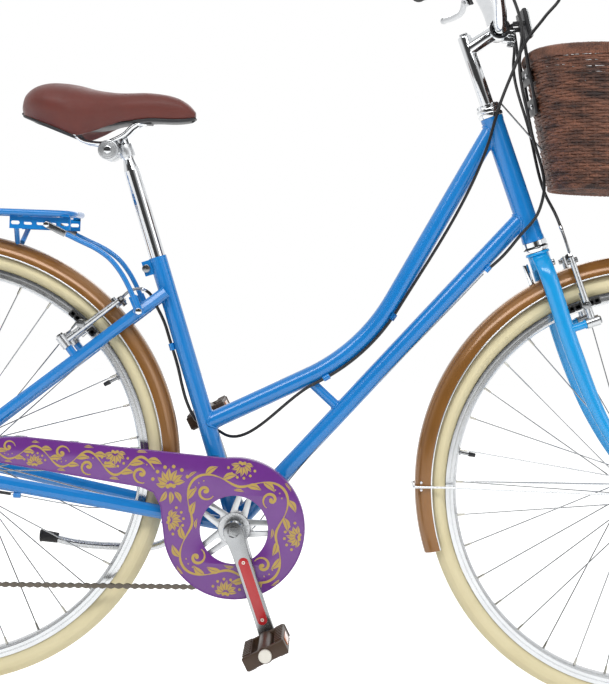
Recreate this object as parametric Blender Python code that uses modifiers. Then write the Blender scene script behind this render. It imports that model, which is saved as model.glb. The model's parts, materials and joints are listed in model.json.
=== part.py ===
"""A step-through city bicycle at its real size, for Blender 4.5.

Units are metres. +X points forward, +Y to the rider's left and +Z up. The pieces
are drawn from the centre of the rear axle, and an empty sets the whole bicycle on
the ground, with the origin under the middle of its length. Each moving piece hangs
from an empty on its joint's axis.
"""

import math

import bmesh
import bpy
from mathutils import Matrix, Quaternion, Vector

# Clearances
GAP = 0.0003
RUNNING_GAP = 0.0005

# Wheels
WHEELBASE = 1.110
RIM_EDGE_RADIUS = 0.319
RIM_DEPTH = 0.0173
RIM_WIDTH = 0.024
TYRE_HEIGHT = 0.030
TYRE_WIDTH = 0.038
WHEEL_STEPS = 40
SPOKE_COUNT = 36
SPOKE_DIAMETER = 0.002
SPOKE_CROSSINGS = 3
VALVE_LENGTH = 0.026
FRONT_VALVE_ANGLE = math.radians(171)
REAR_VALVE_ANGLE = math.radians(29)
FRONT_HUB_WIDTH = 0.100
REAR_HUB_WIDTH = 0.135
FLANGE_INSET = 0.015
FRONT_FLANGE_RADIUS = 0.020
REAR_FLANGE_RADIUS = 0.024
FRONT_BARREL_RADIUS = 0.012
REAR_BARREL_RADIUS = 0.016
FRONT_AXLE_RADIUS = 0.0045
REAR_AXLE_RADIUS = 0.005
AXLE_NUT_RADIUS = 0.009
AXLE_NUT_LENGTH = 0.009
AXLE_END_LENGTH = 0.0085

# Frame
CRANK_FORWARD = 0.460
CRANK_DROP = 0.079
SEAT_ANGLE = math.radians(71.4)
SEAT_TUBE_LENGTH = 0.443
TUBE_RADIUS = 0.0143
HEAD_ANGLE = math.radians(69.1)
FORK_RAKE = 0.041
HEAD_TUBE_LENGTH = 0.209
HEAD_TUBE_RADIUS = 0.0175
HEAD_TUBE_WALL = 0.0022
TOP_TUBE_JOINT = 0.166
TOP_TUBE_BEND = math.radians(62)
TOP_TUBE_SLOPE = math.radians(26.8)
TOP_TUBE_BEND_RADIUS = 0.300
TOP_TUBE_BELOW_HEAD_TOP = 0.014
DOWN_TUBE_ABOVE_HEAD_END = 0.044
BRACE_ALONG_DOWN_TUBE = 0.246
BRACE_RADIUS = 0.008
BRACE_LENGTH = 0.072
SHELL_WIDTH = 0.068
SHELL_RADIUS = 0.021
SPINDLE_RADIUS = 0.0085
DROPOUT_THICKNESS = 0.006
CHAIN_STAY_RADIUS = 0.011
CHAIN_STAY_FLATNESS = 0.68
CHAIN_STAY_SPREAD = 0.034
CHAIN_STAY_BEND_START = 0.150
CHAIN_STAY_BEND_END = 0.100
SEAT_STAY_RADIUS = 0.0095
SEAT_STAY_SPREAD = 0.037
SEAT_STAY_JOINT = 0.386
SEAT_STAY_FOOT = 0.0125
CLAMP_EAR_LENGTH = 0.024
CLAMP_EAR_DROP = 0.001

# Fork
CROWN_CLEARANCE = 0.033
CROWN_HEIGHT = 0.032
CROWN_DEPTH = 0.040
BLADE_SPREAD = 0.036
BLADE_RADIUS = 0.0135
BLADE_TIP_RADIUS = 0.0075
BLADE_FLATNESS = 0.66
STEERER_RADIUS = 0.0127
LOWER_CUP_HEIGHT = 0.017
UPPER_CUP_HEIGHT = 0.022

# Mudguards
GUARD_CLEARANCE = 0.0175
GUARD_THICKNESS = 0.0015
GUARD_WIDTH = 0.052
GUARD_DEPTH = 0.026
REAR_GUARD_START = math.radians(-3)
REAR_GUARD_END = math.radians(196)
FRONT_GUARD_START = math.radians(52)
FRONT_GUARD_END = math.radians(199)
FRONT_GUARD_RAISE = 0.006
GUARD_STAY_RADIUS = 0.002

# Brakes
BRAKE_BOSS_SPREAD = 0.0405
BRAKE_BOSS_RADIUS = 0.0062
BRAKE_PIN_RADIUS = 0.004
BRAKE_ARM_LENGTH = 0.107
REAR_ARM_OFFSET = 0.033
FRONT_ARM_OFFSET = 0.042
BRAKE_ARM_RADIUS = 0.006
BRAKE_BARREL_RADIUS = 0.0085
BRAKE_BARREL_LENGTH = 0.021
PAD_LENGTH = 0.055
PAD_HEIGHT = 0.010
PAD_THICKNESS = 0.0095
PAD_CLEARANCE = 0.002
PAD_BELOW_RIM_EDGE = 0.008
REAR_PAD_ABOVE_PIVOT = 0.038
REAR_PAD_BEHIND_STAY = 0.040
FRONT_PAD_ABOVE_PIVOT = 0.028

# Drive
CHAINRING_TEETH = 46
SPROCKET_TEETH = (14, 16, 18, 20, 22, 24, 28)
CHAIN_SPROCKET = 3
CHAIN_PITCH = 0.0127
CHAIN_LINE = 0.045
CHAIN_WIDTH = 0.007
CHAIN_HEIGHT = 0.0082
SPROCKET_SPACING = 0.005
SPROCKET_THICKNESS = 0.002
PULLEY_RADIUS = 0.0225
GUIDE_PULLEY = (0.010, -0.075)
TENSION_PULLEY = (0.004, -0.1605)
CAGE_PLATE = 0.0015
CRANK_LENGTH = 0.170
CRANK_ANGLE = math.radians(-69.6)
CRANK_INNER_FACE = 0.0665
CRANK_THICKNESS = 0.013
CRANK_BOSS_RADIUS = 0.016
CRANK_EYE_RADIUS = 0.0135
CHAINRING_THICKNESS = 0.0025
SPIDER_ARMS = 5
PEDAL_LENGTH = 0.100
PEDAL_DEPTH = 0.068
PEDAL_HEIGHT = 0.026
PEDAL_TILT = math.radians(28)
PEDAL_AXLE_RADIUS = 0.006

# Chain guard
CHAIN_GUARD_LINE = 0.060
CHAIN_GUARD_THICKNESS = 0.0015
CHAIN_GUARD_RADIUS = 0.1105
CHAIN_GUARD_HOLE = 0.053
CHAIN_GUARD_FLANGE = 0.014

# Kickstand
KICKSTAND_PIVOT_BEHIND_CRANK = 0.095
KICKSTAND_PIVOT_DROP = 0.118
KICKSTAND_RADIUS = 0.0065
KICKSTAND_FOOT_OVERLAP = 0.018
KICKSTAND_FOOT_END = 0.012
KICKSTAND_FOOT_RADIUS = 0.010
KICKSTAND_SPLAY = math.radians(19)

# Rack
RACK_HEIGHT = 0.403
RACK_FRONT = 0.204
RACK_REAR = -0.170
RACK_HALF_WIDTH = 0.060
RACK_ROD_RADIUS = 0.005
RACK_STAY_RADIUS = 0.004
RACK_STAY_ALONG_SEAT_STAY = 0.392

# Saddle
SEATPOST_RADIUS = 0.0127
SEATPOST_HEIGHT = 0.611
SEATPOST_INSERTION = 0.110
SEATPOST_FLOOR_ROOM = 0.080
SADDLE_WIDTH = 0.180
RAIL_RADIUS = 0.0035
RAIL_SPREAD = 0.022
CLAMP_RADIUS = 0.0156

# Stem and handlebar
QUILL_RADIUS = 0.0111
QUILL_TOP = 0.777
QUILL_INSERTION = 0.100
STEM_CLAMP_UP = 0.7685
STEM_CLAMP_REACH = 0.055
STEM_RADIUS = 0.0135
STEM_CLAMP_RADIUS = 0.0165
STEM_CLAMP_WIDTH = 0.040
BAR_RADIUS = 0.0111
BAR_BEND = ((0.0, 0.033, 0.0), (-0.007, 0.060, 0.034), (-0.023, 0.105, 0.077), (-0.038, 0.140, 0.102))
BAR_GRIP_START = (-0.044, 0.155, 0.106)
BAR_END = (-0.111, 0.325, 0.113)
GRIP_RADIUS = 0.0165
GRIP_LENGTH = 0.118
SHIFTER_LENGTH = 0.026
SHIFTER_RADIUS = 0.019
LEVER_CLAMP_WIDTH = 0.014
LEVER_CLAMP_RADIUS = 0.0165

# Basket
BASKET_LENGTH = 0.300
BASKET_WIDTH = 0.360
BASKET_HEIGHT = 0.218
BASKET_FLOOR_LENGTH = 0.205
BASKET_FLOOR_WIDTH = 0.265
BASKET_WALL = 0.007
BASKET_FLOOR_CURVE = 0.03
BRACKET_PLATE_THICKNESS = 0.008
BRACKET_PLATE_WIDTH = 0.080
BRACKET_WIRE_RADIUS = 0.0028
FRONT_REFLECTOR_SIZE = (0.010, 0.080, 0.048)
FRONT_REFLECTOR_PLACE = Vector((0.042, 0, 0.008))
REFLECTOR_ROD_SIDE = 0.0335
REFLECTOR_ROD_RADIUS = 0.004
BASKET_RIM_REACH = 0.044
BASKET_RIM_DROP = 0.0365

TYRE_RADIUS = RIM_EDGE_RADIUS + TYRE_HEIGHT
GUARD_INNER_RADIUS = TYRE_RADIUS + GUARD_CLEARANCE
GUARD_OUTER_RADIUS = GUARD_INNER_RADIUS + GUARD_THICKNESS
REFLECTOR_DEPTH = 0.012
LENGTH_BEHIND_AXLE = GUARD_OUTER_RADIUS + REFLECTOR_DEPTH
LENGTH_BEFORE_AXLE = WHEELBASE + TYRE_RADIUS
AXLE_OFFSET = (LENGTH_BEHIND_AXLE - LENGTH_BEFORE_AXLE) / 2

LEFT, RIGHT = 1, -1
ACROSS = Vector((0, 1, 0))
REAR_AXLE = Vector((0, 0, 0))
FRONT_AXLE = Vector((WHEELBASE, 0, 0))
CRANK = Vector((CRANK_FORWARD, 0, -CRANK_DROP))
STEER_UP = Vector((-math.cos(HEAD_ANGLE), 0, math.sin(HEAD_ANGLE)))
STEER_FORE = Vector((math.sin(HEAD_ANGLE), 0, math.cos(HEAD_ANGLE)))
SEAT_UP = Vector((-math.cos(SEAT_ANGLE), 0, math.sin(SEAT_ANGLE)))
SEAT_FORE = Vector((math.sin(SEAT_ANGLE), 0, math.cos(SEAT_ANGLE)))
CROWN_LOW = TYRE_RADIUS + CROWN_CLEARANCE
CROWN_TOP = CROWN_LOW + CROWN_HEIGHT
HEAD_LOW = CROWN_TOP + LOWER_CUP_HEIGHT
HEAD_TOP = HEAD_LOW + HEAD_TUBE_LENGTH
UPPER_CUP_TOP = HEAD_TOP + UPPER_CUP_HEIGHT


def steer(up, fore=0.0, side=0.0):
    """A point by its height along the steering axis, its reach before it and its side."""
    return FRONT_AXLE + STEER_UP * up + STEER_FORE * (fore - FORK_RAKE) + ACROSS * side


def seat(up, fore=0.0, side=0.0):
    """A point by its height along the seat tube, its reach before it and its side."""
    return CRANK + SEAT_UP * up + SEAT_FORE * fore + ACROSS * side


STEM_CLAMP = steer(STEM_CLAMP_UP, STEM_CLAMP_REACH)
POST_TOP = seat(SEATPOST_HEIGHT)
STAY_FOOT = Vector((0, 0, SEAT_STAY_FOOT))
STAY_UP = (seat(SEAT_STAY_JOINT) - STAY_FOOT).normalized()
STAY_BACK = Vector((-STAY_UP.z, 0, STAY_UP.x))
STAY_OFFSET = STAY_FOOT.dot(STAY_BACK)


def stay(up, back=0.0, side=0.0):
    """A point by its distance up the seat stay from the axle, its place behind it and its side."""
    return STAY_UP * up + STAY_BACK * (STAY_OFFSET + back) + ACROSS * side


def on_circle(centre, radius, angle, side=0.0):
    """A point of a circle in the wheel's plane, its angle counted from +X towards +Z."""
    return centre + Vector((radius * math.cos(angle), side, radius * math.sin(angle)))


def clear_scene():
    """Removes every object that the scene holds."""
    for obj in list(bpy.data.objects):
        bpy.data.objects.remove(obj, do_unlink=True)


def new_collection(name):
    """A collection of the scene."""
    collection = bpy.data.collections.new(name)
    bpy.context.scene.collection.children.link(collection)
    return collection


clear_scene()
PARTS = new_collection("bicycle")
CUTTERS = new_collection("cutters")
BODY_PLACES = {}


def body(name, parent=None, place=REAR_AXLE):
    """An empty on a joint's axis that carries the pieces of one body."""
    empty = bpy.data.objects.new(name, None)
    empty.empty_display_size = 0.05
    CUTTERS.objects.link(empty)
    BODY_PLACES[name] = place.copy()
    if parent:
        empty.parent = parent
        empty.location = place - BODY_PLACES[parent.name]
    else:
        empty.location = Vector((AXLE_OFFSET, 0, TYRE_RADIUS))
    return empty


def carry(obj, parent):
    """Hangs an object that is drawn from the rear axle under an empty."""
    obj.parent = parent
    obj.matrix_parent_inverse = Matrix.Translation(-BODY_PLACES[parent.name])


def paint(name, colour, roughness, metallic=0.0):
    """A Principled material of an sRGB hex colour."""
    channels = [int(colour[i : i + 2], 16) / 255 for i in (0, 2, 4)]
    linear = [c / 12.92 if c <= 0.04045 else ((c + 0.055) / 1.055) ** 2.4 for c in channels]
    material = bpy.data.materials.new(name)
    material.use_nodes = True
    shader = material.node_tree.nodes["Principled BSDF"]
    shader.inputs["Base Color"].default_value = (*linear, 1)
    shader.inputs["Roughness"].default_value = roughness
    shader.inputs["Metallic"].default_value = metallic
    material.diffuse_color = (*linear, 1)
    return material


BLUE = paint("blue_frame_enamel", "1a80d0", 0.25)
LIGHT_BLUE = paint("light_blue_fork_enamel", "1ea7e6", 0.25)
GOLD_BROWN = paint("bronze_guard_enamel", "9a6a30", 0.35, 0.3)
CREAM = paint("cream_rubber", "e0d5ae", 0.7)
BLACK_RUBBER = paint("black_rubber", "1c1c1e", 0.7)
BLACK_PLASTIC = paint("black_plastic", "202024", 0.45)
ALLOY = paint("silver_alloy", "c8cacc", 0.3, 1.0)
CHROME = paint("chromed_steel", "d8dadc", 0.12, 1.0)
STEEL = paint("grey_steel", "8a8c90", 0.35, 1.0)
LEATHER = paint("brown_leather", "6b3028", 0.5)
PURPLE = paint("purple_enamel", "743a8c", 0.3)
WICKER = paint("brown_wicker", "5a3a30", 0.7)
RESIN = paint("brown_resin", "3e2a18", 0.5)
RED = paint("red_reflector", "b01818", 0.2)
CABLE = paint("black_cable_housing", "18181a", 0.5)

bicycle = body("frame_body")
seatpost_body = body("seatpost_body", bicycle, seat(SEAT_TUBE_LENGTH))
rear_wheel = body("rear_wheel_body", bicycle, REAR_AXLE)
cassette_body = body("cassette_body", bicycle, REAR_AXLE)
crank_body = body("crank_body", bicycle, CRANK)
steering = body("steering_body", bicycle, steer(HEAD_LOW))
front_wheel = body("front_wheel_body", steering, FRONT_AXLE)


def loose(obj):
    """Puts an object that only shapes others with the cutters."""
    CUTTERS.objects.link(obj)
    obj.hide_render = True
    obj.display_type = "WIRE"
    carry(obj, bicycle)
    return obj


def keep(obj, name, parent, material):
    """Makes a shape one piece of the bicycle, under its name."""
    CUTTERS.objects.unlink(obj)
    PARTS.objects.link(obj)
    obj.hide_render = False
    obj.display_type = "TEXTURED"
    obj.name = name
    obj.data.name = name
    obj.data.materials.clear()
    obj.data.materials.append(material)
    carry(obj, parent)
    if obj.type == "MESH":
        obj.data.shade_smooth()
        obj.data.set_sharp_from_angle(angle=math.radians(35))
    return obj


def mesh_object(shape):
    """A new object from a bmesh."""
    bmesh.ops.recalc_face_normals(shape, faces=shape.faces)
    mesh = bpy.data.meshes.new("shape")
    shape.to_mesh(mesh)
    shape.free()
    return loose(bpy.data.objects.new("shape", mesh))


def block(size, centre, turn=None):
    """A box of a size about a centre, turned by a quaternion."""
    shape = bmesh.new()
    rotation = (turn or Quaternion()).to_matrix().to_4x4()
    place = Matrix.Translation(centre) @ rotation @ Matrix.Diagonal((*size, 1))
    bmesh.ops.create_cube(shape, size=1, matrix=place)
    return mesh_object(shape)


def rod(start, end, radius, sides=12, end_radius=None):
    """A round bar from start to end, or a cone where the end radius differs."""
    along = end - start
    rotation = along.to_track_quat("Z", "Y").to_matrix().to_4x4()
    shape = bmesh.new()
    bmesh.ops.create_cone(
        shape,
        cap_ends=True,
        segments=sides,
        radius1=radius,
        radius2=radius if end_radius is None else end_radius,
        depth=along.length,
        matrix=Matrix.Translation((start + end) / 2) @ rotation,
    )
    return mesh_object(shape)


def turned(profile, place, axis, steps=24, closed=True):
    """A solid turned about an axis through place, from (radius, height) points."""
    area = 0.0
    for (r1, h1), (r2, h2) in zip(profile, profile[1:] + profile[:1]):
        area += r1 * h2 - r2 * h1
    points = profile if area < 0 else profile[::-1]
    shape = bmesh.new()
    corners = [shape.verts.new((radius, 0, height)) for radius, height in points]
    for first, second in zip(corners, corners[1:]):
        shape.edges.new((first, second))
    if closed:
        shape.edges.new((corners[-1], corners[0]))
    mesh = bpy.data.meshes.new("profile")
    shape.to_mesh(mesh)
    shape.free()
    obj = loose(bpy.data.objects.new("turned", mesh))
    obj.location = place
    obj.rotation_mode = "QUATERNION"
    obj.rotation_quaternion = axis.to_track_quat("Z", "Y")
    screw = obj.modifiers.new("turn", "SCREW")
    screw.steps = steps
    screw.render_steps = steps
    screw.use_merge_vertices = True
    screw.merge_threshold = 0.00001
    return obj


def tube(points, radius, detail=2, radii=None, closed=False):
    """A round tube along the points, as a curve. Radii scale the radius at each point."""
    curve = bpy.data.curves.new("tube", "CURVE")
    curve.dimensions = "3D"
    curve.bevel_depth = radius
    curve.bevel_resolution = detail
    curve.use_fill_caps = not closed
    spline = curve.splines.new("POLY")
    spline.points.add(len(points) - 1)
    spline.use_cyclic_u = closed
    for index, place in enumerate(points):
        spline.points[index].co = (*place, 1)
        spline.points[index].radius = radii[index] if radii else 1
    return loose(bpy.data.objects.new("tube", curve))


def plate(outlines, thickness, side):
    """A flat plate in the wheel's plane, from outlines of (x, z) points, holes among them."""
    curve = bpy.data.curves.new("plate", "CURVE")
    curve.dimensions = "2D"
    curve.fill_mode = "BOTH"
    curve.extrude = thickness / 2
    for outline in outlines:
        spline = curve.splines.new("POLY")
        spline.points.add(len(outline) - 1)
        spline.use_cyclic_u = True
        for point, (x, z) in zip(spline.points, outline):
            point.co = (x, z, 0, 1)
    obj = loose(bpy.data.objects.new("plate", curve))
    obj.rotation_euler = (math.radians(90), 0, 0)
    obj.location = (0, side, 0)
    return solid(obj)


def solid(curve_object):
    """The curve's shape as a welded mesh, which can be cut and joined."""
    bpy.context.view_layer.update()
    graph = bpy.context.evaluated_depsgraph_get()
    mesh = bpy.data.meshes.new_from_object(curve_object.evaluated_get(graph))
    shape = bmesh.new()
    shape.from_mesh(mesh)
    bmesh.ops.remove_doubles(shape, verts=shape.verts, dist=0.000001)
    bmesh.ops.recalc_face_normals(shape, faces=shape.faces)
    shape.to_mesh(mesh)
    shape.free()
    made = loose(bpy.data.objects.new("solid", mesh))
    made.location = curve_object.location
    made.rotation_euler = curve_object.rotation_euler
    bpy.data.objects.remove(curve_object)
    return made


def pipe(points, radius, detail=3, radii=None, closed=False):
    """A tube along the points as a mesh."""
    return solid(tube(points, radius, detail, radii, closed))


def boolean(obj, other, operation):
    """Adds a Boolean with another shape."""
    modifier = obj.modifiers.new(operation.lower(), "BOOLEAN")
    modifier.operation = operation
    modifier.object = other


def joined(first, *others):
    """The first shape with the others joined to it."""
    for other in others:
        boolean(first, other, "UNION")
    return first


def cut(obj, *others):
    """The shape with the others cut away."""
    for other in others:
        boolean(obj, other, "DIFFERENCE")
    return obj


def bevelled(obj, width, segments=2):
    """Rounds the sharp edges of a shape."""
    modifier = obj.modifiers.new("round", "BEVEL")
    modifier.width = width
    modifier.segments = segments
    modifier.limit_method = "ANGLE"
    modifier.angle_limit = math.radians(40)
    return obj


def rounded(points, radius, steps=4, closed=False):
    """The points with each corner turned into an arc of the radius."""
    places = [Vector(point) for point in points]
    path = [] if closed else [places[0]]
    count = len(places)
    for index in range(0 if closed else 1, count if closed else count - 1):
        before, corner, after = places[index - 1], places[index], places[(index + 1) % count]
        back, onward = (before - corner).normalized(), (after - corner).normalized()
        half = back.angle(onward) / 2
        centre = corner + (back + onward).normalized() * (radius / math.sin(half))
        arm = corner + back * (radius / math.tan(half)) - centre
        turn_axis = arm.cross(corner - centre)
        for step in range(steps + 1):
            turn = Quaternion(turn_axis, (math.pi - 2 * half) * step / steps)
            path.append(centre + turn @ arm)
    if not closed:
        path.append(places[-1])
    return path


def smooth(points, spacing):
    """A smooth curve through the points, with a point every so often."""
    places = [Vector(point) for point in points]
    spans = [(b - a).length for a, b in zip(places, places[1:])]
    slopes = [(places[1] - places[0]) / spans[0]]
    for i in range(1, len(places) - 1):
        before = (places[i] - places[i - 1]) / spans[i - 1]
        after = (places[i + 1] - places[i]) / spans[i]
        slopes.append((before * spans[i] + after * spans[i - 1]) / (spans[i] + spans[i - 1]))
    slopes.append((places[-1] - places[-2]) / spans[-1])
    path = [places[0]]
    for i, span in enumerate(spans):
        steps = max(1, math.ceil(span / spacing))
        for step in range(1, steps + 1):
            t = step / steps
            path.append(
                places[i] * (2 * t**3 - 3 * t**2 + 1)
                + slopes[i] * (span * (t**3 - 2 * t**2 + t))
                + places[i + 1] * (3 * t**2 - 2 * t**3)
                + slopes[i + 1] * (span * (t**3 - t**2))
            )
    return path


def flatten(obj, factor, side_at):
    """Narrows a tube across and leans it, by a function of its points that gives their side."""
    for vertex in obj.data.vertices:
        vertex.co.y = vertex.co.y * factor + side_at(vertex.co)
    return obj


def between(value, places):
    """The value of a line of (place, value) points, level past its ends."""
    if value <= places[0][0]:
        return places[0][1]
    for (low, first), (high, second) in zip(places, places[1:]):
        if value <= high:
            return first + (second - first) * (value - low) / (high - low)
    return places[-1][1]


def sleeve(start, end, radius, sides=24):
    """A cutter that clears a round bar of the radius by the gap."""
    return rod(start, end, (radius + GAP) / math.cos(math.pi / sides), sides)


def bore_radius(radius, steps, clearance=GAP):
    """The corner radius of a turned bore whose flats clear a round bar."""
    return (radius + clearance) / math.cos(math.pi / steps)


def rods(pairs, radius, sides):
    """Many straight bars in one shape."""
    shape = bmesh.new()
    for start, end in pairs:
        along = end - start
        rotation = along.to_track_quat("Z", "Y").to_matrix().to_4x4()
        bmesh.ops.create_cone(
            shape,
            cap_ends=True,
            segments=sides,
            radius1=radius,
            radius2=radius,
            depth=along.length,
            matrix=Matrix.Translation((start + end) / 2) @ rotation,
        )
    return mesh_object(shape)


def tyre(name, centre, parent):
    """A tyre whose section is round outside and narrows to the beads on the rim."""
    bead = RIM_EDGE_RADIUS + GAP
    middle = bead + 0.42 * TYRE_HEIGHT
    section = [(bead, -0.42 * RIM_WIDTH)]
    for step in range(5):
        angle = math.radians(-100 + 50 * step)
        section.append((middle + (TYRE_RADIUS - middle) * math.cos(angle), TYRE_WIDTH / 2 * math.sin(angle)))
    section.append((bead, 0.42 * RIM_WIDTH))
    return keep(turned(section, centre, ACROSS, WHEEL_STEPS), name, parent, CREAM)


def rim(name, centre, parent, valve_angle):
    """A deep alloy rim with the valve stem on its inner side."""
    inner = RIM_EDGE_RADIUS - RIM_DEPTH
    half = RIM_WIDTH / 2
    shoulder = RIM_EDGE_RADIUS - 0.7 * RIM_DEPTH
    section = [
        (RIM_EDGE_RADIUS, half),
        (shoulder, half),
        (inner, 0.6 * half),
        (inner, -0.6 * half),
        (shoulder, -half),
        (RIM_EDGE_RADIUS, -half),
    ]
    ring = turned(section, centre, ACROSS, WHEEL_STEPS)
    valve = rod(
        on_circle(centre, inner + RIM_DEPTH / 2, valve_angle),
        on_circle(centre, inner - VALVE_LENGTH, valve_angle),
        0.0028,
        8,
    )
    return keep(joined(ring, valve), name, parent, ALLOY)


def hub(name, centre, parent, left_flange, right_flange, left_end, right_end, flange_radius, barrel_radius, axle):
    """A hub shell with its bore, and the crossed spokes that reach the rim."""
    bore = axle + RUNNING_GAP
    half = 0.0016
    neck = 0.72 * flange_radius
    section = [
        (bore, left_end),
        (neck, left_end),
        (neck, left_flange + half),
        (flange_radius, left_flange + half),
        (flange_radius, left_flange - half),
        (barrel_radius, left_flange - 0.008),
        (barrel_radius, right_flange + 0.008),
        (flange_radius, right_flange + half),
        (flange_radius, right_flange - half),
        (neck, right_flange - half),
        (neck, right_end),
        (bore, right_end),
    ]
    shell = turned(section, centre, ACROSS, 14)
    spoke_slant = SPOKE_DIAMETER * 0.05
    reach = (RIM_EDGE_RADIUS - RIM_DEPTH) * math.cos(math.pi / WHEEL_STEPS) - GAP - spoke_slant
    pairs = []
    side_count = SPOKE_COUNT // 2
    pitch = math.tau / side_count
    for side, flange in ((LEFT, left_flange), (RIGHT, right_flange)):
        for index in range(side_count):
            lead = 1 if index % 2 else -1
            angle = pitch * index + (pitch / 2 if side == RIGHT else 0)
            head = on_circle(centre, flange_radius - 0.003, angle, flange + side * lead * 0.0012)
            rim_side = side * (0.004 + lead * 0.002)
            end = on_circle(centre, reach, angle + lead * SPOKE_CROSSINGS * pitch, rim_side)
            pairs.append((head, end))
    return keep(joined(shell, rods(pairs, SPOKE_DIAMETER / 2, 3)), name, parent, ALLOY)


def axle(name, centre, parent, radius, hub_width, plate_thickness):
    """A solid axle with a hexagon nut outside each dropout."""
    nut_start = hub_width / 2 + plate_thickness + GAP
    nut_end = nut_start + AXLE_NUT_LENGTH
    end = nut_end + AXLE_END_LENGTH
    bar = rod(centre - ACROSS * end, centre + ACROSS * end, radius, 12)
    nuts = [
        rod(centre + ACROSS * side * nut_start, centre + ACROSS * side * nut_end, AXLE_NUT_RADIUS, 6)
        for side in (LEFT, RIGHT)
    ]
    return keep(joined(bar, *nuts), name, parent, STEEL)


def wheels():
    """Both wheels on their axles."""
    tyre("rear_tyre", REAR_AXLE, rear_wheel)
    rim("rear_rim", REAR_AXLE, rear_wheel, REAR_VALVE_ANGLE)
    rear_end = REAR_HUB_WIDTH / 2 - GAP
    cluster_inner = CHAIN_LINE - (len(SPROCKET_TEETH) - 1 - CHAIN_SPROCKET) * SPROCKET_SPACING
    cluster_inner -= SPROCKET_THICKNESS / 2 + RUNNING_GAP
    hub(
        "rear_hub_and_spokes",
        REAR_AXLE,
        rear_wheel,
        rear_end - 2 * FLANGE_INSET,
        FLANGE_INSET / 2 - cluster_inner,
        rear_end,
        -cluster_inner,
        REAR_FLANGE_RADIUS,
        REAR_BARREL_RADIUS,
        REAR_AXLE_RADIUS,
    )
    axle("rear_axle", REAR_AXLE, bicycle, REAR_AXLE_RADIUS, REAR_HUB_WIDTH, DROPOUT_THICKNESS)
    tyre("front_tyre", FRONT_AXLE, front_wheel)
    rim("front_rim", FRONT_AXLE, front_wheel, FRONT_VALVE_ANGLE)
    front_end = FRONT_HUB_WIDTH / 2 - GAP
    hub(
        "front_hub_and_spokes",
        FRONT_AXLE,
        front_wheel,
        front_end - FLANGE_INSET,
        FLANGE_INSET - front_end,
        front_end,
        -front_end,
        FRONT_FLANGE_RADIUS,
        FRONT_BARREL_RADIUS,
        FRONT_AXLE_RADIUS,
    )
    axle("front_axle", FRONT_AXLE, steering, FRONT_AXLE_RADIUS, FRONT_HUB_WIDTH, DROPOUT_THICKNESS)


def crossing(first, first_angle, second, second_angle):
    """Where two lines in the wheel's plane meet, each through a point at an angle."""
    along = Vector((math.cos(first_angle), 0, math.sin(first_angle)))
    other = Vector((math.cos(second_angle), 0, math.sin(second_angle)))
    apart = second - first
    turn = along.x * other.z - along.z * other.x
    return first + along * ((apart.x * other.z - apart.z * other.x) / turn)


def top_tube_path():
    """The curved top tube's axis, from the seat tube to the head tube."""
    low = seat(TOP_TUBE_JOINT)
    high = steer(HEAD_TOP - TOP_TUBE_BELOW_HEAD_TOP)
    corner = crossing(low, TOP_TUBE_SLOPE, high, TOP_TUBE_BEND)
    return rounded([low, corner, high], TOP_TUBE_BEND_RADIUS, 8)


def head_and_tubes():
    """The head tube with its cups, and the three main tubes."""
    bore = HEAD_TUBE_RADIUS - HEAD_TUBE_WALL
    head = turned(
        [(HEAD_TUBE_RADIUS, HEAD_TUBE_LENGTH), (HEAD_TUBE_RADIUS, 0), (bore, 0), (bore, HEAD_TUBE_LENGTH)],
        steer(HEAD_LOW),
        STEER_UP,
    )
    keep(head, "head_tube", bicycle, BLUE)
    cup_bore = STEERER_RADIUS + RUNNING_GAP
    cup = HEAD_TUBE_RADIUS + 0.0025
    lower = [
        (cup_bore, LOWER_CUP_HEIGHT - GAP),
        (cup, LOWER_CUP_HEIGHT - GAP),
        (cup, LOWER_CUP_HEIGHT * 0.55),
        (cup - 0.0015, LOWER_CUP_HEIGHT * 0.45),
        (cup + 0.0005, LOWER_CUP_HEIGHT * 0.3),
        (cup - 0.001, GAP),
        (cup_bore, GAP),
    ]
    keep(turned(lower, steer(CROWN_TOP), STEER_UP, 16), "headset_lower_cup", bicycle, STEEL)
    upper = [
        (cup_bore, UPPER_CUP_HEIGHT),
        (cup - 0.003, UPPER_CUP_HEIGHT),
        (cup - 0.002, UPPER_CUP_HEIGHT * 0.62),
        (cup, UPPER_CUP_HEIGHT * 0.58),
        (cup, UPPER_CUP_HEIGHT * 0.4),
        (cup - 0.0015, UPPER_CUP_HEIGHT * 0.35),
        (cup, GAP),
        (cup_bore, GAP),
    ]
    keep(turned(upper, steer(HEAD_TOP), STEER_UP, 16), "headset_upper_cup", bicycle, STEEL)

    head_sleeve = sleeve(steer(HEAD_LOW - 0.05), steer(HEAD_TOP + 0.05), HEAD_TUBE_RADIUS)
    seat_sleeve = sleeve(seat(-0.05), seat(SEAT_TUBE_LENGTH), TUBE_RADIUS)
    shell_sleeve = sleeve(CRANK - ACROSS * SHELL_WIDTH, CRANK + ACROSS * SHELL_WIDTH, SHELL_RADIUS)
    top = cut(pipe(top_tube_path(), TUBE_RADIUS, 6), head_sleeve, seat_sleeve)
    keep(top, "top_tube", bicycle, BLUE)

    joint = steer(HEAD_LOW + DOWN_TUBE_ABOVE_HEAD_END)
    down = pipe([CRANK, joint], TUBE_RADIUS, 6)
    along = (joint - CRANK).normalized()
    foot = CRANK + along * BRACE_ALONG_DOWN_TUBE
    brace = rod(foot, foot + Vector((-along.z, 0, along.x)) * BRACE_LENGTH, BRACE_RADIUS, 12)
    top_sleeve = pipe(top_tube_path(), TUBE_RADIUS * 1.02 + GAP, 6)
    cut(joined(down, brace), shell_sleeve, seat_sleeve, head_sleeve, top_sleeve)
    keep(down, "down_tube", bicycle, BLUE)


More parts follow.
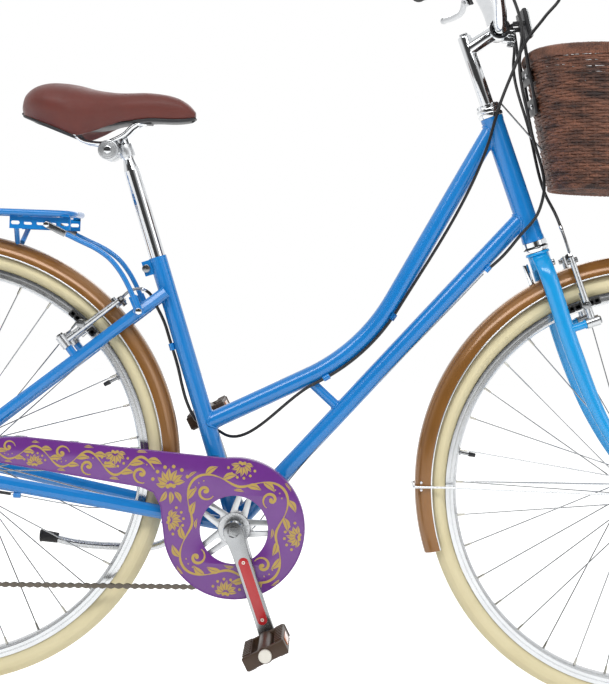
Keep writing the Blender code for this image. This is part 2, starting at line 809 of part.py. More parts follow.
def seat_tube():
    """The seat tube with its bore for the post, the bottom bracket shell and the clamp ears."""
    bore = SEATPOST_RADIUS + RUNNING_GAP
    floor = SEAT_TUBE_LENGTH - SEATPOST_INSERTION - SEATPOST_FLOOR_ROOM
    upright = rod(CRANK, seat(SEAT_TUBE_LENGTH), TUBE_RADIUS, 24)
    shell = rod(CRANK - ACROSS * SHELL_WIDTH / 2, CRANK + ACROSS * SHELL_WIDTH / 2, SHELL_RADIUS, 24)
    spindle_bore = rod(
        CRANK - ACROSS * SHELL_WIDTH,
        CRANK + ACROSS * SHELL_WIDTH,
        SPINDLE_RADIUS + RUNNING_GAP,
        16,
    )
    lean = Quaternion((0, 1, 0), SEAT_ANGLE - math.pi / 2)
    ear_height = SEAT_TUBE_LENGTH - CLAMP_EAR_DROP - CLAMP_EAR_LENGTH / 2
    ear_middle = seat(ear_height, -TUBE_RADIUS - 0.005)
    ears = block((0.014, 0.015, CLAMP_EAR_LENGTH), ear_middle, lean)
    post_bore = rod(seat(floor), seat(SEAT_TUBE_LENGTH + 0.05), bore, 24)
    bolt_middle = seat(ear_height, -TUBE_RADIUS - 0.007)
    bolt = rod(bolt_middle - ACROSS * 0.012, bolt_middle + ACROSS * 0.012, 0.003, 8)
    joined(upright, shell, ears)
    cut(upright, spindle_bore, post_bore)
    keep(joined(upright, bolt), "seat_tube", bicycle, BLUE)


def dropout_outline(hanger):
    """The dropout plate round the rear axle, with a hanger for the derailleur on the drive side."""
    ear = SEAT_STAY_START
    corners = [(-0.018, -0.012), (-0.028, 0.000), (-0.025, 0.014), (-0.011, 0.031)]
    corners += [(p.x, p.z) for p in (stay(ear, 0.0095), stay(ear, -0.0095))]
    corners += [(0.030, 0.008), (0.056, 0.002), (0.054, -0.018), (0.020, -0.020)]
    if hanger:
        corners += [(0.016, -0.036), (0.000, -0.036)]
    else:
        corners += [(0.008, -0.022)]
    outline = rounded([Vector((x, z, 0)) for x, z in corners], 0.003, 2, closed=True)
    return [(point.x, point.y) for point in outline]


SEAT_STAY_START = 0.036
DROPOUT_MIDDLE = REAR_HUB_WIDTH / 2 + DROPOUT_THICKNESS / 2
PAD_RADIUS = RIM_EDGE_RADIUS - PAD_BELOW_RIM_EDGE
PAD_ON_STAY = math.sqrt(PAD_RADIUS**2 - (STAY_OFFSET + REAR_PAD_BEHIND_STAY) ** 2)
PIVOT_ON_STAY = PAD_ON_STAY - REAR_PAD_ABOVE_PIVOT
PIVOT_ON_FORK = PAD_RADIUS - FRONT_PAD_ABOVE_PIVOT
BRIDGE_RADIUS = 0.005
GUARD_FACET_SAG = 0.0006
GUARD_BRIDGE = math.sqrt((GUARD_OUTER_RADIUS - GUARD_FACET_SAG + BRIDGE_RADIUS + GAP) ** 2 - STAY_OFFSET**2)


def stay_side(up):
    """How far a seat stay lies from the middle at a distance up from the axle."""
    return between(
        up,
        (
            (SEAT_STAY_START, DROPOUT_MIDDLE),
            (PIVOT_ON_STAY, BRAKE_BOSS_SPREAD),
            (GUARD_BRIDGE, SEAT_STAY_SPREAD),
            (GUARD_BRIDGE + 0.012, SEAT_STAY_SPREAD),
            (seat(SEAT_STAY_JOINT).dot(STAY_UP), TUBE_RADIUS + SEAT_STAY_RADIUS - 0.001),
        ),
    )


def brake_boss(place, back, offset, side):
    """A brake boss and its pin, from a stay or a blade towards the brake arm."""
    root = place + ACROSS * side * BRAKE_BOSS_SPREAD
    shoulder = root + back * (offset - BRAKE_BARREL_LENGTH / 2 - GAP)
    tip = root + back * (offset + BRAKE_BARREL_LENGTH / 2 + 0.002)
    return joined(rod(root, shoulder, BRAKE_BOSS_RADIUS, 12), rod(root, tip, BRAKE_PIN_RADIUS, 10))


def seat_stay(side, name):
    """A seat stay with its brake boss. The left one carries the bridge over the mudguard."""
    top = seat(SEAT_STAY_JOINT).dot(STAY_UP)
    start = SEAT_STAY_START + GAP
    ups = [start + (top - start) * step / 14 for step in range(15)]
    bar = pipe([stay(up) for up in ups], SEAT_STAY_RADIUS, 3)
    flatten(bar, 1.0, lambda place: side * stay_side(place.dot(STAY_UP)))
    joined(bar, brake_boss(stay(PIVOT_ON_STAY), STAY_BACK, REAR_ARM_OFFSET, side))
    if side == LEFT:
        far = GAP + SEAT_STAY_RADIUS - SEAT_STAY_SPREAD
        bridge = rod(stay(GUARD_BRIDGE, 0, SEAT_STAY_SPREAD), stay(GUARD_BRIDGE, 0, far), BRIDGE_RADIUS, 10)
        joined(bar, bridge)
    cut(bar, sleeve(seat(SEAT_TUBE_LENGTH / 2), seat(SEAT_TUBE_LENGTH), TUBE_RADIUS))
    keep(bar, name, bicycle, BLUE)


def chain_stay_sides():
    """Pairs of a place along the bicycle and how far a chain stay lies from the middle there."""
    return (
        (CHAIN_STAY_START.x, DROPOUT_MIDDLE),
        (CHAIN_STAY_START.x + 0.035, DROPOUT_MIDDLE - 0.002),
        (CRANK_FORWARD - CHAIN_STAY_BEND_START, CHAIN_STAY_SPREAD + 0.005),
        (CRANK_FORWARD - CHAIN_STAY_BEND_END, CHAIN_STAY_SPREAD),
        (CRANK_FORWARD - 0.020, SHELL_WIDTH / 2 - CHAIN_STAY_RADIUS * CHAIN_STAY_FLATNESS),
    )


def chain_stay(side, name):
    """A chain stay with its dropout. The left one carries the kickstand's bracket."""
    start = CHAIN_STAY_START
    steps = 8
    places = [start.lerp(CRANK, step / steps) for step in range(steps + 1)]
    sides = chain_stay_sides()
    bar = pipe(places, CHAIN_STAY_RADIUS, 3)
    flatten(bar, CHAIN_STAY_FLATNESS, lambda place: side * between(place.x, sides))
    dropout = plate([dropout_outline(side == RIGHT)], DROPOUT_THICKNESS, side * DROPOUT_MIDDLE)
    joined(bar, dropout)
    if side == LEFT:
        joined(bar, *kickstand_bracket())
    axle_hole = rod(-ACROSS, ACROSS, REAR_AXLE_RADIUS + GAP * 2, 12)
    shell_sleeve = sleeve(CRANK - ACROSS * SHELL_WIDTH, CRANK + ACROSS * SHELL_WIDTH, SHELL_RADIUS)
    cut(bar, axle_hole, shell_sleeve)
    keep(bar, name, bicycle, BLUE)


KICKSTAND_PIVOT = Vector((CRANK_FORWARD - KICKSTAND_PIVOT_BEHIND_CRANK, 0, -KICKSTAND_PIVOT_DROP))
KICKSTAND_AXIS = Vector((0, -math.cos(KICKSTAND_SPLAY), -math.sin(KICKSTAND_SPLAY)))
KICKSTAND_LUG_SIDE = 0.040
CHAIN_STAY_START = Vector((0.036, 0, -0.008))


def kickstand_bracket():
    """The plate under the chain stays and the lug that holds the kickstand's pin."""
    along = (CRANK - CHAIN_STAY_START).normalized()
    middle = CHAIN_STAY_START + along * ((KICKSTAND_PIVOT.x - CHAIN_STAY_START.x) / along.x)
    down = Vector((along.z, 0, -along.x))
    thickness = 0.005
    tilt = Quaternion((0, 1, 0), math.asin(-along.z))
    reach = CHAIN_STAY_SPREAD + CHAIN_STAY_RADIUS * CHAIN_STAY_FLATNESS
    under = CHAIN_STAY_RADIUS + GAP
    deck = block((0.036, 2 * reach, thickness), middle + down * (under + thickness / 2), tilt)
    pad = block((0.034, 0.008, 0.009), middle + down * (under - 0.001) + ACROSS * CHAIN_STAY_SPREAD, tilt)
    lug_top = (middle + down * (under + thickness / 2)).z
    lug = block(
        (0.022, 0.010, lug_top - KICKSTAND_PIVOT.z),
        Vector((KICKSTAND_PIVOT.x, KICKSTAND_LUG_SIDE - 0.012, (lug_top + KICKSTAND_PIVOT.z) / 2)),
    )
    root = KICKSTAND_PIVOT + ACROSS * KICKSTAND_LUG_SIDE
    barrel = rod(root + KICKSTAND_AXIS * 0.011, root, 0.013, 16)
    pin = rod(root, root - KICKSTAND_AXIS * 0.018, 0.004, 10)
    return deck, pad, lug, barrel, pin


def guard_surface(centre, start, end):
    """An open half-oval section swept round the wheel."""
    shape = bmesh.new()
    count = 6
    radial = Vector((math.cos(start), 0, math.sin(start)))
    corners = []
    for step in range(count + 1):
        angle = math.pi * (step / count - 0.5)
        radius = GUARD_OUTER_RADIUS - GUARD_DEPTH * (1 - math.cos(angle))
        corners.append(shape.verts.new(centre + radial * radius + ACROSS * (GUARD_WIDTH / 2 * math.sin(angle))))
    for first, second in zip(corners, corners[1:]):
        shape.edges.new((first, second))
    bmesh.ops.spin(
        shape,
        geom=shape.verts[:] + shape.edges[:],
        cent=centre,
        axis=-ACROSS,
        angle=end - start,
        steps=round((end - start) / math.radians(8.4)),
        use_merge=False,
    )
    shape.normal_update()
    crown = max(shape.faces, key=lambda face: (face.calc_center_median() - centre).length)
    if crown.normal.dot(crown.calc_center_median() - centre) < 0:
        bmesh.ops.reverse_faces(shape, faces=shape.faces)
    mesh = bpy.data.meshes.new("guard")
    shape.to_mesh(mesh)
    shape.free()
    obj = loose(bpy.data.objects.new("guard", mesh))
    wall = obj.modifiers.new("wall", "SOLIDIFY")
    wall.thickness = GUARD_THICKNESS
    wall.offset = -1
    return obj


def guard_stay(centre, angle, foot, foot_side):
    """A wire from one dropout's eye, over the mudguard and back down to the other."""
    radius = GUARD_OUTER_RADIUS - GUARD_DEPTH / 2
    half = GUARD_WIDTH / 2 + GUARD_STAY_RADIUS + GAP
    outside = GUARD_OUTER_RADIUS + GUARD_STAY_RADIUS + GAP * 3
    corners = [
        foot + ACROSS * foot_side,
        on_circle(centre, radius - 0.03, angle, half + 0.004),
        on_circle(centre, outside, angle, half),
        on_circle(centre, outside, angle, -half),
        on_circle(centre, radius - 0.03, angle, -half - 0.004),
        foot - ACROSS * foot_side,
    ]
    wire = pipe(rounded(corners, 0.004, 3), GUARD_STAY_RADIUS, 1)
    eyes = [
        rod(foot + ACROSS * side * (foot_side - 0.0035), foot + ACROSS * side * (foot_side + 0.0035), 0.006, 10)
        for side in (LEFT, RIGHT)
    ]
    return joined(wire, *eyes)


FRONT_GUARD_CENTRE = FRONT_AXLE + Vector((0, 0, FRONT_GUARD_RAISE))
REAR_STAY_FOOT = Vector((-0.019, 0, 0.006))
RACK_FOOT = Vector((-0.006, 0, 0.021))
FRONT_STAY_FOOT = steer(0.003, FORK_RAKE - 0.016)
STAY_EYE_HALF = 0.0035


def mudguards():
    """Both mudguards with their wire stays, and the rear reflector."""
    rear = guard_surface(REAR_AXLE, REAR_GUARD_START, REAR_GUARD_END)
    keep(rear, "rear_mudguard", bicycle, GOLD_BROWN)
    rear_eye = REAR_HUB_WIDTH / 2 + DROPOUT_THICKNESS + GAP + STAY_EYE_HALF
    wires = guard_stay(REAR_AXLE, math.radians(158), REAR_STAY_FOOT, rear_eye)
    keep(wires, "rear_mudguard_stays", bicycle, CHROME)
    back = -GUARD_OUTER_RADIUS - GAP
    reflector = rod(Vector((back, 0, 0.012)), Vector((-LENGTH_BEHIND_AXLE, 0, 0.012)), 0.022, 20)
    keep(reflector, "rear_reflector", bicycle, RED)
    front = guard_surface(FRONT_GUARD_CENTRE, FRONT_GUARD_START, FRONT_GUARD_END)
    behind_crown = -CROWN_DEPTH / 2 - GAP - 0.005
    crown_bracket = rod(steer(CROWN_LOW + 0.018, behind_crown), steer(CROWN_LOW - 0.021, behind_crown), 0.005, 8)
    keep(joined(front, crown_bracket), "front_mudguard", steering, GOLD_BROWN)
    front_eye = FRONT_HUB_WIDTH / 2 + DROPOUT_THICKNESS + GAP + STAY_EYE_HALF
    wires = guard_stay(FRONT_GUARD_CENTRE, math.radians(182), FRONT_STAY_FOOT, front_eye)
    keep(wires, "front_mudguard_stays", steering, CHROME)


def fork():
    """The fork: steerer tube, crown, raked oval blades, dropouts and brake bosses."""
    steerer_top = UPPER_CUP_TOP - 0.004 - (CROWN_LOW + 0.010)
    bore = QUILL_RADIUS + GAP
    profile = [(STEERER_RADIUS, steerer_top), (STEERER_RADIUS, 0), (bore, 0), (bore, steerer_top)]
    steerer = turned(profile, steer(CROWN_LOW + 0.010), STEER_UP, 16)
    lean = Quaternion((0, 1, 0), HEAD_ANGLE - math.pi / 2)
    crown_width = 2 * (BLADE_SPREAD + BLADE_RADIUS * BLADE_FLATNESS)
    crown = block((CROWN_DEPTH, crown_width, CROWN_HEIGHT), steer((CROWN_LOW + CROWN_TOP) / 2), lean)
    bevelled(crown, 0.006, 1)
    joined(steerer, crown)
    axle_side = FRONT_HUB_WIDTH / 2 + DROPOUT_THICKNESS / 2
    shape = ((0.92, 0.0), (0.66, -0.05), (0.34, 0.13), (0.17, 0.46), (0.055, 0.82))
    path = smooth([steer(CROWN_LOW * up, FORK_RAKE * fore) for up, fore in shape], 0.045)
    path = [steer(CROWN_LOW + 0.010)] + path
    slim = BLADE_TIP_RADIUS / BLADE_RADIUS
    heights = [(place - FRONT_AXLE).dot(STEER_UP) for place in path]
    radii = [between(up, ((0, slim), (0.6 * CROWN_LOW, 1.0))) for up in heights]
    sides = ((0.02, axle_side), (CROWN_LOW, BLADE_SPREAD))
    outline = [
        steer(-0.013, FORK_RAKE - 0.009),
        steer(-0.013, FORK_RAKE + 0.009),
        steer(0.010, FORK_RAKE + 0.013),
        steer(0.042, FORK_RAKE * 0.76 + 0.006),
        steer(0.042, FORK_RAKE * 0.76 - 0.009),
        steer(0.016, FORK_RAKE - 0.022),
        steer(0.001, FORK_RAKE - 0.023),
    ]
    corners = rounded([Vector((place.x, place.z, 0)) for place in outline], 0.004, 2, closed=True)
    for side in (LEFT, RIGHT):
        blade = pipe(path, BLADE_RADIUS, 3, radii)
        flatten(
            blade,
            BLADE_FLATNESS,
            lambda place, side=side: side * between((place - FRONT_AXLE).dot(STEER_UP), sides),
        )
        dropout = plate([[(corner.x, corner.y) for corner in corners]], DROPOUT_THICKNESS, side * axle_side)
        joined(steerer, blade, dropout)
        joined(steerer, brake_boss(steer(PIVOT_ON_FORK), STEER_FORE, FRONT_ARM_OFFSET, side))
    cut(steerer, rod(FRONT_AXLE - ACROSS, FRONT_AXLE + ACROSS, FRONT_AXLE_RADIUS + 2 * GAP, 12))
    keep(steerer, "fork", steering, LIGHT_BLUE)


def brake_arm(name, parent, centre, pivot, up, back, side, pad_up, pad_back):
    """A brake arm with its barrel, pad holder and pad, and the cable anchor at its tip."""
    half = BRAKE_BARREL_LENGTH / 2
    bore = BRAKE_PIN_RADIUS + RUNNING_GAP
    barrel = turned(
        [(BRAKE_BARREL_RADIUS, half), (BRAKE_BARREL_RADIUS, -half), (bore, -half), (bore, half)],
        pivot,
        back,
        10,
    )
    tip = pivot + up * BRAKE_ARM_LENGTH
    slope = 0.75
    bar = pipe([pivot + up * (bore + 0.002), tip], BRAKE_ARM_RADIUS, 1, [1, slope])
    anchor = rod(tip - up * 0.006 - back * 0.009, tip - up * 0.006 + back * 0.009, 0.0045, 6)
    pad_middle = pivot + up * pad_up + back * pad_back
    inner = RIM_WIDTH / 2 + PAD_CLEARANCE
    spread = side * BRAKE_BOSS_SPREAD
    lug = rod(pivot + up * pad_up - back * 0.002, pad_middle + back * 0.004, 0.0055, 6)
    stub_start = Vector((pad_middle.x, spread, pad_middle.z))
    stub_end = Vector((pad_middle.x, side * (inner + PAD_THICKNESS / 2), pad_middle.z))
    stub = rod(stub_start + ACROSS * side * 0.008, stub_end, 0.0035, 6)
    out = pad_middle - centre
    turn = Quaternion((0, 1, 0), math.atan2(out.x, out.z))
    pad_place = Vector((pad_middle.x, side * (inner + PAD_THICKNESS / 2), pad_middle.z))
    pad = block((PAD_LENGTH, PAD_THICKNESS, PAD_HEIGHT), pad_place, turn)
    keep(joined(barrel, bar, anchor, lug, stub, pad), name, parent, ALLOY)


def brakes():
    """Four brake arms, each on an empty on its pin."""
    for side, word in ((RIGHT, "right"), (LEFT, "left")):
        spread = ACROSS * side * BRAKE_BOSS_SPREAD
        rear_pivot = stay(PIVOT_ON_STAY, REAR_ARM_OFFSET) + spread
        holder = body(word + "_rear_brake_body", bicycle, rear_pivot)
        pad_back = REAR_PAD_BEHIND_STAY - REAR_ARM_OFFSET
        name = word + "_rear_brake_arm"
        brake_arm(name, holder, REAR_AXLE, rear_pivot, STAY_UP, STAY_BACK, side, REAR_PAD_ABOVE_PIVOT, pad_back)
        front_pivot = steer(PIVOT_ON_FORK, FRONT_ARM_OFFSET) + spread
        holder = body(word + "_front_brake_body", steering, front_pivot)
        pad_fore = FORK_RAKE - FRONT_ARM_OFFSET
        name = word + "_front_brake_arm"
        brake_arm(
            name, holder, FRONT_AXLE, front_pivot, STEER_UP, STEER_FORE, side, FRONT_PAD_ABOVE_PIVOT, pad_fore
        )


def pitch_radius(teeth):
    """The radius of the chain's line round a sprocket."""
    return CHAIN_PITCH / (2 * math.sin(math.pi / teeth))


def belt(wheels_round, offset, step_angle=math.radians(9)):
    """A closed route round wheels of (centre, radius, turn), shifted outwards by the offset."""
    count = len(wheels_round)
    sized = [(Vector(centre), radius + turn * offset, turn) for centre, radius, turn in wheels_round]
    leave, reach = [None] * count, [None] * count
    for index in range(count):
        (first, r1, t1), (second, r2, t2) = sized[index], sized[(index + 1) % count]
        apart = second - first
        length = apart.length
        sine = (t1 * r1 - t2 * r2) / length
        cosine = math.sqrt(1 - sine * sine)
        onward = apart / length
        left = Vector((-onward.y, onward.x))
        normal = left * cosine + onward * sine
        leave[index] = first + normal * t1 * r1
        reach[(index + 1) % count] = second + normal * t2 * r2
    route = []
    for index, (centre, radius, turn) in enumerate(sized):
        start = reach[index] - centre
        end = leave[index] - centre
        from_angle = math.atan2(start.y, start.x)
        swept = (turn * (from_angle - math.atan2(end.y, end.x))) % math.tau
        steps = max(2, math.ceil(swept / step_angle))
        for step in range(steps + 1):
            angle = from_angle - turn * swept * step / steps
            route.append((centre.x + radius * math.cos(angle), centre.y + radius * math.sin(angle)))
    return route


def chain_wheels():
    """The wheels that the chain runs round, in its direction of travel."""
    ring = (CRANK.x, CRANK.z)
    return (
        ((0.0, 0.0), pitch_radius(SPROCKET_TEETH[CHAIN_SPROCKET]), 1),
        (ring, pitch_radius(CHAINRING_TEETH), 1),
        (TENSION_PULLEY, PULLEY_RADIUS, 1),
        (GUIDE_PULLEY, PULLEY_RADIUS, -1),
    )


def capsule(first, first_radius, second, second_radius):
    """The outline round two circles, as (x, z) points."""
    circles = (((first.x, first.z), first_radius, 1), ((second.x, second.z), second_radius, 1))
    return belt(circles, 0, math.radians(18))


def disc(radius, centre, start, end, sides=24):
    """A disc or bar across the bicycle, from one side value to another."""
    return rod(centre + ACROSS * start, centre + ACROSS * end, radius, sides)


def drive():
    """Chain, chainring, cranks, pedals and sprockets."""
    half = CHAIN_HEIGHT / 2
    outlines = [belt(chain_wheels(), half), belt(chain_wheels(), -half)]
    keep(plate(outlines, CHAIN_WIDTH, -CHAIN_LINE), "chain", bicycle, STEEL)

    inside_chain = -half - GAP
    line = CHAIN_LINE
    profile = []
    edge = line + SPROCKET_SPACING * CHAIN_SPROCKET + SPROCKET_THICKNESS / 2
    hub_radius = 0.021
    half_cog = SPROCKET_THICKNESS / 2
    for index, teeth in enumerate(SPROCKET_TEETH):
        middle = -(line + (CHAIN_SPROCKET - index) * SPROCKET_SPACING)
        radius = pitch_radius(teeth) + inside_chain
        profile += [(hub_radius, middle - half_cog), (radius, middle - half_cog)]
        profile += [(radius, middle + half_cog), (hub_radius, middle + half_cog)]
    profile[0] = (REAR_AXLE_RADIUS + RUNNING_GAP, -edge)
    profile[-1] = (REAR_AXLE_RADIUS + RUNNING_GAP, profile[-1][1])
    keep(turned(profile, REAR_AXLE, ACROSS, 16), "cassette", cassette_body, STEEL)

    outer = pitch_radius(CHAINRING_TEETH) + inside_chain
    inner = outer - 0.023
    thick = CHAINRING_THICKNESS / 2
    ring = turned([(outer, thick), (outer, -thick), (inner, -thick), (inner, thick)], CRANK - ACROSS * line, ACROSS, 40)
    spider_face = -line - 0.0055
    bore = bore_radius(CRANK_BOSS_RADIUS, 14)
    collar = [(bore + 0.008, 0.007), (bore + 0.008, 0), (bore, 0), (bore, 0.007)]
    joined(ring, turned(collar, CRANK + ACROSS * spider_face, ACROSS, 14))
    for index in range(SPIDER_ARMS):
        angle = CRANK_ANGLE + math.tau * index / SPIDER_ARMS
        middle = on_circle(CRANK, (bore + 0.004 + inner + 0.007) / 2, angle, spider_face + 0.0025)
        length = inner + 0.007 - bore - 0.004
        joined(ring, block((length, 0.005, 0.014), middle, Quaternion((0, 1, 0), -angle)))
    keep(ring, "chainring", crank_body, ALLOY)

    outside = CRANK_INNER_FACE + CRANK_THICKNESS
    spindle_end = outside - 0.005
    for side, word in ((RIGHT, "right"), (LEFT, "left")):
        angle = CRANK_ANGLE if side == RIGHT else CRANK_ANGLE + math.pi
        eye = on_circle(CRANK, CRANK_LENGTH, angle)
        middle = side * (CRANK_INNER_FACE + CRANK_THICKNESS / 2)
        arm = plate([capsule(CRANK, CRANK_BOSS_RADIUS, eye, CRANK_EYE_RADIUS)], CRANK_THICKNESS, middle)
        joined(arm, disc(CRANK_BOSS_RADIUS, CRANK, side * (SHELL_WIDTH / 2 + 0.003), side * (outside - 0.002)))
        if side == RIGHT:
            cut(arm, disc(SPINDLE_RADIUS + GAP, CRANK, 0, -spindle_end - GAP, 16))
        else:
            joined(arm, disc(SPINDLE_RADIUS, CRANK, side * CRANK_INNER_FACE, -spindle_end, 16))
        keep(arm, word + "_crank", crank_body, ALLOY)
        pedal(side, word, eye, outside)


def pedal(side, word, eye, outside):
    """A pedal: axle barrel, two tread bars, end plates and a round end cap."""
    holder = body(word + "_pedal_body", crank_body, eye)
    tilt = Quaternion((0, 1, 0), -PEDAL_TILT)
    start = outside + GAP
    near, far = start + 0.012, start + 0.012 + PEDAL_LENGTH
    barrel = disc(PEDAL_AXLE_RADIUS, eye, side * start, side * (far - 0.004), 12)
    core = disc(PEDAL_HEIGHT / 2, eye, side * (near + 0.001), side * (far - 0.001), 16)
    cap = disc(0.010, eye, side * (far - 0.002), side * (far + 0.006), 16)
    joined(barrel, core, cap)
    for end in (near + 0.004, far - 0.004):
        place = eye + ACROSS * side * end
        plate_size = (PEDAL_DEPTH, 0.008, PEDAL_HEIGHT * 0.86)
        joined(barrel, block(plate_size, place, tilt))
    for fore in (LEFT, RIGHT):
        offset = tilt @ Vector((fore * (PEDAL_DEPTH / 2 - 0.008), 0, 0))
        place = eye + offset + ACROSS * side * (near + far) / 2
        bar_size = (0.014, far - near - 0.002, PEDAL_HEIGHT)
        joined(barrel, block(bar_size, place, tilt))
    keep(barrel, word + "_pedal", holder, RESIN)


def derailleur():
    """The derailleur's body on the dropout's hanger, and its cage with both pulleys."""
    guide = Vector((GUIDE_PULLEY[0], 0, GUIDE_PULLEY[1]))
    tension = Vector((TENSION_PULLEY[0], 0, TENSION_PULLEY[1]))
    space = CHAIN_WIDTH / 2 + RUNNING_GAP
    wheel_radius = PULLEY_RADIUS - CHAIN_HEIGHT / 2 - GAP
    middle = -CHAIN_LINE
    cage_outline = [capsule(guide, 0.016, tension, 0.013)]
    outer = plate(cage_outline, CAGE_PLATE, middle - space - CAGE_PLATE / 2)
    inner = plate(cage_outline, CAGE_PLATE, middle + space + CAGE_PLATE / 2)
    joined(outer, inner)
    for centre in (guide, tension):
        joined(
            outer,
            disc(wheel_radius, centre, middle - 0.0015, middle + 0.0015, 20),
            disc(0.004, centre, middle - space - CAGE_PLATE, middle + space + CAGE_PLATE, 10),
        )
    keep(outer, "derailleur_cage", bicycle, STEEL)
    cage_face = middle - space - CAGE_PLATE
    hanger_face = -DROPOUT_MIDDLE - DROPOUT_THICKNESS / 2
    hanger = Vector((0.008, 0, -0.029))
    knuckle = disc(0.009, hanger, hanger_face - GAP, hanger_face - 0.014, 16)
    low_knuckle = disc(0.011, guide, cage_face - GAP, cage_face - 0.018, 16)
    top = hanger + ACROSS * (hanger_face - 0.0112)
    low = guide + ACROSS * (cage_face - 0.010)
    link = rod(top, low, 0.006, 10, 0.0085)
    stop = block((0.020, 0.010, 0.010), Vector((hanger.x - 0.016, hanger_face - 0.009, hanger.z)))
    keep(joined(knuckle, link, low_knuckle, stop), "derailleur_body", bicycle, BLACK_PLASTIC)


def chain_guard_outline(shrink=0.0):
    """The chain guard's outline: a disc round the chainring with a long tail to the rear wheel."""
    centre = Vector((CRANK.x, 0, CRANK.z + 0.002))
    radius = CHAIN_GUARD_RADIUS - shrink
    tail_top, tail_low = 0.054 - shrink, 0.016 + shrink
    rear = 0.060 + shrink
    corners = [
        (rear, tail_low),
        (rear, tail_top - 0.010),
        (rear + 0.034, tail_top - 0.002),
        (rear + 0.070, tail_top),
    ]
    start = math.radians(98)
    end = math.radians(-168)
    steps = 26
    for step in range(steps + 1):
        place = on_circle(centre, radius, start + (end - start) * step / steps)
        corners.append((place.x, place.z))
    corners += [(0.346 - shrink, -0.046), (0.334 - shrink, -0.026 + shrink), (0.312, -0.018 + shrink)]
    return corners


def chain_guard():
    """The sheet chain guard with its turned edge and brackets."""
    hole = [
        (CRANK.x + CHAIN_GUARD_HOLE * math.cos(math.tau * i / 24), CRANK.z + CHAIN_GUARD_HOLE * math.sin(math.tau * i / 24))
        for i in range(24)
    ]
    sheet = plate([chain_guard_outline(), hole], CHAIN_GUARD_THICKNESS, -CHAIN_GUARD_LINE)
    flange_side = -CHAIN_GUARD_LINE + CHAIN_GUARD_FLANGE / 2
    edge = CHAIN_GUARD_THICKNESS * 0.2
    flange = plate(
        [chain_guard_outline(edge), chain_guard_outline(edge + CHAIN_GUARD_THICKNESS)],
        CHAIN_GUARD_FLANGE,
        flange_side,
    )
    open_side = Vector((0.215, flange_side + 0.01, -0.137))
    rear_end = Vector((0.055, flange_side + 0.01, 0.030))
    wide = CHAIN_GUARD_FLANGE + 0.020
    cut(flange, block((0.43, wide, 0.250), open_side), block((0.046, wide, 0.080), rear_end))
    joined(sheet, flange)
    bracket_at = seat(0.114)
    tube_face = -TUBE_RADIUS - GAP
    upper = block(
        (0.012, CHAIN_GUARD_LINE + tube_face, 0.0015),
        Vector((bracket_at.x, (tube_face - CHAIN_GUARD_LINE) / 2, bracket_at.z)),
    )
    joined(sheet, upper)
    keep(sheet, "chain_guard", bicycle, PURPLE)


def kickstand():
    """The kickstand's leg, folded back along the left chain stay."""
    root = KICKSTAND_PIVOT + ACROSS * KICKSTAND_LUG_SIDE
    holder = body("kickstand_body", bicycle, root)
    back = Vector((-1, 0, 0))
    start = root - KICKSTAND_AXIS * 0.008
    collar = turned(
        [(0.012, 0.0065), (0.012, -0.0065), (0.004 + RUNNING_GAP, -0.0065), (0.004 + RUNNING_GAP, 0.0065)],
        start,
        -KICKSTAND_AXIS,
        16,
    )
    path = smooth(
        [
            start + back * 0.008,
            start + back * 0.030 + Vector((0, 0.002, -0.012)),
            start + back * 0.100 + Vector((0, 0.004, -0.018)),
            start + back * 0.185 + Vector((0, 0.004, -0.012)),
            start + back * 0.214 + Vector((0, 0.004, -0.005)),
        ],
        0.020,
    )
    leg = pipe(path, KICKSTAND_RADIUS, 3)
    foot_at = path[-1]
    foot_start = foot_at - back * KICKSTAND_FOOT_OVERLAP - Vector((0, 0, 0.003))
    foot = rod(foot_start, foot_at + back * KICKSTAND_FOOT_END, KICKSTAND_FOOT_RADIUS, 12)
    keep(joined(collar, leg, foot), "kickstand_leg", holder, ALLOY)


RACK_FOOT_SIDE = REAR_HUB_WIDTH / 2 + DROPOUT_THICKNESS + GAP + RACK_ROD_RADIUS
RACK_CORNER_RADIUS = 0.030
RACK_CROSS_RODS = (RACK_FRONT - 0.055, RACK_FRONT - 0.190, RACK_REAR + 0.055)
RACK_CROSS_ROD_RADIUS = RACK_ROD_RADIUS * 0.8
RACK_STRIP_WIDTH = 0.046
RACK_STRIP_THICKNESS = 0.003


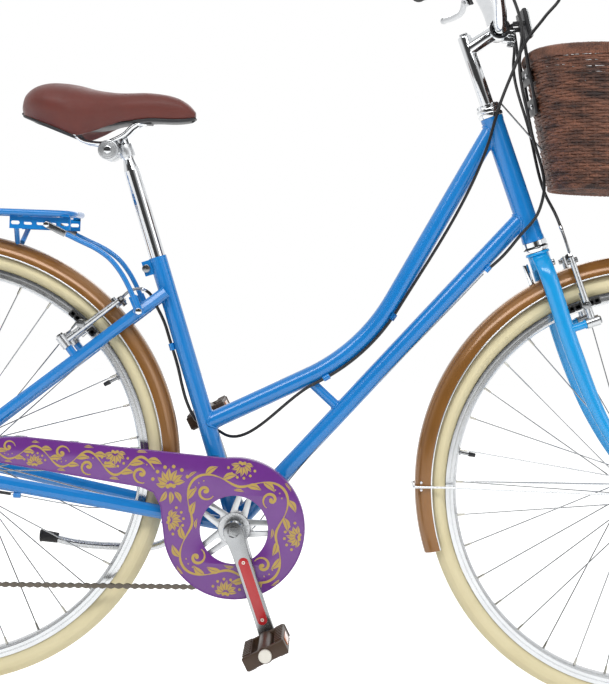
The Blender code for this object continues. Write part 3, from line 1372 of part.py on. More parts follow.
def rear_rack():
    """The rod rack over the rear wheel: loop, cross rods, deck strip, legs and forward stays."""
    level = RACK_HEIGHT
    loop_corners = [
        Vector((RACK_FRONT, -RACK_HALF_WIDTH, level)),
        Vector((RACK_FRONT, RACK_HALF_WIDTH, level)),
        Vector((RACK_REAR, RACK_HALF_WIDTH, level)),
        Vector((RACK_REAR, -RACK_HALF_WIDTH, level)),
    ]
    rack = pipe(rounded(loop_corners, RACK_CORNER_RADIUS, 3, closed=True), RACK_ROD_RADIUS, 1, closed=True)
    for forward in RACK_CROSS_RODS:
        ends = [Vector((forward, side * RACK_HALF_WIDTH, level)) for side in (LEFT, RIGHT)]
        joined(rack, rod(ends[0], ends[1], RACK_CROSS_ROD_RADIUS, 6))
    strip_length = RACK_FRONT - RACK_REAR - 0.002
    strip_middle = Vector(((RACK_FRONT + RACK_REAR) / 2, 0, level + 0.001))
    joined(rack, block((strip_length, RACK_STRIP_WIDTH, RACK_STRIP_THICKNESS), strip_middle))
    stay_end = RACK_STAY_ALONG_SEAT_STAY
    flat = 0.0015
    end_side = stay_side(stay_end - 0.012) + SEAT_STAY_RADIUS + GAP + flat
    for side in (LEFT, RIGHT):
        leg_top = Vector((RACK_FRONT - 0.225, side * RACK_HALF_WIDTH, level))
        foot = RACK_FOOT + ACROSS * side * RACK_FOOT_SIDE
        knee = foot + Vector((-0.001, 0, 0.060))
        leg = pipe(rounded([leg_top, knee, foot], 0.05, 3), RACK_ROD_RADIUS, 1)
        eye = rod(foot - ACROSS * RACK_ROD_RADIUS, foot + ACROSS * RACK_ROD_RADIUS, 0.0065, 10)
        end = stay(stay_end, 0, side * end_side)
        top = Vector((RACK_FRONT - 0.036, side * RACK_HALF_WIDTH, level))
        along = (top - end).normalized()
        brace = rod(top, end + along * 0.020, RACK_STAY_RADIUS, 8)
        level_turn = Quaternion((0, 1, 0), math.atan2(-along.z, along.x))
        tab = block((0.036, 2 * flat, 0.014), end + Vector((along.x, 0, along.z)) * 0.010, level_turn)
        joined(rack, leg, eye, brace, tab)
    keep(rack, "rear_rack", bicycle, BLUE)


def seat_and_post():
    """Seat post, saddle clamp, rails, base and cover."""
    bottom = seat(SEAT_TUBE_LENGTH - SEATPOST_INSERTION)
    keep(rod(bottom, POST_TOP, SEATPOST_RADIUS, 20), "seatpost", seatpost_body, CHROME)

    clamp_at = POST_TOP + CLAMP_PLACE
    collar = rod(POST_TOP - SEAT_UP * 0.030, POST_TOP - SEAT_UP * 0.001, SEATPOST_RADIUS + 0.0045, 16)
    barrel = rod(clamp_at - ACROSS * RAIL_SPREAD * 0.6, clamp_at + ACROSS * RAIL_SPREAD * 0.6, 0.012, 14)
    hollow = rod(POST_TOP - SEAT_UP * 0.035, POST_TOP + SEAT_UP * 0.002, SEATPOST_RADIUS + GAP, 20)
    bolt_end = RAIL_SPREAD + 0.014
    bolt = rod(clamp_at - ACROSS * bolt_end, clamp_at + ACROSS * bolt_end, 0.004, 8)
    bridge = block((0.018, 0.024, 0.016), POST_TOP + Vector((-0.021, 0, -0.003)))
    joined(collar, bridge, barrel, bolt)
    for side in (LEFT, RIGHT):
        start = clamp_at + ACROSS * side * (RAIL_SPREAD - 0.008)
        joined(collar, rod(start, start + ACROSS * side * 0.016, CLAMP_RADIUS, 14))
    rails = rail_path()
    cut(collar, hollow)
    for side in (LEFT, RIGHT):
        groove = [place + ACROSS * side * RAIL_SPREAD for place in rails]
        cut(collar, pipe(groove, RAIL_RADIUS * 1.06 + GAP, 2))
    keep(collar, "saddle_clamp", seatpost_body, ALLOY)

    half = [place + ACROSS * RAIL_SPREAD for place in rails]
    other = [place - ACROSS * RAIL_SPREAD for place in reversed(rails)]
    nose = rails[-1] + Vector((0.012, 0, -0.002))
    path = half + [nose + ACROSS * RAIL_SPREAD * 0.5, nose - ACROSS * RAIL_SPREAD * 0.5] + other
    keep(pipe(path, RAIL_RADIUS, 2), "saddle_rails", seatpost_body, CHROME)
    saddle_cover()


CLAMP_PLACE = Vector((-0.028, 0, 0.007))
RAIL_POINTS = ((-0.084, 0.029), (-0.062, 0.0145), (-0.044, 0.0135), (0.0, 0.026), (0.020, 0.044), (0.030, 0.046))
SADDLE_STATIONS = (
    (-0.171, 0.76, 0.080, 0.064),
    (-0.155, 0.92, 0.100, 0.058),
    (-0.126, 1.00, 0.110, 0.052),
    (-0.090, 0.97, 0.1095, 0.046),
    (-0.050, 0.80, 0.102, 0.045),
    (-0.012, 0.53, 0.100, 0.052),
    (0.035, 0.36, 0.102, 0.058),
    (0.072, 0.31, 0.097, 0.058),
    (0.094, 0.26, 0.087, 0.058),
    (0.106, 0.14, 0.072, 0.060),
)


def rail_path():
    """One rail's path in the middle plane."""
    places = [POST_TOP + Vector((x, 0, z)) for x, z in RAIL_POINTS]
    return smooth(places, 0.024)


def saddle_loft(stations, count, shape_point):
    """A closed solid through rings of points, one ring for each station."""
    shape = bmesh.new()
    rings = []
    for station in stations:
        ring = [shape.verts.new(shape_point(station, math.tau * i / count)) for i in range(count)]
        rings.append([shape.edges.new((ring[i], ring[(i + 1) % count])) for i in range(count)])
    for first, second in zip(rings, rings[1:]):
        bmesh.ops.bridge_loops(shape, edges=first + second)
    for ring in (rings[0], rings[-1]):
        bmesh.ops.edgeloop_fill(shape, edges=ring)
    return mesh_object(shape)


def saddle_cover():
    """The padded cover with its crown and drawn-in sides, and the base under it."""

    def cover_point(station, angle):
        x, share, top, low = station
        half = SADDLE_WIDTH / 2 * share
        across, up = math.sin(angle), math.cos(angle)
        rise = abs(up) ** 0.8 * (1 if up > 0 else -1)
        middle = low + (top - low) * 0.42
        height = middle + (top - middle) * rise if up > 0 else middle + (middle - low) * rise
        drawn = 1.0 if up > 0 else 1.0 - 0.13 * abs(up)
        wide = math.copysign(abs(across) ** 0.75, across)
        return POST_TOP + Vector((x, half * wide * drawn, height))

    cover = saddle_loft(SADDLE_STATIONS, 14, cover_point)
    keep(cover, "saddle_cover", seatpost_body, LEATHER)

    base_stations = [s for s in SADDLE_STATIONS[1:-1]]

    def base_point(station, angle):
        x, share, top, low = station
        half = SADDLE_WIDTH / 2 * share * 0.72
        across, up = math.sin(angle), math.cos(angle)
        wide = math.copysign(abs(across) ** 0.5, across)
        height = low - GAP * 2 - SADDLE_BASE_THICKNESS / 2 + SADDLE_BASE_THICKNESS / 2 * math.copysign(
            abs(up) ** 0.5, up
        )
        return POST_TOP + Vector((x, half * wide, height))

    base = saddle_loft(base_stations, 8, base_point)
    bosses = []
    rails = rail_path()
    for side in (LEFT, RIGHT):
        rear = rails[0] + ACROSS * side * RAIL_SPREAD
        bosses.append(rod(rear + Vector((-0.008, 0, 0.011)), rear + Vector((0.001, 0, -0.001)), 0.008, 8))
    joined(base, *bosses)
    front = rails[-1] + Vector((0.012, 0, -0.002))
    hook = block((0.016, 0.034, 0.014), front + Vector((0.004, 0, 0.003)))
    joined(base, hook)
    half = [place + ACROSS * RAIL_SPREAD for place in rails]
    other = [place - ACROSS * RAIL_SPREAD for place in reversed(rails)]
    path = half + [front + ACROSS * RAIL_SPREAD * 0.5, front - ACROSS * RAIL_SPREAD * 0.5] + other
    cut(base, pipe(path, RAIL_RADIUS * 1.06 + GAP, 2))
    keep(base, "saddle_base", seatpost_body, BLACK_PLASTIC)


SADDLE_BASE_THICKNESS = 0.006


def bar_path(side):
    """One half of the handlebar's axis, from the middle to its end."""
    places = [STEM_CLAMP.copy()]
    for x, y, z in BAR_BEND + (BAR_GRIP_START, BAR_END):
        places.append(STEM_CLAMP + Vector((x, side * y, z)))
    return places


def grip_line(side):
    """Where the straight end of the bar starts, and its direction outwards."""
    start = STEM_CLAMP + Vector((BAR_GRIP_START[0], side * BAR_GRIP_START[1], BAR_GRIP_START[2]))
    end = STEM_CLAMP + Vector((BAR_END[0], side * BAR_END[1], BAR_END[2]))
    return start, (end - start).normalized(), (end - start).length


def handlebar_and_stem():
    """Quill stem, handlebar, grips and twist shifter."""
    quill = rod(steer(UPPER_CUP_TOP - QUILL_INSERTION), steer(QUILL_TOP), QUILL_RADIUS, 20)
    neck = rod(steer(QUILL_TOP - 0.022), STEM_CLAMP, STEM_RADIUS, 14, STEM_RADIUS * 0.85)
    half = STEM_CLAMP_WIDTH / 2
    clamp = rod(STEM_CLAMP - ACROSS * half, STEM_CLAMP + ACROSS * half, STEM_CLAMP_RADIUS, 20)
    ear = block((0.020, 0.022, 0.020), STEM_CLAMP + Vector((0.017, 0, -0.010)))
    bolt_at = STEM_CLAMP + Vector((0.020, 0, -0.010))
    bolt = rod(bolt_at - Vector((0, 0, 0.016)), bolt_at + Vector((0, 0, 0.016)), 0.004, 8)
    cap = rod(steer(QUILL_TOP - 0.001), steer(QUILL_TOP + 0.004), 0.007, 6)
    bore = rod(STEM_CLAMP - ACROSS * 0.03, STEM_CLAMP + ACROSS * 0.03, BAR_RADIUS + GAP, 20)
    joined(quill, neck, clamp, ear, bolt, cap)
    keep(cut(quill, bore), "quill_stem", steering, CHROME)

    right, left = bar_path(RIGHT), bar_path(LEFT)
    level = [right[1], left[1]]
    bend = [right[-1], right[-2]] + smooth(right[1:-1][::-1], 0.028)[1:-1] + level
    bend += smooth(left[1:-1], 0.028)[1:-1] + [left[-2], left[-1]]
    keep(pipe(bend, BAR_RADIUS, 4), "handlebar", steering, CHROME)

    for side, word in ((RIGHT, "right"), (LEFT, "left")):
        start, out, length = grip_line(side)
        grip_start = length - GRIP_LENGTH
        inner = bore_radius(BAR_RADIUS, 14)
        profile = [
            (inner, 0),
            (GRIP_RADIUS + 0.0025, 0),
            (GRIP_RADIUS + 0.0025, 0.004),
            (GRIP_RADIUS, 0.006),
            (GRIP_RADIUS, GRIP_LENGTH),
            (GRIP_RADIUS - 0.003, GRIP_LENGTH + 0.005),
            (0, GRIP_LENGTH + 0.005),
            (0, GRIP_LENGTH + GAP * 2),
            (inner, GRIP_LENGTH + GAP * 2),
        ]
        grip = turned(profile, start + out * grip_start, out, 14)
        keep(grip, word + "_grip", steering, BLACK_RUBBER)
        if side == RIGHT:
            place = start + out * (grip_start - GAP - SHIFTER_LENGTH)
            holder = body("shifter_body", steering, place)
            twist = [
                (inner, 0),
                (SHIFTER_RADIUS, 0),
                (SHIFTER_RADIUS, SHIFTER_LENGTH * 0.8),
                (SHIFTER_RADIUS - 0.002, SHIFTER_LENGTH),
                (inner, SHIFTER_LENGTH),
            ]
            keep(turned(twist, place, out, 14), "shifter", holder, BLACK_PLASTIC)
        lever(side, word)


LEVER_CLAMP_START = 0.004


def lever_fore(out):
    """The direction square to the bar that a lever's hinge lies in: forwards and down."""
    lean = Vector((0.55, 0, -0.83))
    return (lean - out * out.dot(lean)).normalized()


def lever(side, word):
    """A brake lever's clamp bracket and its blade, hinged before and below the bar."""
    start, out, length = grip_line(side)
    inner = bore_radius(BAR_RADIUS, 12)
    half = LEVER_CLAMP_WIDTH / 2
    centre = start + out * (LEVER_CLAMP_START + half)
    fore = lever_fore(out)
    hinge_axis = out.cross(fore).normalized() * side
    clamp = turned(
        [(LEVER_CLAMP_RADIUS, half), (LEVER_CLAMP_RADIUS, -half), (inner, -half), (inner, half)], centre, out, 12
    )
    pivot = centre + fore * 0.036 + out * 0.010
    frame_turn = Matrix((out, hinge_axis, fore)).transposed().to_quaternion()
    arm = block((0.012, 0.012, 0.020), centre + fore * 0.022 - out * 0.005, frame_turn)
    tongue = block((0.022, 0.004, 0.018), centre + fore * 0.035 + out * 0.006, frame_turn)
    barrel_start = centre + fore * 0.024 - out * 0.008
    barrel = rod(barrel_start, barrel_start - out * 0.018, 0.0045, 10)
    pin = rod(pivot - hinge_axis * 0.0075, pivot + hinge_axis * 0.0075, 0.003, 8)
    keep(joined(clamp, arm, tongue, barrel, pin), word + "_lever_bracket", steering, ALLOY)

    holder = body(word + "_lever_body", steering, pivot)
    places = [
        pivot + out * 0.002,
        pivot + out * 0.035 + fore * 0.016,
        pivot + out * 0.075 + fore * 0.024,
        pivot + out * 0.118 + fore * 0.026,
    ]
    blade = pipe(smooth(places, 0.018), 0.0052, 2)
    ball = rod(places[-1] - out * 0.006, places[-1] + out * 0.004, 0.0065, 10)
    eye = rod(pivot - hinge_axis * 0.006, pivot + hinge_axis * 0.006, 0.0085, 14)
    slot_size = (0.034, 0.004 + 2 * RUNNING_GAP, 0.040)
    slot = block(slot_size, pivot - out * 0.004 - fore * 0.006, frame_turn)
    hole = rod(pivot - hinge_axis * 0.02, pivot + hinge_axis * 0.02, 0.003 + RUNNING_GAP, 8)
    joined(blade, ball, eye)
    cut(blade, slot, hole)
    keep(blade, word + "_brake_lever", holder, ALLOY)


def superellipse(half_x, half_y, centre, count):
    """A rounded oval of points in a level plane."""
    places = []
    for index in range(count):
        angle = math.tau * index / count
        across, along = math.sin(angle), math.cos(angle)
        x = half_x * math.copysign(abs(along) ** 0.8, along)
        y = half_y * math.copysign(abs(across) ** 0.8, across)
        places.append(centre + Vector((x, y, 0)))
    return places


def basket_ring(share, inset):
    """One level ring of the basket, by its share of the height and its inset from the outside."""
    rim_middle = STEM_CLAMP + Vector((BASKET_RIM_REACH + BASKET_LENGTH / 2, 0, -BASKET_RIM_DROP))
    half_x = (BASKET_FLOOR_LENGTH + (BASKET_LENGTH - BASKET_FLOOR_LENGTH) * share) / 2 - inset
    half_y = (BASKET_FLOOR_WIDTH + (BASKET_WIDTH - BASKET_FLOOR_WIDTH) * share) / 2 - inset
    centre = rim_middle + Vector((0, 0, -BASKET_HEIGHT * (1 - share)))
    return half_x, half_y, centre


def basket():
    """The open wicker basket: outer wall, rim, inner wall and floor."""
    count = 24
    levels = [(0.0, 0.010), (0.05, 0.0), (0.5, 0.0), (0.96, 0.0), (1.0, 0.002)]
    levels += [(1.0, BASKET_WALL - 0.001), (0.96, BASKET_WALL), (0.5, BASKET_WALL)]
    levels += [(BASKET_WALL / BASKET_HEIGHT + BASKET_FLOOR_CURVE, BASKET_WALL), (BASKET_WALL / BASKET_HEIGHT, BASKET_WALL + 0.010)]
    shape = bmesh.new()
    rings = []
    for share, inset in levels:
        half_x, half_y, centre = basket_ring(share, inset)
        ring = [shape.verts.new(place) for place in superellipse(half_x, half_y, centre, count)]
        rings.append([shape.edges.new((ring[i], ring[(i + 1) % count])) for i in range(count)])
    for first, second in zip(rings, rings[1:]):
        bmesh.ops.bridge_loops(shape, edges=first + second)
    for ring in (rings[0], rings[-1]):
        bmesh.ops.edgeloop_fill(shape, edges=ring)
    keep(mesh_object(shape), "basket", steering, WICKER)


def basket_back(share):
    """The middle of the basket's rear face at a share of its height."""
    half_x, half_y, centre = basket_ring(share, 0)
    return centre - Vector((half_x, 0, 0))


def basket_bracket():
    """The plate behind the basket, its arms from the handlebar, and the front reflector."""
    low, high = basket_back(0.585), basket_back(0.86)
    along = (high - low).normalized()
    back = Vector((-along.z, 0, along.x))
    tilt = Quaternion((0, 1, 0), math.atan2(along.x, along.z))
    middle = (low + high) / 2 + back * (BRACKET_PLATE_THICKNESS / 2 + GAP)
    plate_part = block((BRACKET_PLATE_THICKNESS, BRACKET_PLATE_WIDTH, (high - low).length), middle, tilt)
    for side in (LEFT, RIGHT):
        clamp_at = STEM_CLAMP + Vector((BAR_BEND[0][0], 0, BAR_BEND[0][2]))
        ring_place = clamp_at + ACROSS * side * (STEM_CLAMP_WIDTH / 2 + 0.0035)
        inner = bore_radius(BAR_RADIUS, 12)
        width = BRACKET_WIRE_RADIUS
        ring = turned(
            [(0.016, width), (0.016, -width), (inner, -width), (inner, width)], ring_place, ACROSS, 12
        )
        arm_path = [
            ring_place + Vector((0.0135, 0, 0.002)),
            STEM_CLAMP + Vector((0.030, side * 0.046, 0.010)),
            high + back * 0.012 + ACROSS * side * 0.046 + Vector((0, 0, 0.034)),
            high + back * 0.0045 + ACROSS * side * 0.036 - along * 0.012,
        ]
        joined(plate_part, ring, pipe(rounded(arm_path, 0.010, 2), BRACKET_WIRE_RADIUS, 1))
    face = STEM_CLAMP + FRONT_REFLECTOR_PLACE
    lean = Quaternion((0, 1, 0), math.radians(-15))
    reflector = block(FRONT_REFLECTOR_SIZE, face, lean)
    joined(plate_part, bevelled(reflector, 0.003, 1))
    for side in (LEFT, RIGHT):
        start = STEM_CLAMP + Vector((0.021, side * REFLECTOR_ROD_SIDE, 0.0053))
        joined(plate_part, rod(start, face + ACROSS * side * REFLECTOR_ROD_SIDE, REFLECTOR_ROD_RADIUS, 6))
    keep(plate_part, "basket_bracket", steering, BLACK_PLASTIC)


HOUSING_RADIUS = 0.0025
WIRE_RADIUS = 0.001


def cable(name, sections, parent):
    """A whole cable from sections of (places, spacing, radius), housing or bare wire."""
    path, radii = [], []
    for places, spacing, radius in sections:
        run = smooth(places, spacing)
        path += run
        radii += [radius / HOUSING_RADIUS] * len(run)
    return keep(pipe(path, HOUSING_RADIUS, 1, radii), name, parent, CABLE)


def down_tube_under(along, below, side):
    """A point under the down tube, by its distance from the crank axle."""
    joint = steer(HEAD_LOW + DOWN_TUBE_ABOVE_HEAD_END)
    axis = (joint - CRANK).normalized()
    return CRANK + axis * along + Vector((axis.z, 0, -axis.x)) * below + ACROSS * side


def chain_stay_beside(forward, inward, below):
    """A point by the right chain stay, inwards of its inner face and below its axis."""
    share = (forward - CHAIN_STAY_START.x) / (CRANK.x - CHAIN_STAY_START.x)
    middle = CHAIN_STAY_START.lerp(CRANK, share)
    side = between(forward, chain_stay_sides())
    inner = side - CHAIN_STAY_RADIUS * CHAIN_STAY_FLATNESS
    return Vector((forward, -(inner - inward), middle.z - below))


def lever_cable_start(side):
    """The end of a lever's adjusting barrel, and the direction that the cable leaves in."""
    start, out, length = grip_line(side)
    fore = lever_fore(out)
    centre = start + out * (LEVER_CLAMP_START + LEVER_CLAMP_WIDTH / 2)
    return centre + fore * 0.024 - out * (0.026 + GAP * 2), -out


def cables():
    """The front brake, rear brake and gear cables along their real routes."""
    start, inward = lever_cable_start(LEFT)
    front_tip = steer(PIVOT_ON_FORK + BRAKE_ARM_LENGTH + 0.004, FRONT_ARM_OFFSET, -BRAKE_BOSS_SPREAD)
    places = [start, start + inward * 0.012]
    places += [Vector(point) for point in FRONT_BRAKE_ROUTE]
    cable("front_brake_cable", [(places + [front_tip], 0.030, HOUSING_RADIUS)], steering)

    start, inward = lever_cable_start(RIGHT)
    places = [start, start + inward * 0.012]
    places += [Vector(point) for point in REAR_BRAKE_UPPER_ROUTE]
    under = []
    along_top = top_tube_path()
    for first, second in zip(along_top[1:-1], along_top[2:]):
        onward = (second - first).normalized()
        below = Vector((onward.z, 0, -onward.x))
        under.append(first + below * 0.0135 - ACROSS * 0.0125)
    places += under[::-1]
    places += [seat(*point) for point in REAR_BRAKE_SEAT_TUBE_ROUTE]
    places += [Vector(point) for point in REAR_BRAKE_LOWER_ROUTE]
    rear_tip = stay(PIVOT_ON_STAY + BRAKE_ARM_LENGTH + 0.004, REAR_ARM_OFFSET, -BRAKE_BOSS_SPREAD)
    cable("rear_brake_cable", [(places + [rear_tip], 0.034, HOUSING_RADIUS)], bicycle)

    start, out, length = grip_line(RIGHT)
    under_bar = Vector((-0.02, 0, -1.0))
    under_bar = (under_bar - out * out.dot(under_bar)).normalized()
    face = length - GRIP_LENGTH - GAP - SHIFTER_LENGTH
    upper = [
        start + out * (face - 5 * GAP) + under_bar * 0.0155,
        start + out * 0.020 + under_bar * 0.0210,
        start + out * 0.000 + under_bar * 0.0205,
    ]
    upper += [Vector(point) for point in GEAR_UPPER_ROUTE]
    upper.append(down_tube_under(0.565, 0.0150, -0.0095))
    wire = [down_tube_under(0.560, 0.0150, -0.0095), down_tube_under(0.100, 0.0150, -0.0095)]
    around = []
    for degrees in (-41, -66, -91, -116, -141):
        around.append(on_circle(CRANK, SHELL_RADIUS + WIRE_RADIUS + 3 * GAP, math.radians(degrees), -0.013))
    around += [chain_stay_beside(forward, 0.0024, 0.004) for forward in (0.415, 0.370, 0.300)]
    lower = [chain_stay_beside(0.290, 0.0036, 0.004), chain_stay_beside(0.235, 0.000, 0.0150)]
    lower += [chain_stay_beside(forward, -0.006, 0.0150) for forward in (0.190, 0.110)]
    lower += [Vector(point) for point in GEAR_LOWER_ROUTE]
    sections = [
        (upper, 0.032, HOUSING_RADIUS),
        (wire, 1.0, WIRE_RADIUS),
        (around, 0.060, WIRE_RADIUS),
        (lower, 0.032, HOUSING_RADIUS),
    ]
    cable("gear_cable", sections, bicycle)


FRONT_BRAKE_ROUTE = (
    (0.862, 0.088, 0.765),
    (0.8826, 0.062, 0.7116),
    (0.881, 0.045, 0.6685),
    (0.9056, 0.010, 0.5655),
    (0.9337, 0.000, 0.4640),
    (0.9490, -0.024, 0.429),
    (0.9620, -0.037, 0.393),
)
REAR_BRAKE_UPPER_ROUTE = (
    (0.885, -0.112, 0.800),
    (0.925, -0.090, 0.787),
    (0.9346, -0.080, 0.770),
    (0.912, -0.076, 0.735),
    (0.884, -0.070, 0.695),
    (0.868, -0.050, 0.650),
    (0.8535, -0.028, 0.604),
    (0.836, -0.0225, 0.535),
)
REAR_BRAKE_SEAT_TUBE_ROUTE = (
    (0.139, 0.0235, 0.0060),
    (0.150, 0.0110, 0.0172),
    (0.161, -0.0050, 0.0182),
    (0.174, -0.0150, 0.0118),
    (0.205, -0.0210, 0.0045),
    (0.236, -0.0205, 0.0010),
    (0.262, -0.0185, 0.0000),
    (0.310, -0.0185, 0.0000),
    (0.340, -0.0190, 0.0000),
    (0.368, -0.0235, -0.0010),
)
REAR_BRAKE_LOWER_ROUTE = ((0.3080, -0.0060, 0.2835), (0.2960, -0.0150, 0.2895), (0.2790, -0.0290, 0.2850))
GEAR_UPPER_ROUTE = (
    (0.8350, -0.1180, 0.7950),
    (0.8520, -0.0950, 0.7740),
    (0.8790, -0.0640, 0.7116),
    (0.8780, -0.052, 0.6685),
    (0.9036, -0.024, 0.5655),
    (0.9280, -0.021, 0.4625),
    (0.9187, -0.024, 0.430),
    (0.8930, -0.023, 0.396),
    (0.8680, -0.013, 0.3625),
)
GEAR_LOWER_ROUTE = (
    (0.060, -0.0765, -0.0330),
    (0.030, -0.0805, -0.0460),
    (0.008, -0.0829, -0.0540),
    (-0.020, -0.0803, -0.0535),
    (-0.045, -0.0783, -0.0410),
    (-0.038, -0.0790, -0.0310),
    (-0.0188, -0.0825, -0.0290),
)


def build_bicycle():
    """Makes every piece."""
    wheels()
    head_and_tubes()
    seat_tube()
    for side, word in ((RIGHT, "right"), (LEFT, "left")):
        chain_stay(side, word + "_chain_stay")
        seat_stay(side, word + "_seat_stay")
    mudguards()
    fork()
    brakes()
    drive()
    derailleur()
    chain_guard()
    kickstand()
    rear_rack()
    seat_and_post()
    handlebar_and_stem()
    basket()
    basket_bracket()
    cables()


build_bicycle()
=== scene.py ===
"""The looks of a step-through city bicycle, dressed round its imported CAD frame.

Lengths are metres. Every shape is drawn from the centre of the rear axle, with +X
forward, +Y to the rider's left and +Z up, and is set into the frame's own place when
its piece is finished. Each sub-assembly is a class that builds and dresses its pieces.
"""

import json
import logging
import math
import random
from dataclasses import dataclass
from enum import Enum
from typing import Any, Callable, Iterable, Optional, Sequence

import bmesh
import bpy
from mathutils import Matrix, Quaternion, Vector

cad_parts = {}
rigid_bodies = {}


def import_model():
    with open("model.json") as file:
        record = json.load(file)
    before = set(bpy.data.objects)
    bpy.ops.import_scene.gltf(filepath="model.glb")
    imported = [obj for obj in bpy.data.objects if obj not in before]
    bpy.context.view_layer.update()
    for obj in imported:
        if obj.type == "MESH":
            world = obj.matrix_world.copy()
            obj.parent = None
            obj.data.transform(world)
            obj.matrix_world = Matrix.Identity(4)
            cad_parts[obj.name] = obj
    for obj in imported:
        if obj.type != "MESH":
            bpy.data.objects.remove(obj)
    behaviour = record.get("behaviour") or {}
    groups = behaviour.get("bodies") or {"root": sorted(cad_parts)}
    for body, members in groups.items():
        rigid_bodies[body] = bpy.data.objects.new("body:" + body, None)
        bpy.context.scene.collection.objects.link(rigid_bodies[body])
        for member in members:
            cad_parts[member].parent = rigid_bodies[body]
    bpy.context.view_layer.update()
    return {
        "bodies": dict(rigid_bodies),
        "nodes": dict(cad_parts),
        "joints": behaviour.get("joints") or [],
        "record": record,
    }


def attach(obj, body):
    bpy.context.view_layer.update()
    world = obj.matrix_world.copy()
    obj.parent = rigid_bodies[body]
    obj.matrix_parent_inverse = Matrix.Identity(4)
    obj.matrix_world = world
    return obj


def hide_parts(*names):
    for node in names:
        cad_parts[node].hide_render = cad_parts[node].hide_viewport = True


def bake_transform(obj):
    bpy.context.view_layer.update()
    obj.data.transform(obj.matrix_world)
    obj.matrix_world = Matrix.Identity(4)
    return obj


log = logging.getLogger("bicycle")

ACROSS = Vector((0, 1, 0))
UP = Vector((0, 0, 1))
REAR_AXLE = Vector((0, 0, 0))
# The clearance between neighbours that don't touch, and the thickness of the dropouts.
GAP = 0.0003
DROPOUT = 0.006


class Side(Enum):
    """The two sides of the bicycle, by the sign of Y."""

    LEFT = 1
    RIGHT = -1

    @property
    def word(self) -> str:
        """The side's name in node names."""
        return self.name.lower()


@dataclass(frozen=True)
class Geometry:
    """The bicycle's driving sizes, as in the CAD part, with helpers that give places."""

    wheelbase: float = 1.110
    tyre_radius: float = 0.349
    rim_edge: float = 0.319
    rim_width: float = 0.024
    front_hub: float = 0.100
    rear_hub: float = 0.135
    chain_line: float = 0.045
    sprocket_pitch: float = 0.005
    length_behind: float = 0.380
    crank_forward: float = 0.460
    crank_drop: float = 0.079
    seat_angle: float = math.radians(71.4)
    seat_tube: float = 0.443
    tube_radius: float = 0.0143
    head_angle: float = math.radians(69.1)
    fork_rake: float = 0.041
    crown_low: float = 0.382
    crown_height: float = 0.032
    crown_depth: float = 0.040
    lower_cup: float = 0.017
    upper_cup: float = 0.022
    head_length: float = 0.209
    head_radius: float = 0.0175
    stay_foot: float = 0.0125
    stay_joint: float = 0.386
    post_height: float = 0.611
    stem_up: float = 0.7685
    stem_reach: float = 0.055

    @property
    def row_place(self) -> Vector:
        """Where the rear axle lies in the frame."""
        half_shift = (self.length_behind - self.wheelbase - self.tyre_radius) / 2
        return Vector((half_shift, 0, self.tyre_radius))

    @property
    def front_axle(self) -> Vector:
        """The centre of the front axle."""
        return Vector((self.wheelbase, 0, 0))

    @property
    def crank(self) -> Vector:
        """The centre of the crank axle."""
        return Vector((self.crank_forward, 0, -self.crank_drop))

    @property
    def steer_up(self) -> Vector:
        """The direction up the steering axis."""
        return Vector((-math.cos(self.head_angle), 0, math.sin(self.head_angle)))

    @property
    def steer_fore(self) -> Vector:
        """The direction square to the steering axis, forwards."""
        return Vector((math.sin(self.head_angle), 0, math.cos(self.head_angle)))

    @property
    def seat_up(self) -> Vector:
        """The direction up the seat tube."""
        return Vector((-math.cos(self.seat_angle), 0, math.sin(self.seat_angle)))

    @property
    def seat_fore(self) -> Vector:
        """The direction square to the seat tube, forwards."""
        return Vector((math.sin(self.seat_angle), 0, math.cos(self.seat_angle)))

    @property
    def head_low(self) -> float:
        """The height of the head tube's lower end along the steering axis."""
        return self.crown_low + self.crown_height + self.lower_cup

    @property
    def head_top(self) -> float:
        """The height of the head tube's upper end along the steering axis."""
        return self.head_low + self.head_length

    @property
    def stay_up(self) -> Vector:
        """The direction up a seat stay, in the wheel's plane."""
        return (self.seat(self.stay_joint) - UP * self.stay_foot).normalized()

    @property
    def stay_back(self) -> Vector:
        """The direction square to a seat stay, backwards and up."""
        along = self.stay_up
        return Vector((-along.z, 0, along.x))

    def steer(self, up: float, fore: float = 0.0, side: float = 0.0) -> Vector:
        """A point by its height up the steering axis, its reach before it and its side."""
        along = self.steer_up * up + self.steer_fore * (fore - self.fork_rake)
        return self.front_axle + along + ACROSS * side

    def seat(self, up: float, fore: float = 0.0, side: float = 0.0) -> Vector:
        """A point by its height up the seat tube, its reach before it and its side."""
        return self.crank + self.seat_up * up + self.seat_fore * fore + ACROSS * side

    def stay(self, up: float, back: float = 0.0, side: float = 0.0) -> Vector:
        """A point by its distance up a seat stay, its place behind it and its side."""
        offset = self.stay_foot * self.stay_back.z
        return self.stay_up * up + self.stay_back * (offset + back) + ACROSS * side

    @property
    def stem_clamp(self) -> Vector:
        """The middle of the handlebar's clamp."""
        return self.steer(self.stem_up, self.stem_reach)

    @property
    def post_top(self) -> Vector:
        """The top of the seat post."""
        return self.seat(self.post_height)


BIKE = Geometry()


def on_circle(centre: Vector, radius: float, angle: float, side: float = 0.0) -> Vector:
    """A point of a circle in the wheel's plane, its angle counted from +X towards +Z."""
    return centre + Vector((radius * math.cos(angle), side, radius * math.sin(angle)))


def between(value: float, places: Sequence[tuple[float, float]]) -> float:
    """The value of a line of (place, value) pairs, level past its ends.

    Args:
        value: Where on the line.
        places: The pairs, by rising place.

    Returns:
        The value there.
    """
    if value <= places[0][0]:
        return places[0][1]
    for (low, first), (high, second) in zip(places, places[1:]):
        if value <= high:
            return first + (second - first) * (value - low) / (high - low)
    return places[-1][1]


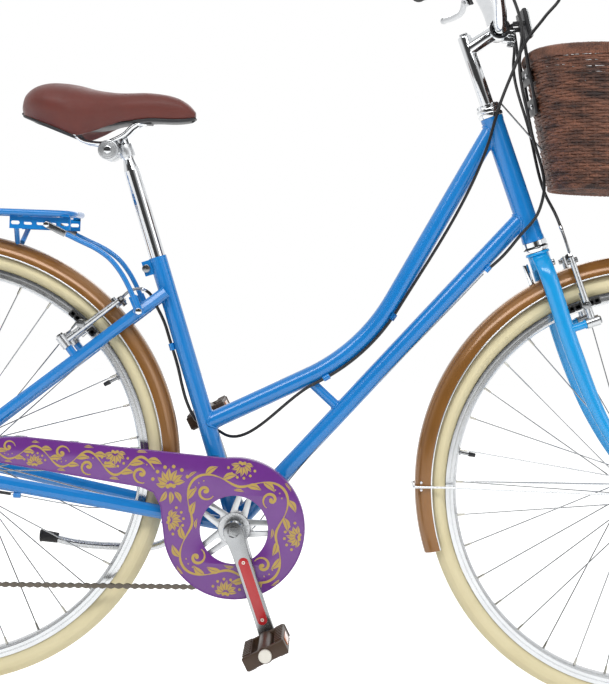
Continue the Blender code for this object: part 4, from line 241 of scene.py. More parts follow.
def smooth(points: Iterable[Sequence[float]], spacing: float) -> list[Vector]:
    """A smooth curve through the points.

    Args:
        points: The places it passes through.
        spacing: The longest step between its points.

    Returns:
        The curve's points.
    """
    places = [Vector(point) for point in points]
    spans = [(b - a).length for a, b in zip(places, places[1:])]
    slopes = [(places[1] - places[0]) / spans[0]]
    for i in range(1, len(places) - 1):
        before = (places[i] - places[i - 1]) / spans[i - 1]
        after = (places[i + 1] - places[i]) / spans[i]
        slopes.append((before * spans[i] + after * spans[i - 1]) / (spans[i] + spans[i - 1]))
    slopes.append((places[-1] - places[-2]) / spans[-1])
    path = [places[0]]
    for i, span in enumerate(spans):
        steps = max(1, math.ceil(span / spacing))
        for step in range(1, steps + 1):
            t = step / steps
            start = places[i] * (2 * t**3 - 3 * t**2 + 1) + slopes[i] * (span * (t**3 - 2 * t**2 + t))
            end = places[i + 1] * (3 * t**2 - 2 * t**3) + slopes[i + 1] * (span * (t**3 - t**2))
            path.append(start + end)
    return path


def rounded(
    points: Iterable[Sequence[float]], radius: float, steps: int = 6, closed: bool = False
) -> list[Vector]:
    """The points with each corner turned into an arc.

    Args:
        points: The corners.
        radius: The arcs' radius.
        steps: How many steps each arc takes.
        closed: Whether the line joins up.

    Returns:
        The rounded line's points.
    """
    places = [Vector(point) for point in points]
    path = [] if closed else [places[0]]
    count = len(places)
    for index in range(0 if closed else 1, count if closed else count - 1):
        before, corner, after = places[index - 1], places[index], places[(index + 1) % count]
        back, onward = (before - corner).normalized(), (after - corner).normalized()
        half = back.angle(onward) / 2
        centre = corner + (back + onward).normalized() * (radius / math.sin(half))
        arm = corner + back * (radius / math.tan(half)) - centre
        turn_axis = arm.cross(corner - centre)
        for step in range(steps + 1):
            path.append(centre + Quaternion(turn_axis, (math.pi - 2 * half) * step / steps) @ arm)
    if not closed:
        path.append(places[-1])
    return path


def crossing(first: Vector, first_angle: float, second: Vector, second_angle: float) -> Vector:
    """Where two lines in the wheel's plane meet, each through a point at an angle.

    Args:
        first: A point of the first line.
        first_angle: That line's angle.
        second: A point of the second line.
        second_angle: Its angle.

    Returns:
        The meeting point.
    """
    along = Vector((math.cos(first_angle), 0, math.sin(first_angle)))
    other = Vector((math.cos(second_angle), 0, math.sin(second_angle)))
    apart = second - first
    turn = along.x * other.z - along.z * other.x
    return first + along * ((apart.x * other.z - apart.z * other.x) / turn)


Link = bpy.types.NodeSocket


def linear(colour: str) -> tuple[float, float, float, float]:
    """The linear colour of an sRGB hex value.

    Args:
        colour: Six hex digits.

    Returns:
        Red, green, blue and full opacity.
    """
    channels = [int(colour[i : i + 2], 16) / 255 for i in (0, 2, 4)]
    red, green, blue = (c / 12.92 if c <= 0.04045 else ((c + 0.055) / 1.055) ** 2.4 for c in channels)
    return red, green, blue, 1.0


def add_node(
    tree: bpy.types.NodeTree, kind: str, settings: dict[str, Any], inputs: dict[Any, Any]
) -> bpy.types.Node:
    """Adds a shader node.

    Args:
        tree: The material's node tree.
        kind: The node's type name without its ShaderNode start.
        settings: Attributes to set.
        inputs: Values or sockets by input name or number.

    Returns:
        The new node.
    """
    node = tree.nodes.new("ShaderNode" + kind)
    for name, value in settings.items():
        setattr(node, name, value)
    for name, value in inputs.items():
        if isinstance(value, Link):
            tree.links.new(value, node.inputs[name])
        else:
            node.inputs[name].default_value = value
    return node


@dataclass(frozen=True)
class Finish:
    """A surface: its base colour, how it was made, and the pattern that shows on it.

    Grain and mottle are pattern sizes in millimetres, and relief is how strongly the
    grain stands out. Mottle mixes the second colour in. Unevenness is how far the
    roughness strays from its middle value, in patches finer than the mottle.
    """

    name: str
    colour: str
    second: str
    roughness: float
    metallic: float = 0.0
    coat: float = 0.0
    sheen: float = 0.0
    mottle_mm: float = 30.0
    mottle: float = 0.3
    grain_mm: float = 1.0
    relief: float = 0.05
    stretch: tuple[float, float, float] = (1.0, 1.0, 1.0)
    coat_roughness: float = 0.09
    unevenness: float = 0.25
    patches_per_mottle: float = 2.3

    def material(self) -> bpy.types.Material:
        """The finish as a material, made once."""
        found = bpy.data.materials.get(self.name)
        return found or self.build()

    def build(self) -> bpy.types.Material:
        """Makes the material.

        Returns:
            A Principled material with mottled colour, roughness and grain.
        """
        made = bpy.data.materials.new(self.name)
        made.use_nodes = True
        tree = made.node_tree
        shader = tree.nodes["Principled BSDF"]
        shader.inputs["Metallic"].default_value = self.metallic
        shader.inputs["Coat Weight"].default_value = self.coat
        shader.inputs["Coat Roughness"].default_value = self.coat_roughness
        shader.inputs["Sheen Weight"].default_value = self.sheen
        place = add_node(tree, "TexCoord", {}, {}).outputs["Object"]
        stretched = add_node(tree, "Mapping", {}, {"Vector": place, "Scale": self.stretch}).outputs[0]
        tree.links.new(self.paint(tree, stretched), shader.inputs["Base Color"])
        scale = 1000 / self.mottle_mm * self.patches_per_mottle
        rough = add_node(tree, "TexNoise", {}, {"Vector": stretched, "Scale": scale, "Detail": 3.0})
        spread = self.roughness * self.unevenness
        limits = {"To Min": self.roughness - spread, "To Max": self.roughness + spread}
        ranged = add_node(tree, "MapRange", {}, {"Value": rough.outputs[0], **limits})
        tree.links.new(ranged.outputs[0], shader.inputs["Roughness"])
        height = self.height(tree, stretched)
        bump = add_node(tree, "Bump", {}, {"Height": height, "Strength": self.relief, "Distance": 0.001})
        tree.links.new(bump.outputs[0], shader.inputs["Normal"])
        self.extra(tree, shader, place)
        return made

    def paint(self, tree: bpy.types.NodeTree, place: Link) -> Link:
        """The base colour, with the second colour mottled in.

        Args:
            tree: The material's node tree.
            place: The place on the surface.

        Returns:
            The colour.
        """
        pattern = {"Vector": place, "Scale": 1000 / self.mottle_mm, "Detail": 4.0}
        noise = add_node(tree, "TexNoise", {}, pattern)
        return self.mixed(tree, noise.outputs[0], 0.35, 0.75)

    def mixed(self, tree: bpy.types.NodeTree, value: Link, low: float, high: float) -> Link:
        """The base colour with the second one mixed in.

        Args:
            tree: The material's node tree.
            value: The pattern's value.
            low: The value up to which only the base colour shows.
            high: The value from which the mottle is full.

        Returns:
            The colour's socket.
        """
        limits = {"From Min": low, "From Max": high, "To Max": self.mottle}
        share = add_node(tree, "MapRange", {}, {"Value": value, **limits})
        colours = {0: share.outputs[0], 6: linear(self.colour), 7: linear(self.second)}
        return add_node(tree, "Mix", {"data_type": "RGBA"}, colours).outputs[2]

    def height(self, tree: bpy.types.NodeTree, place: Link) -> Link:
        """The grain's height.

        Args:
            tree: The material's node tree.
            place: The place on the surface.

        Returns:
            The height.
        """
        grain = {"Vector": place, "Scale": 1000 / self.grain_mm, "Detail": 2.0}
        return add_node(tree, "TexNoise", {}, grain).outputs[0]

    def extra(self, tree: bpy.types.NodeTree, shader: bpy.types.Node, place: Link) -> None:
        """Adds what only some finishes have."""


@dataclass(frozen=True)
class Leather(Finish):
    """Grained leather: closed cells with creases between them.

    Warp is how far the cells are pushed about, in metres, and crease how wide the
    slope from a cell's edge to its top is, as a share of a cell.
    """

    warp: float = 0.002
    crease: float = 0.35

    def height(self, tree: bpy.types.NodeTree, place: Link) -> Link:
        """Rounded cells, a little unequal.

        Args:
            tree: The material's node tree.
            place: The place on the surface.

        Returns:
            The height.
        """
        cell_scale = 1000 / self.grain_mm
        warp = add_node(tree, "TexNoise", {}, {"Vector": place, "Scale": cell_scale * 0.4})
        shifted = {0: warp.outputs[1], 1: (self.warp,) * 3, 2: place}
        bent = add_node(tree, "VectorMath", {"operation": "MULTIPLY_ADD"}, shifted)
        pattern = {"Vector": bent.outputs[0], "Scale": cell_scale}
        cells = add_node(tree, "TexVoronoi", {"feature": "DISTANCE_TO_EDGE"}, pattern)
        crease = {"Value": cells.outputs[0], "From Max": self.crease}
        return add_node(tree, "MapRange", {"interpolation_type": "SMOOTHSTEP"}, crease).outputs[0]


@dataclass(frozen=True)
class Turned(Finish):
    """Metal turned on a lathe: fine rings about an axis across the bicycle."""

    centre: tuple[float, float] = (0.0, 0.0)

    def height(self, tree: bpy.types.NodeTree, place: Link) -> Link:
        """Rings by the distance from the axis.

        Args:
            tree: The material's node tree.
            place: The place on the surface.

        Returns:
            The height.
        """
        axis = (-self.centre[0], 0, -self.centre[1])
        moved = add_node(tree, "Mapping", {}, {"Vector": place, "Location": axis, "Scale": (1, 0, 1)})
        far = add_node(tree, "VectorMath", {"operation": "LENGTH"}, {0: moved.outputs[0]})
        rings = {"W": far.outputs["Value"], "Scale": 1000 / self.grain_mm}
        return add_node(tree, "TexNoise", {"noise_dimensions": "1D"}, rings).outputs[0]


@dataclass(frozen=True)
class TyreRubber(Finish):
    """Moulded rubber: smooth side walls, and a cross-ribbed tread on the outer band.

    Slant is how far the ribs lean, in radians for each metre across, and depth how
    high they stand against the grain.
    """

    centre: tuple[float, float] = (0.0, 0.0)
    ribs: float = 240.0
    tread_half: float = 0.0115
    slant: float = 2.2
    depth: float = 0.6

    def height(self, tree: bpy.types.NodeTree, place: Link) -> Link:
        """Slanted tread ribs, faded out past the tread, over a fine grain.

        Args:
            tree: The material's node tree.
            place: The place on the surface.

        Returns:
            The height.
        """
        axle = (-self.centre[0], 0, -self.centre[1])
        moved = add_node(tree, "Mapping", {}, {"Vector": place, "Location": axle})
        x, y, z = add_node(tree, "SeparateXYZ", {}, {0: moved.outputs[0]}).outputs
        angle = add_node(tree, "Math", {"operation": "ARCTAN2"}, {0: z, 1: x}).outputs[0]
        side = add_node(tree, "Math", {"operation": "ABSOLUTE"}, {0: y}).outputs[0]
        lean = add_node(tree, "Math", {"operation": "MULTIPLY_ADD"}, {0: side, 1: self.slant, 2: angle})
        waves = add_node(tree, "Math", {"operation": "MULTIPLY"}, {0: lean.outputs[0], 1: self.ribs})
        rib = add_node(tree, "Math", {"operation": "SINE"}, {0: waves.outputs[0]})
        edge = {"From Min": self.tread_half, "From Max": self.tread_half * 0.9}
        tread = add_node(tree, "MapRange", {}, {"Value": side, **edge})
        shown = add_node(tree, "Math", {"operation": "MULTIPLY"}, {0: rib.outputs[0], 1: tread.outputs[0]})
        both = {0: shown.outputs[0], 1: self.depth, 2: Finish.height(self, tree, place)}
        return add_node(tree, "Math", {"operation": "MULTIPLY_ADD"}, both).outputs[0]


@dataclass(frozen=True)
class Wicker(Finish):
    """Split willow: fibres along each withy, and a shade of its own for each one."""

    fibres_per_metre: float = 900.0

    def paint(self, tree: bpy.types.NodeTree, place: Link) -> Link:
        """Fibre streaks over a colour that changes from withy to withy.

        Args:
            tree: The material's node tree.
            place: The place on the surface.

        Returns:
            The colour.
        """
        streaks = {"Vector": place, "Scale": self.fibres_per_metre, "Detail": 3.0}
        fibre = add_node(tree, "TexNoise", {}, streaks).outputs[0]
        shades = {"Vector": place, "Scale": 1000 / self.mottle_mm, "Detail": 1.0}
        shade = add_node(tree, "TexNoise", {}, shades).outputs[0]
        both = add_node(tree, "Math", {"operation": "MULTIPLY"}, {0: fibre, 1: shade})
        return self.mixed(tree, both.outputs[0], 0.14, 0.38)


# Orange peel, brush marks, lathe rings and moulded grain finer than about 0.3 mm wouldn't show in
# the render, so they are drawn at 0.3 mm or more. The enamels' ripple is drawn at 5 to 7 mm.

# Sprayed enamel under a clear coat: one even colour, with a narrow highlight that hardly ripples.
ENAMEL = {"coat": 0.4, "relief": 0.004, "grain_mm": 7.0}
ENAMEL_BLUE = Finish("blue_enamel_sprayed", "0f7cc8", "0c6fb6", 0.22, mottle_mm=60, mottle=0.35, **ENAMEL)
ENAMEL_LIGHT = Finish("light_blue_enamel_sprayed", "109ade", "0e8ccc", 0.22, mottle_mm=60, **ENAMEL)
ENAMEL_PURPLE = Finish("purple_enamel_sprayed", "6c3088", "5e2a78", 0.22, **ENAMEL)
# Metallic flakes in a sprayed bronze enamel: a warm glow that darkens where the guard curves away.
ENAMEL_BRONZE = Finish(
    "bronze_enamel_sprayed",
    "8c5e2a",
    "66421c",
    0.24,
    metallic=0.2,
    coat=0.4,
    mottle_mm=60,
    grain_mm=5.0,
    relief=0.005,
)
# Ink with gold flakes, screen printed: duller than the enamel, and a little brighter where light falls.
GOLD_PRINT = Finish("gold_printed_ink", "b69a4e", "a88a40", 0.34, metallic=0.15, grain_mm=0.4, relief=0.03)
# Flat paint on the crank's panel: strong colour and a soft shine.
RED_PANEL = Finish("red_painted_panel", "b8242a", "9c1c22", 0.25, coat=0.4, grain_mm=1.0, relief=0.02)
# Plated steel: a mirror of light and dark bands, bent a little by the tube under it.
CHROME = Finish(
    "chromed_steel", "dcdee0", "c4c8cc", 0.07, metallic=1.0, mottle_mm=12, grain_mm=5.0, relief=0.006
)
# Brushed aluminium: a soft white shine over grey, with no clear reflections.
ALLOY = Finish(
    "brushed_alloy", "c6c8ca", "a8abae", 0.28, metallic=1.0, mottle_mm=8, grain_mm=0.3, relief=0.05
)
# Bead blasting: the palest and most even of the metals, almost without a highlight.
ALLOY_BRIGHT = Finish(
    "bead_blasted_alloy", "d0d2d4", "b6b8ba", 0.34, metallic=0.9, mottle_mm=20, grain_mm=0.8, relief=0.02
)
# Forged and polished aluminium: smooth grey bands that blur at their edges.
POLISHED = Finish(
    "polished_alloy", "a8aaac", "86888a", 0.25, metallic=1.0, mottle_mm=30, grain_mm=6.0, relief=0.004
)
# Rolled bare steel: dark grey, with a broad dull shine.
STEEL = Finish("bare_steel", "8e9094", "63656a", 0.36, metallic=1.0, mottle_mm=6, grain_mm=0.5, relief=0.06)
# Drawn stainless wire: a thin bright line along each wire.
STAINLESS = Finish(
    "stainless_wire", "9a9c9e", "77797c", 0.22, metallic=1.0, mottle_mm=9, grain_mm=0.3, relief=0.02
)
# Oiled steel plates: brown-grey, with small greasy lights.
CHAIN_STEEL = Finish(
    "oiled_chain_steel", "6a645c", "47423c", 0.34, metallic=1.0, mottle_mm=5, grain_mm=0.6, relief=0.05
)
# Pressed steel collars and nickelled brass nipples: small warm lights round the rim.
EYELET_STEEL = Finish(
    "rim_eyelet_steel", "a2a4a6", "7c7e80", 0.3, metallic=1.0, mottle_mm=5, grain_mm=0.3, relief=0.03
)
NIPPLE = Finish(
    "nickelled_nipple", "b8b6ae", "98968e", 0.25, metallic=1.0, mottle_mm=4, grain_mm=0.3, relief=0.03
)
# Moulded rubber: almost black and matt, with a fine skin that breaks the light up.
RUBBER = Finish("black_rubber_moulded", "1b1b1d", "29292b", 0.62, mottle_mm=9, grain_mm=0.6, relief=0.12)
# Moulded nylon and the extruded skin of a cable: black with a soft grey shine.
PLASTIC = Finish("black_plastic_moulded", "1d1d20", "2a2a2e", 0.42, mottle_mm=14, grain_mm=0.5, relief=0.08)
HOUSING = Finish("black_cable_housing", "151517", "242426", 0.34, mottle_mm=18, relief=0.03)
# Moulded resin: dark brown with a dull shine, and ivory caps that stay clean.
RESIN = Finish("brown_resin_moulded", "3e2a18", "2c1c10", 0.4, mottle_mm=10, grain_mm=0.7, relief=0.12)
WHITE_CAP = Finish("white_cap_moulded", "e6e2d8", "d4cfc2", 0.3, mottle_mm=8, grain_mm=0.8, relief=0.03)
# Moulded lenses with prisms inside: a hard shine over a deep, broken colour.
LENS = {"coat": 0.8, "mottle_mm": 3, "grain_mm": 2.0, "relief": 0.25}
RED_LENS = Finish("red_lens_moulded", "c01414", "8a0c0c", 0.12, **LENS)
CLEAR_LENS = Finish("clear_lens_moulded", "d8dcdc", "b8bcbe", 0.1, **LENS)
AMBER_LENS = Finish("amber_lens_moulded", "c86a10", "9a4c08", 0.15, **{**LENS, "coat": 0.7})
# Embossed leather, waxed: red-brown, with a grain that softens its shine.
LEATHER = Leather(
    "brown_leather_grained",
    "602014",
    "44160d",
    0.46,
    coat=0.05,
    sheen=0.05,
    mottle_mm=25,
    grain_mm=1.1,
    relief=0.25,
)
# Split and stained willow: dark withies beside light ones, streaked along their fibres.
WILLOW = Wicker(
    "brown_split_willow",
    "24120c",
    "8a5a44",
    0.55,
    mottle_mm=16,
    mottle=0.95,
    grain_mm=0.35,
    relief=0.25,
    stretch=(0.35, 0.35, 1.4),
)
# Moulded cream rubber: chalky and warm, with a ribbed tread that shows at the outline.
CREAM = {"mottle_mm": 45, "grain_mm": 0.8, "relief": 0.35}
TREAD_FRONT = TyreRubber("cream_rubber_front", "e0d5ae", "cfc195", 0.6, centre=(0.5705, 0.349), **CREAM)
TREAD_REAR = TyreRubber("cream_rubber_rear", "e0d5ae", "cfc195", 0.6, centre=(-0.5395, 0.349), **CREAM)


def sharp_edges(part: bmesh.types.BMesh, degrees: float) -> list[bmesh.types.BMEdge]:
    """The edges between two faces that meet at more than an angle."""
    limit = math.radians(degrees)
    return [edge for edge in part.edges if len(edge.link_faces) == 2 and edge.calc_face_angle() > limit]


class Shape:
    """One piece's mesh while it is made, drawn from the rear axle, with its finishes."""

    def __init__(self, finish: Finish) -> None:
        """Starts an empty shape in a finish."""
        self.mesh = bmesh.new()
        self.finishes: list[Finish] = [finish]
        self.current = 0

    def using(self, finish: Finish) -> "Shape":
        """Turns to a finish for what is added next.

        Args:
            finish: The new finish.

        Returns:
            The shape itself.
        """
        if finish not in self.finishes:
            self.finishes.append(finish)
        self.current = self.finishes.index(finish)
        return self

    def add(self, part: bmesh.types.BMesh, bevel: float = 0.0, segments: int = 2) -> "Shape":
        """Joins a part to the shape in the current finish.

        Args:
            part: The part's own mesh, which is freed.
            bevel: How wide its sharp edges are rounded.
            segments: The steps of that rounding.

        Returns:
            The shape.
        """
        bmesh.ops.recalc_face_normals(part, faces=part.faces)
        if bevel:
            bmesh.ops.bevel(
                part,
                geom=sharp_edges(part, 34),
                offset=bevel,
                segments=segments,
                profile=0.5,
                affect="EDGES",
                material=-1,
                clamp_overlap=True,
            )
        for face in part.faces:
            face.material_index = self.current
        mesh = bpy.data.meshes.new("part")
        part.to_mesh(mesh)
        part.free()
        self.mesh.from_mesh(mesh)
        bpy.data.meshes.remove(mesh)
        return self

    def block(
        self, size: Sequence[float], centre: Vector, turn: Optional[Quaternion] = None, bevel: float = 0.0
    ) -> "Shape":
        """Adds a box of a size about a centre, turned by a quaternion.

        Args:
            size: Its length, width and height.
            centre: Its middle.
            turn: How it is turned.
            bevel: How far its edges are bevelled.

        Returns:
            The shape itself.
        """
        part = bmesh.new()
        rotation = (turn or Quaternion()).to_matrix().to_4x4()
        place = Matrix.Translation(centre) @ rotation @ Matrix.Diagonal((*size, 1))
        bmesh.ops.create_cube(part, size=1, matrix=place)
        return self.add(part, bevel, 3)

    def rod(
        self,
        start: Vector,
        end: Vector,
        radius: float,
        sides: int = 24,
        end_radius: Optional[float] = None,
        bevel: float = 0.0,
    ) -> "Shape":
        """Adds a round bar or cone from start to end.

        Args:
            start: The middle of its first end.
            end: The middle of its second end.
            radius: Its radius.
            sides: How many sides it has.
            end_radius: The radius at its second end, where it differs.
            bevel: How far its edges are bevelled.

        Returns:
            The shape itself.
        """
        along = end - start
        part = bmesh.new()
        bmesh.ops.create_cone(
            part,
            cap_ends=True,
            segments=sides,
            radius1=radius,
            radius2=radius if end_radius is None else end_radius,
            depth=along.length,
            matrix=Matrix.Translation((start + end) / 2) @ along.to_track_quat("Z", "Y").to_matrix().to_4x4(),
        )
        return self.add(part, bevel)

    def turned(
        self,
        profile: Sequence[tuple[float, float]],
        place: Vector,
        axis: Vector,
        steps: int = 48,
        closed: bool = True,
    ) -> "Shape":
        """Adds a ring or solid turned about an axis through place, from (radius, height) points.

        Args:
            profile: The outline's points.
            place: Where the heights are counted from.
            axis: The axis's direction.
            steps: How many steps make the full turn.
            closed: Whether the outline closes on itself.

        Returns:
            The shape itself.
        """
        part = bmesh.new()
        corners = [part.verts.new((radius, 0, height)) for radius, height in profile]
        edges = [part.edges.new(pair) for pair in zip(corners, corners[1:])]
        if closed:
            edges.append(part.edges.new((corners[-1], corners[0])))
        bmesh.ops.spin(
            part,
            geom=corners + edges,
            cent=(0, 0, 0),
            axis=(0, 0, 1),
            angle=math.tau,
            steps=steps,
            use_merge=True,
        )
        bmesh.ops.remove_doubles(part, verts=part.verts, dist=0.000005)
        turn = Matrix.Translation(place) @ axis.to_track_quat("Z", "Y").to_matrix().to_4x4()
        bmesh.ops.transform(part, matrix=turn, verts=part.verts)
        return self.add(part)

    def tube(
        self,
        points: Sequence[Vector],
        radius: float,
        detail: int = 4,
        radii: Optional[Sequence[float]] = None,
        closed: bool = False,
        moved: Optional[Callable[[Vector], Vector]] = None,
    ) -> "Shape":
        """Adds a round tube along the points.

        Args:
            points: Its axis.
            radius: Its radius.
            detail: The curve's bevel resolution.
            radii: Factors of the radius at each point.
            closed: Whether it joins up.
            moved: Where each of its points goes, to flatten or lean it.

        Returns:
            The shape.
        """
        curve = bpy.data.curves.new("tube", "CURVE")
        curve.dimensions = "3D"
        curve.bevel_depth = radius
        curve.bevel_resolution = detail
        curve.use_fill_caps = not closed
        spline = curve.splines.new("POLY")
        spline.points.add(len(points) - 1)
        spline.use_cyclic_u = closed
        for index, place in enumerate(points):
            spline.points[index].co = (*place, 1)
            spline.points[index].radius = radii[index] if radii else 1
        return self.add_curve(curve, moved=moved)

    def plate(
        self,
        outlines: Sequence[Sequence[tuple[float, float]]],
        thickness: float,
        side: float,
        bevel: float = 0.0,
    ) -> "Shape":
        """Adds a flat plate in the wheel's plane from (x, z) outlines, holes among them.

        Args:
            outlines: The outlines.
            thickness: The plate's thickness.
            side: How far to the left its middle lies.
            bevel: How far its edges are bevelled.

        Returns:
            The shape itself.
        """
        curve = bpy.data.curves.new("plate", "CURVE")
        curve.dimensions = "2D"
        curve.fill_mode = "BOTH"
        curve.extrude = thickness / 2 - bevel
        curve.bevel_depth = bevel
        curve.bevel_resolution = 1 if bevel else 0
        curve.offset = -bevel
        for outline in outlines:
            spline = curve.splines.new("POLY")
            spline.points.add(len(outline) - 1)
            spline.use_cyclic_u = True
            for point, (x, z) in zip(spline.points, outline):
                point.co = (x, z, 0, 1)
        stand = Matrix.Translation((0, side, 0)) @ Matrix.Rotation(math.radians(90), 4, "X")
        return self.add_curve(curve, stand)

    def add_curve(
        self,
        curve: bpy.types.Curve,
        place: Optional[Matrix] = None,
        moved: Optional[Callable[[Vector], Vector]] = None,
    ) -> "Shape":
        """Adds a curve's solid, set in place or moved point by point.

        Args:
            curve: The curve.
            place: Where it is set.
            moved: Where each point is moved.

        Returns:
            The shape itself.
        """
        holder = bpy.data.objects.new("curve", curve)
        mesh = bpy.data.meshes.new_from_object(holder)
        bpy.data.objects.remove(holder)
        bpy.data.curves.remove(curve)
        part = bmesh.new()
        part.from_mesh(mesh)
        bpy.data.meshes.remove(mesh)
        bmesh.ops.remove_doubles(part, verts=part.verts, dist=0.000001)
        if place:
            bmesh.ops.transform(part, matrix=place, verts=part.verts)
        if moved:
            for vertex in part.verts:
                vertex.co = moved(vertex.co)
        return self.add(part)

    def ball(self, centre: Vector, radius: float, rings: int) -> "Shape":
        """Adds a ball.

        Args:
            centre: Its middle.
            radius: Its radius.
            rings: How many rings it has.

        Returns:
            The shape itself.
        """
        part = bmesh.new()
        place = Matrix.Translation(centre)
        bmesh.ops.create_uvsphere(part, u_segments=rings * 2, v_segments=rings, radius=radius, matrix=place)
        return self.add(part)

    def finished(
        self, name: str, body: Optional[str], slot: str, nodes: Sequence[str] = (), crease: float = 35.0
    ) -> bpy.types.Object:
        """Makes the shape one piece.

        Args:
            name: The piece's name.
            body: The CAD body it rides on, or None for a piece that runs between two bodies and rides on
                neither.
            slot: The record's material slot for the piece; it is not used.
            nodes: The CAD nodes it stands for.
            crease: The angle in degrees past which an edge stays sharp.

        Returns:
            The new object.
        """
        bmesh.ops.translate(self.mesh, vec=BIKE.row_place, verts=self.mesh.verts)
        mesh = bpy.data.meshes.new(name)
        self.mesh.to_mesh(mesh)
        self.mesh.free()
        for finish in self.finishes:
            mesh.materials.append(finish.material())
        mesh.shade_smooth()
        mesh.set_sharp_from_angle(angle=math.radians(crease))
        piece = bpy.data.objects.new(name, mesh)
        bpy.context.scene.collection.objects.link(piece)
        if body:
            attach(piece, body)
        if nodes:
            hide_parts(*nodes)
        log.info("%s: %d faces", name, len(mesh.polygons))
        return piece


def refinish(frame: dict[str, Any], names: Iterable[str], finish: Finish) -> None:
    """Gives CAD nodes a procedural finish in place of their plain colour.

    Args:
        frame: The CAD frame.
        names: The nodes.
        finish: Their new finish.
    """
    for name in names:
        mesh = frame["nodes"][name].data
        for index in range(len(mesh.materials)):
            mesh.materials[index] = finish.material()


@dataclass(frozen=True)
class Lamp:
    """A soft area lamp that faces the bicycle."""

    name: str
    place: tuple[float, float, float]
    size: tuple[float, float]
    power: float

    def build(self) -> None:
        """Makes the lamp."""
        lamp = bpy.data.lights.new(self.name, "AREA")
        lamp.shape = "RECTANGLE"
        lamp.size, lamp.size_y = self.size
        lamp.energy = self.power
        holder = bpy.data.objects.new(self.name, lamp)
        holder.location = self.place
        aim = Vector((self.place[0] * 0.2, 0, 0.6)) - Vector(self.place)
        holder.rotation_euler = aim.to_track_quat("-Z", "Y").to_euler()
        bpy.context.scene.collection.objects.link(holder)


@dataclass(frozen=True)
class DarkCone:
    """A direction in which reflections see a dark wall instead of the white room.

    Start and full are the cosines at which it begins and is full, and white is the
    share of white left in its middle.
    """

    facing: tuple[float, float, float]
    start: float
    full: float
    white: float = 0.06

    def share(self, tree: bpy.types.NodeTree, way: Link) -> Link:
        """The share of white left along a way of looking.

        Args:
            tree: The material's node tree.
            way: The way of looking.

        Returns:
            The share.
        """
        unit = tuple(Vector(self.facing).normalized())
        near = add_node(tree, "VectorMath", {"operation": "DOT_PRODUCT"}, {0: way, 1: unit})
        limits = {"From Min": self.start, "From Max": self.full, "To Min": 1.0, "To Max": self.white}
        return add_node(tree, "MapRange", {}, {"Value": near.outputs["Value"], **limits}).outputs[0]


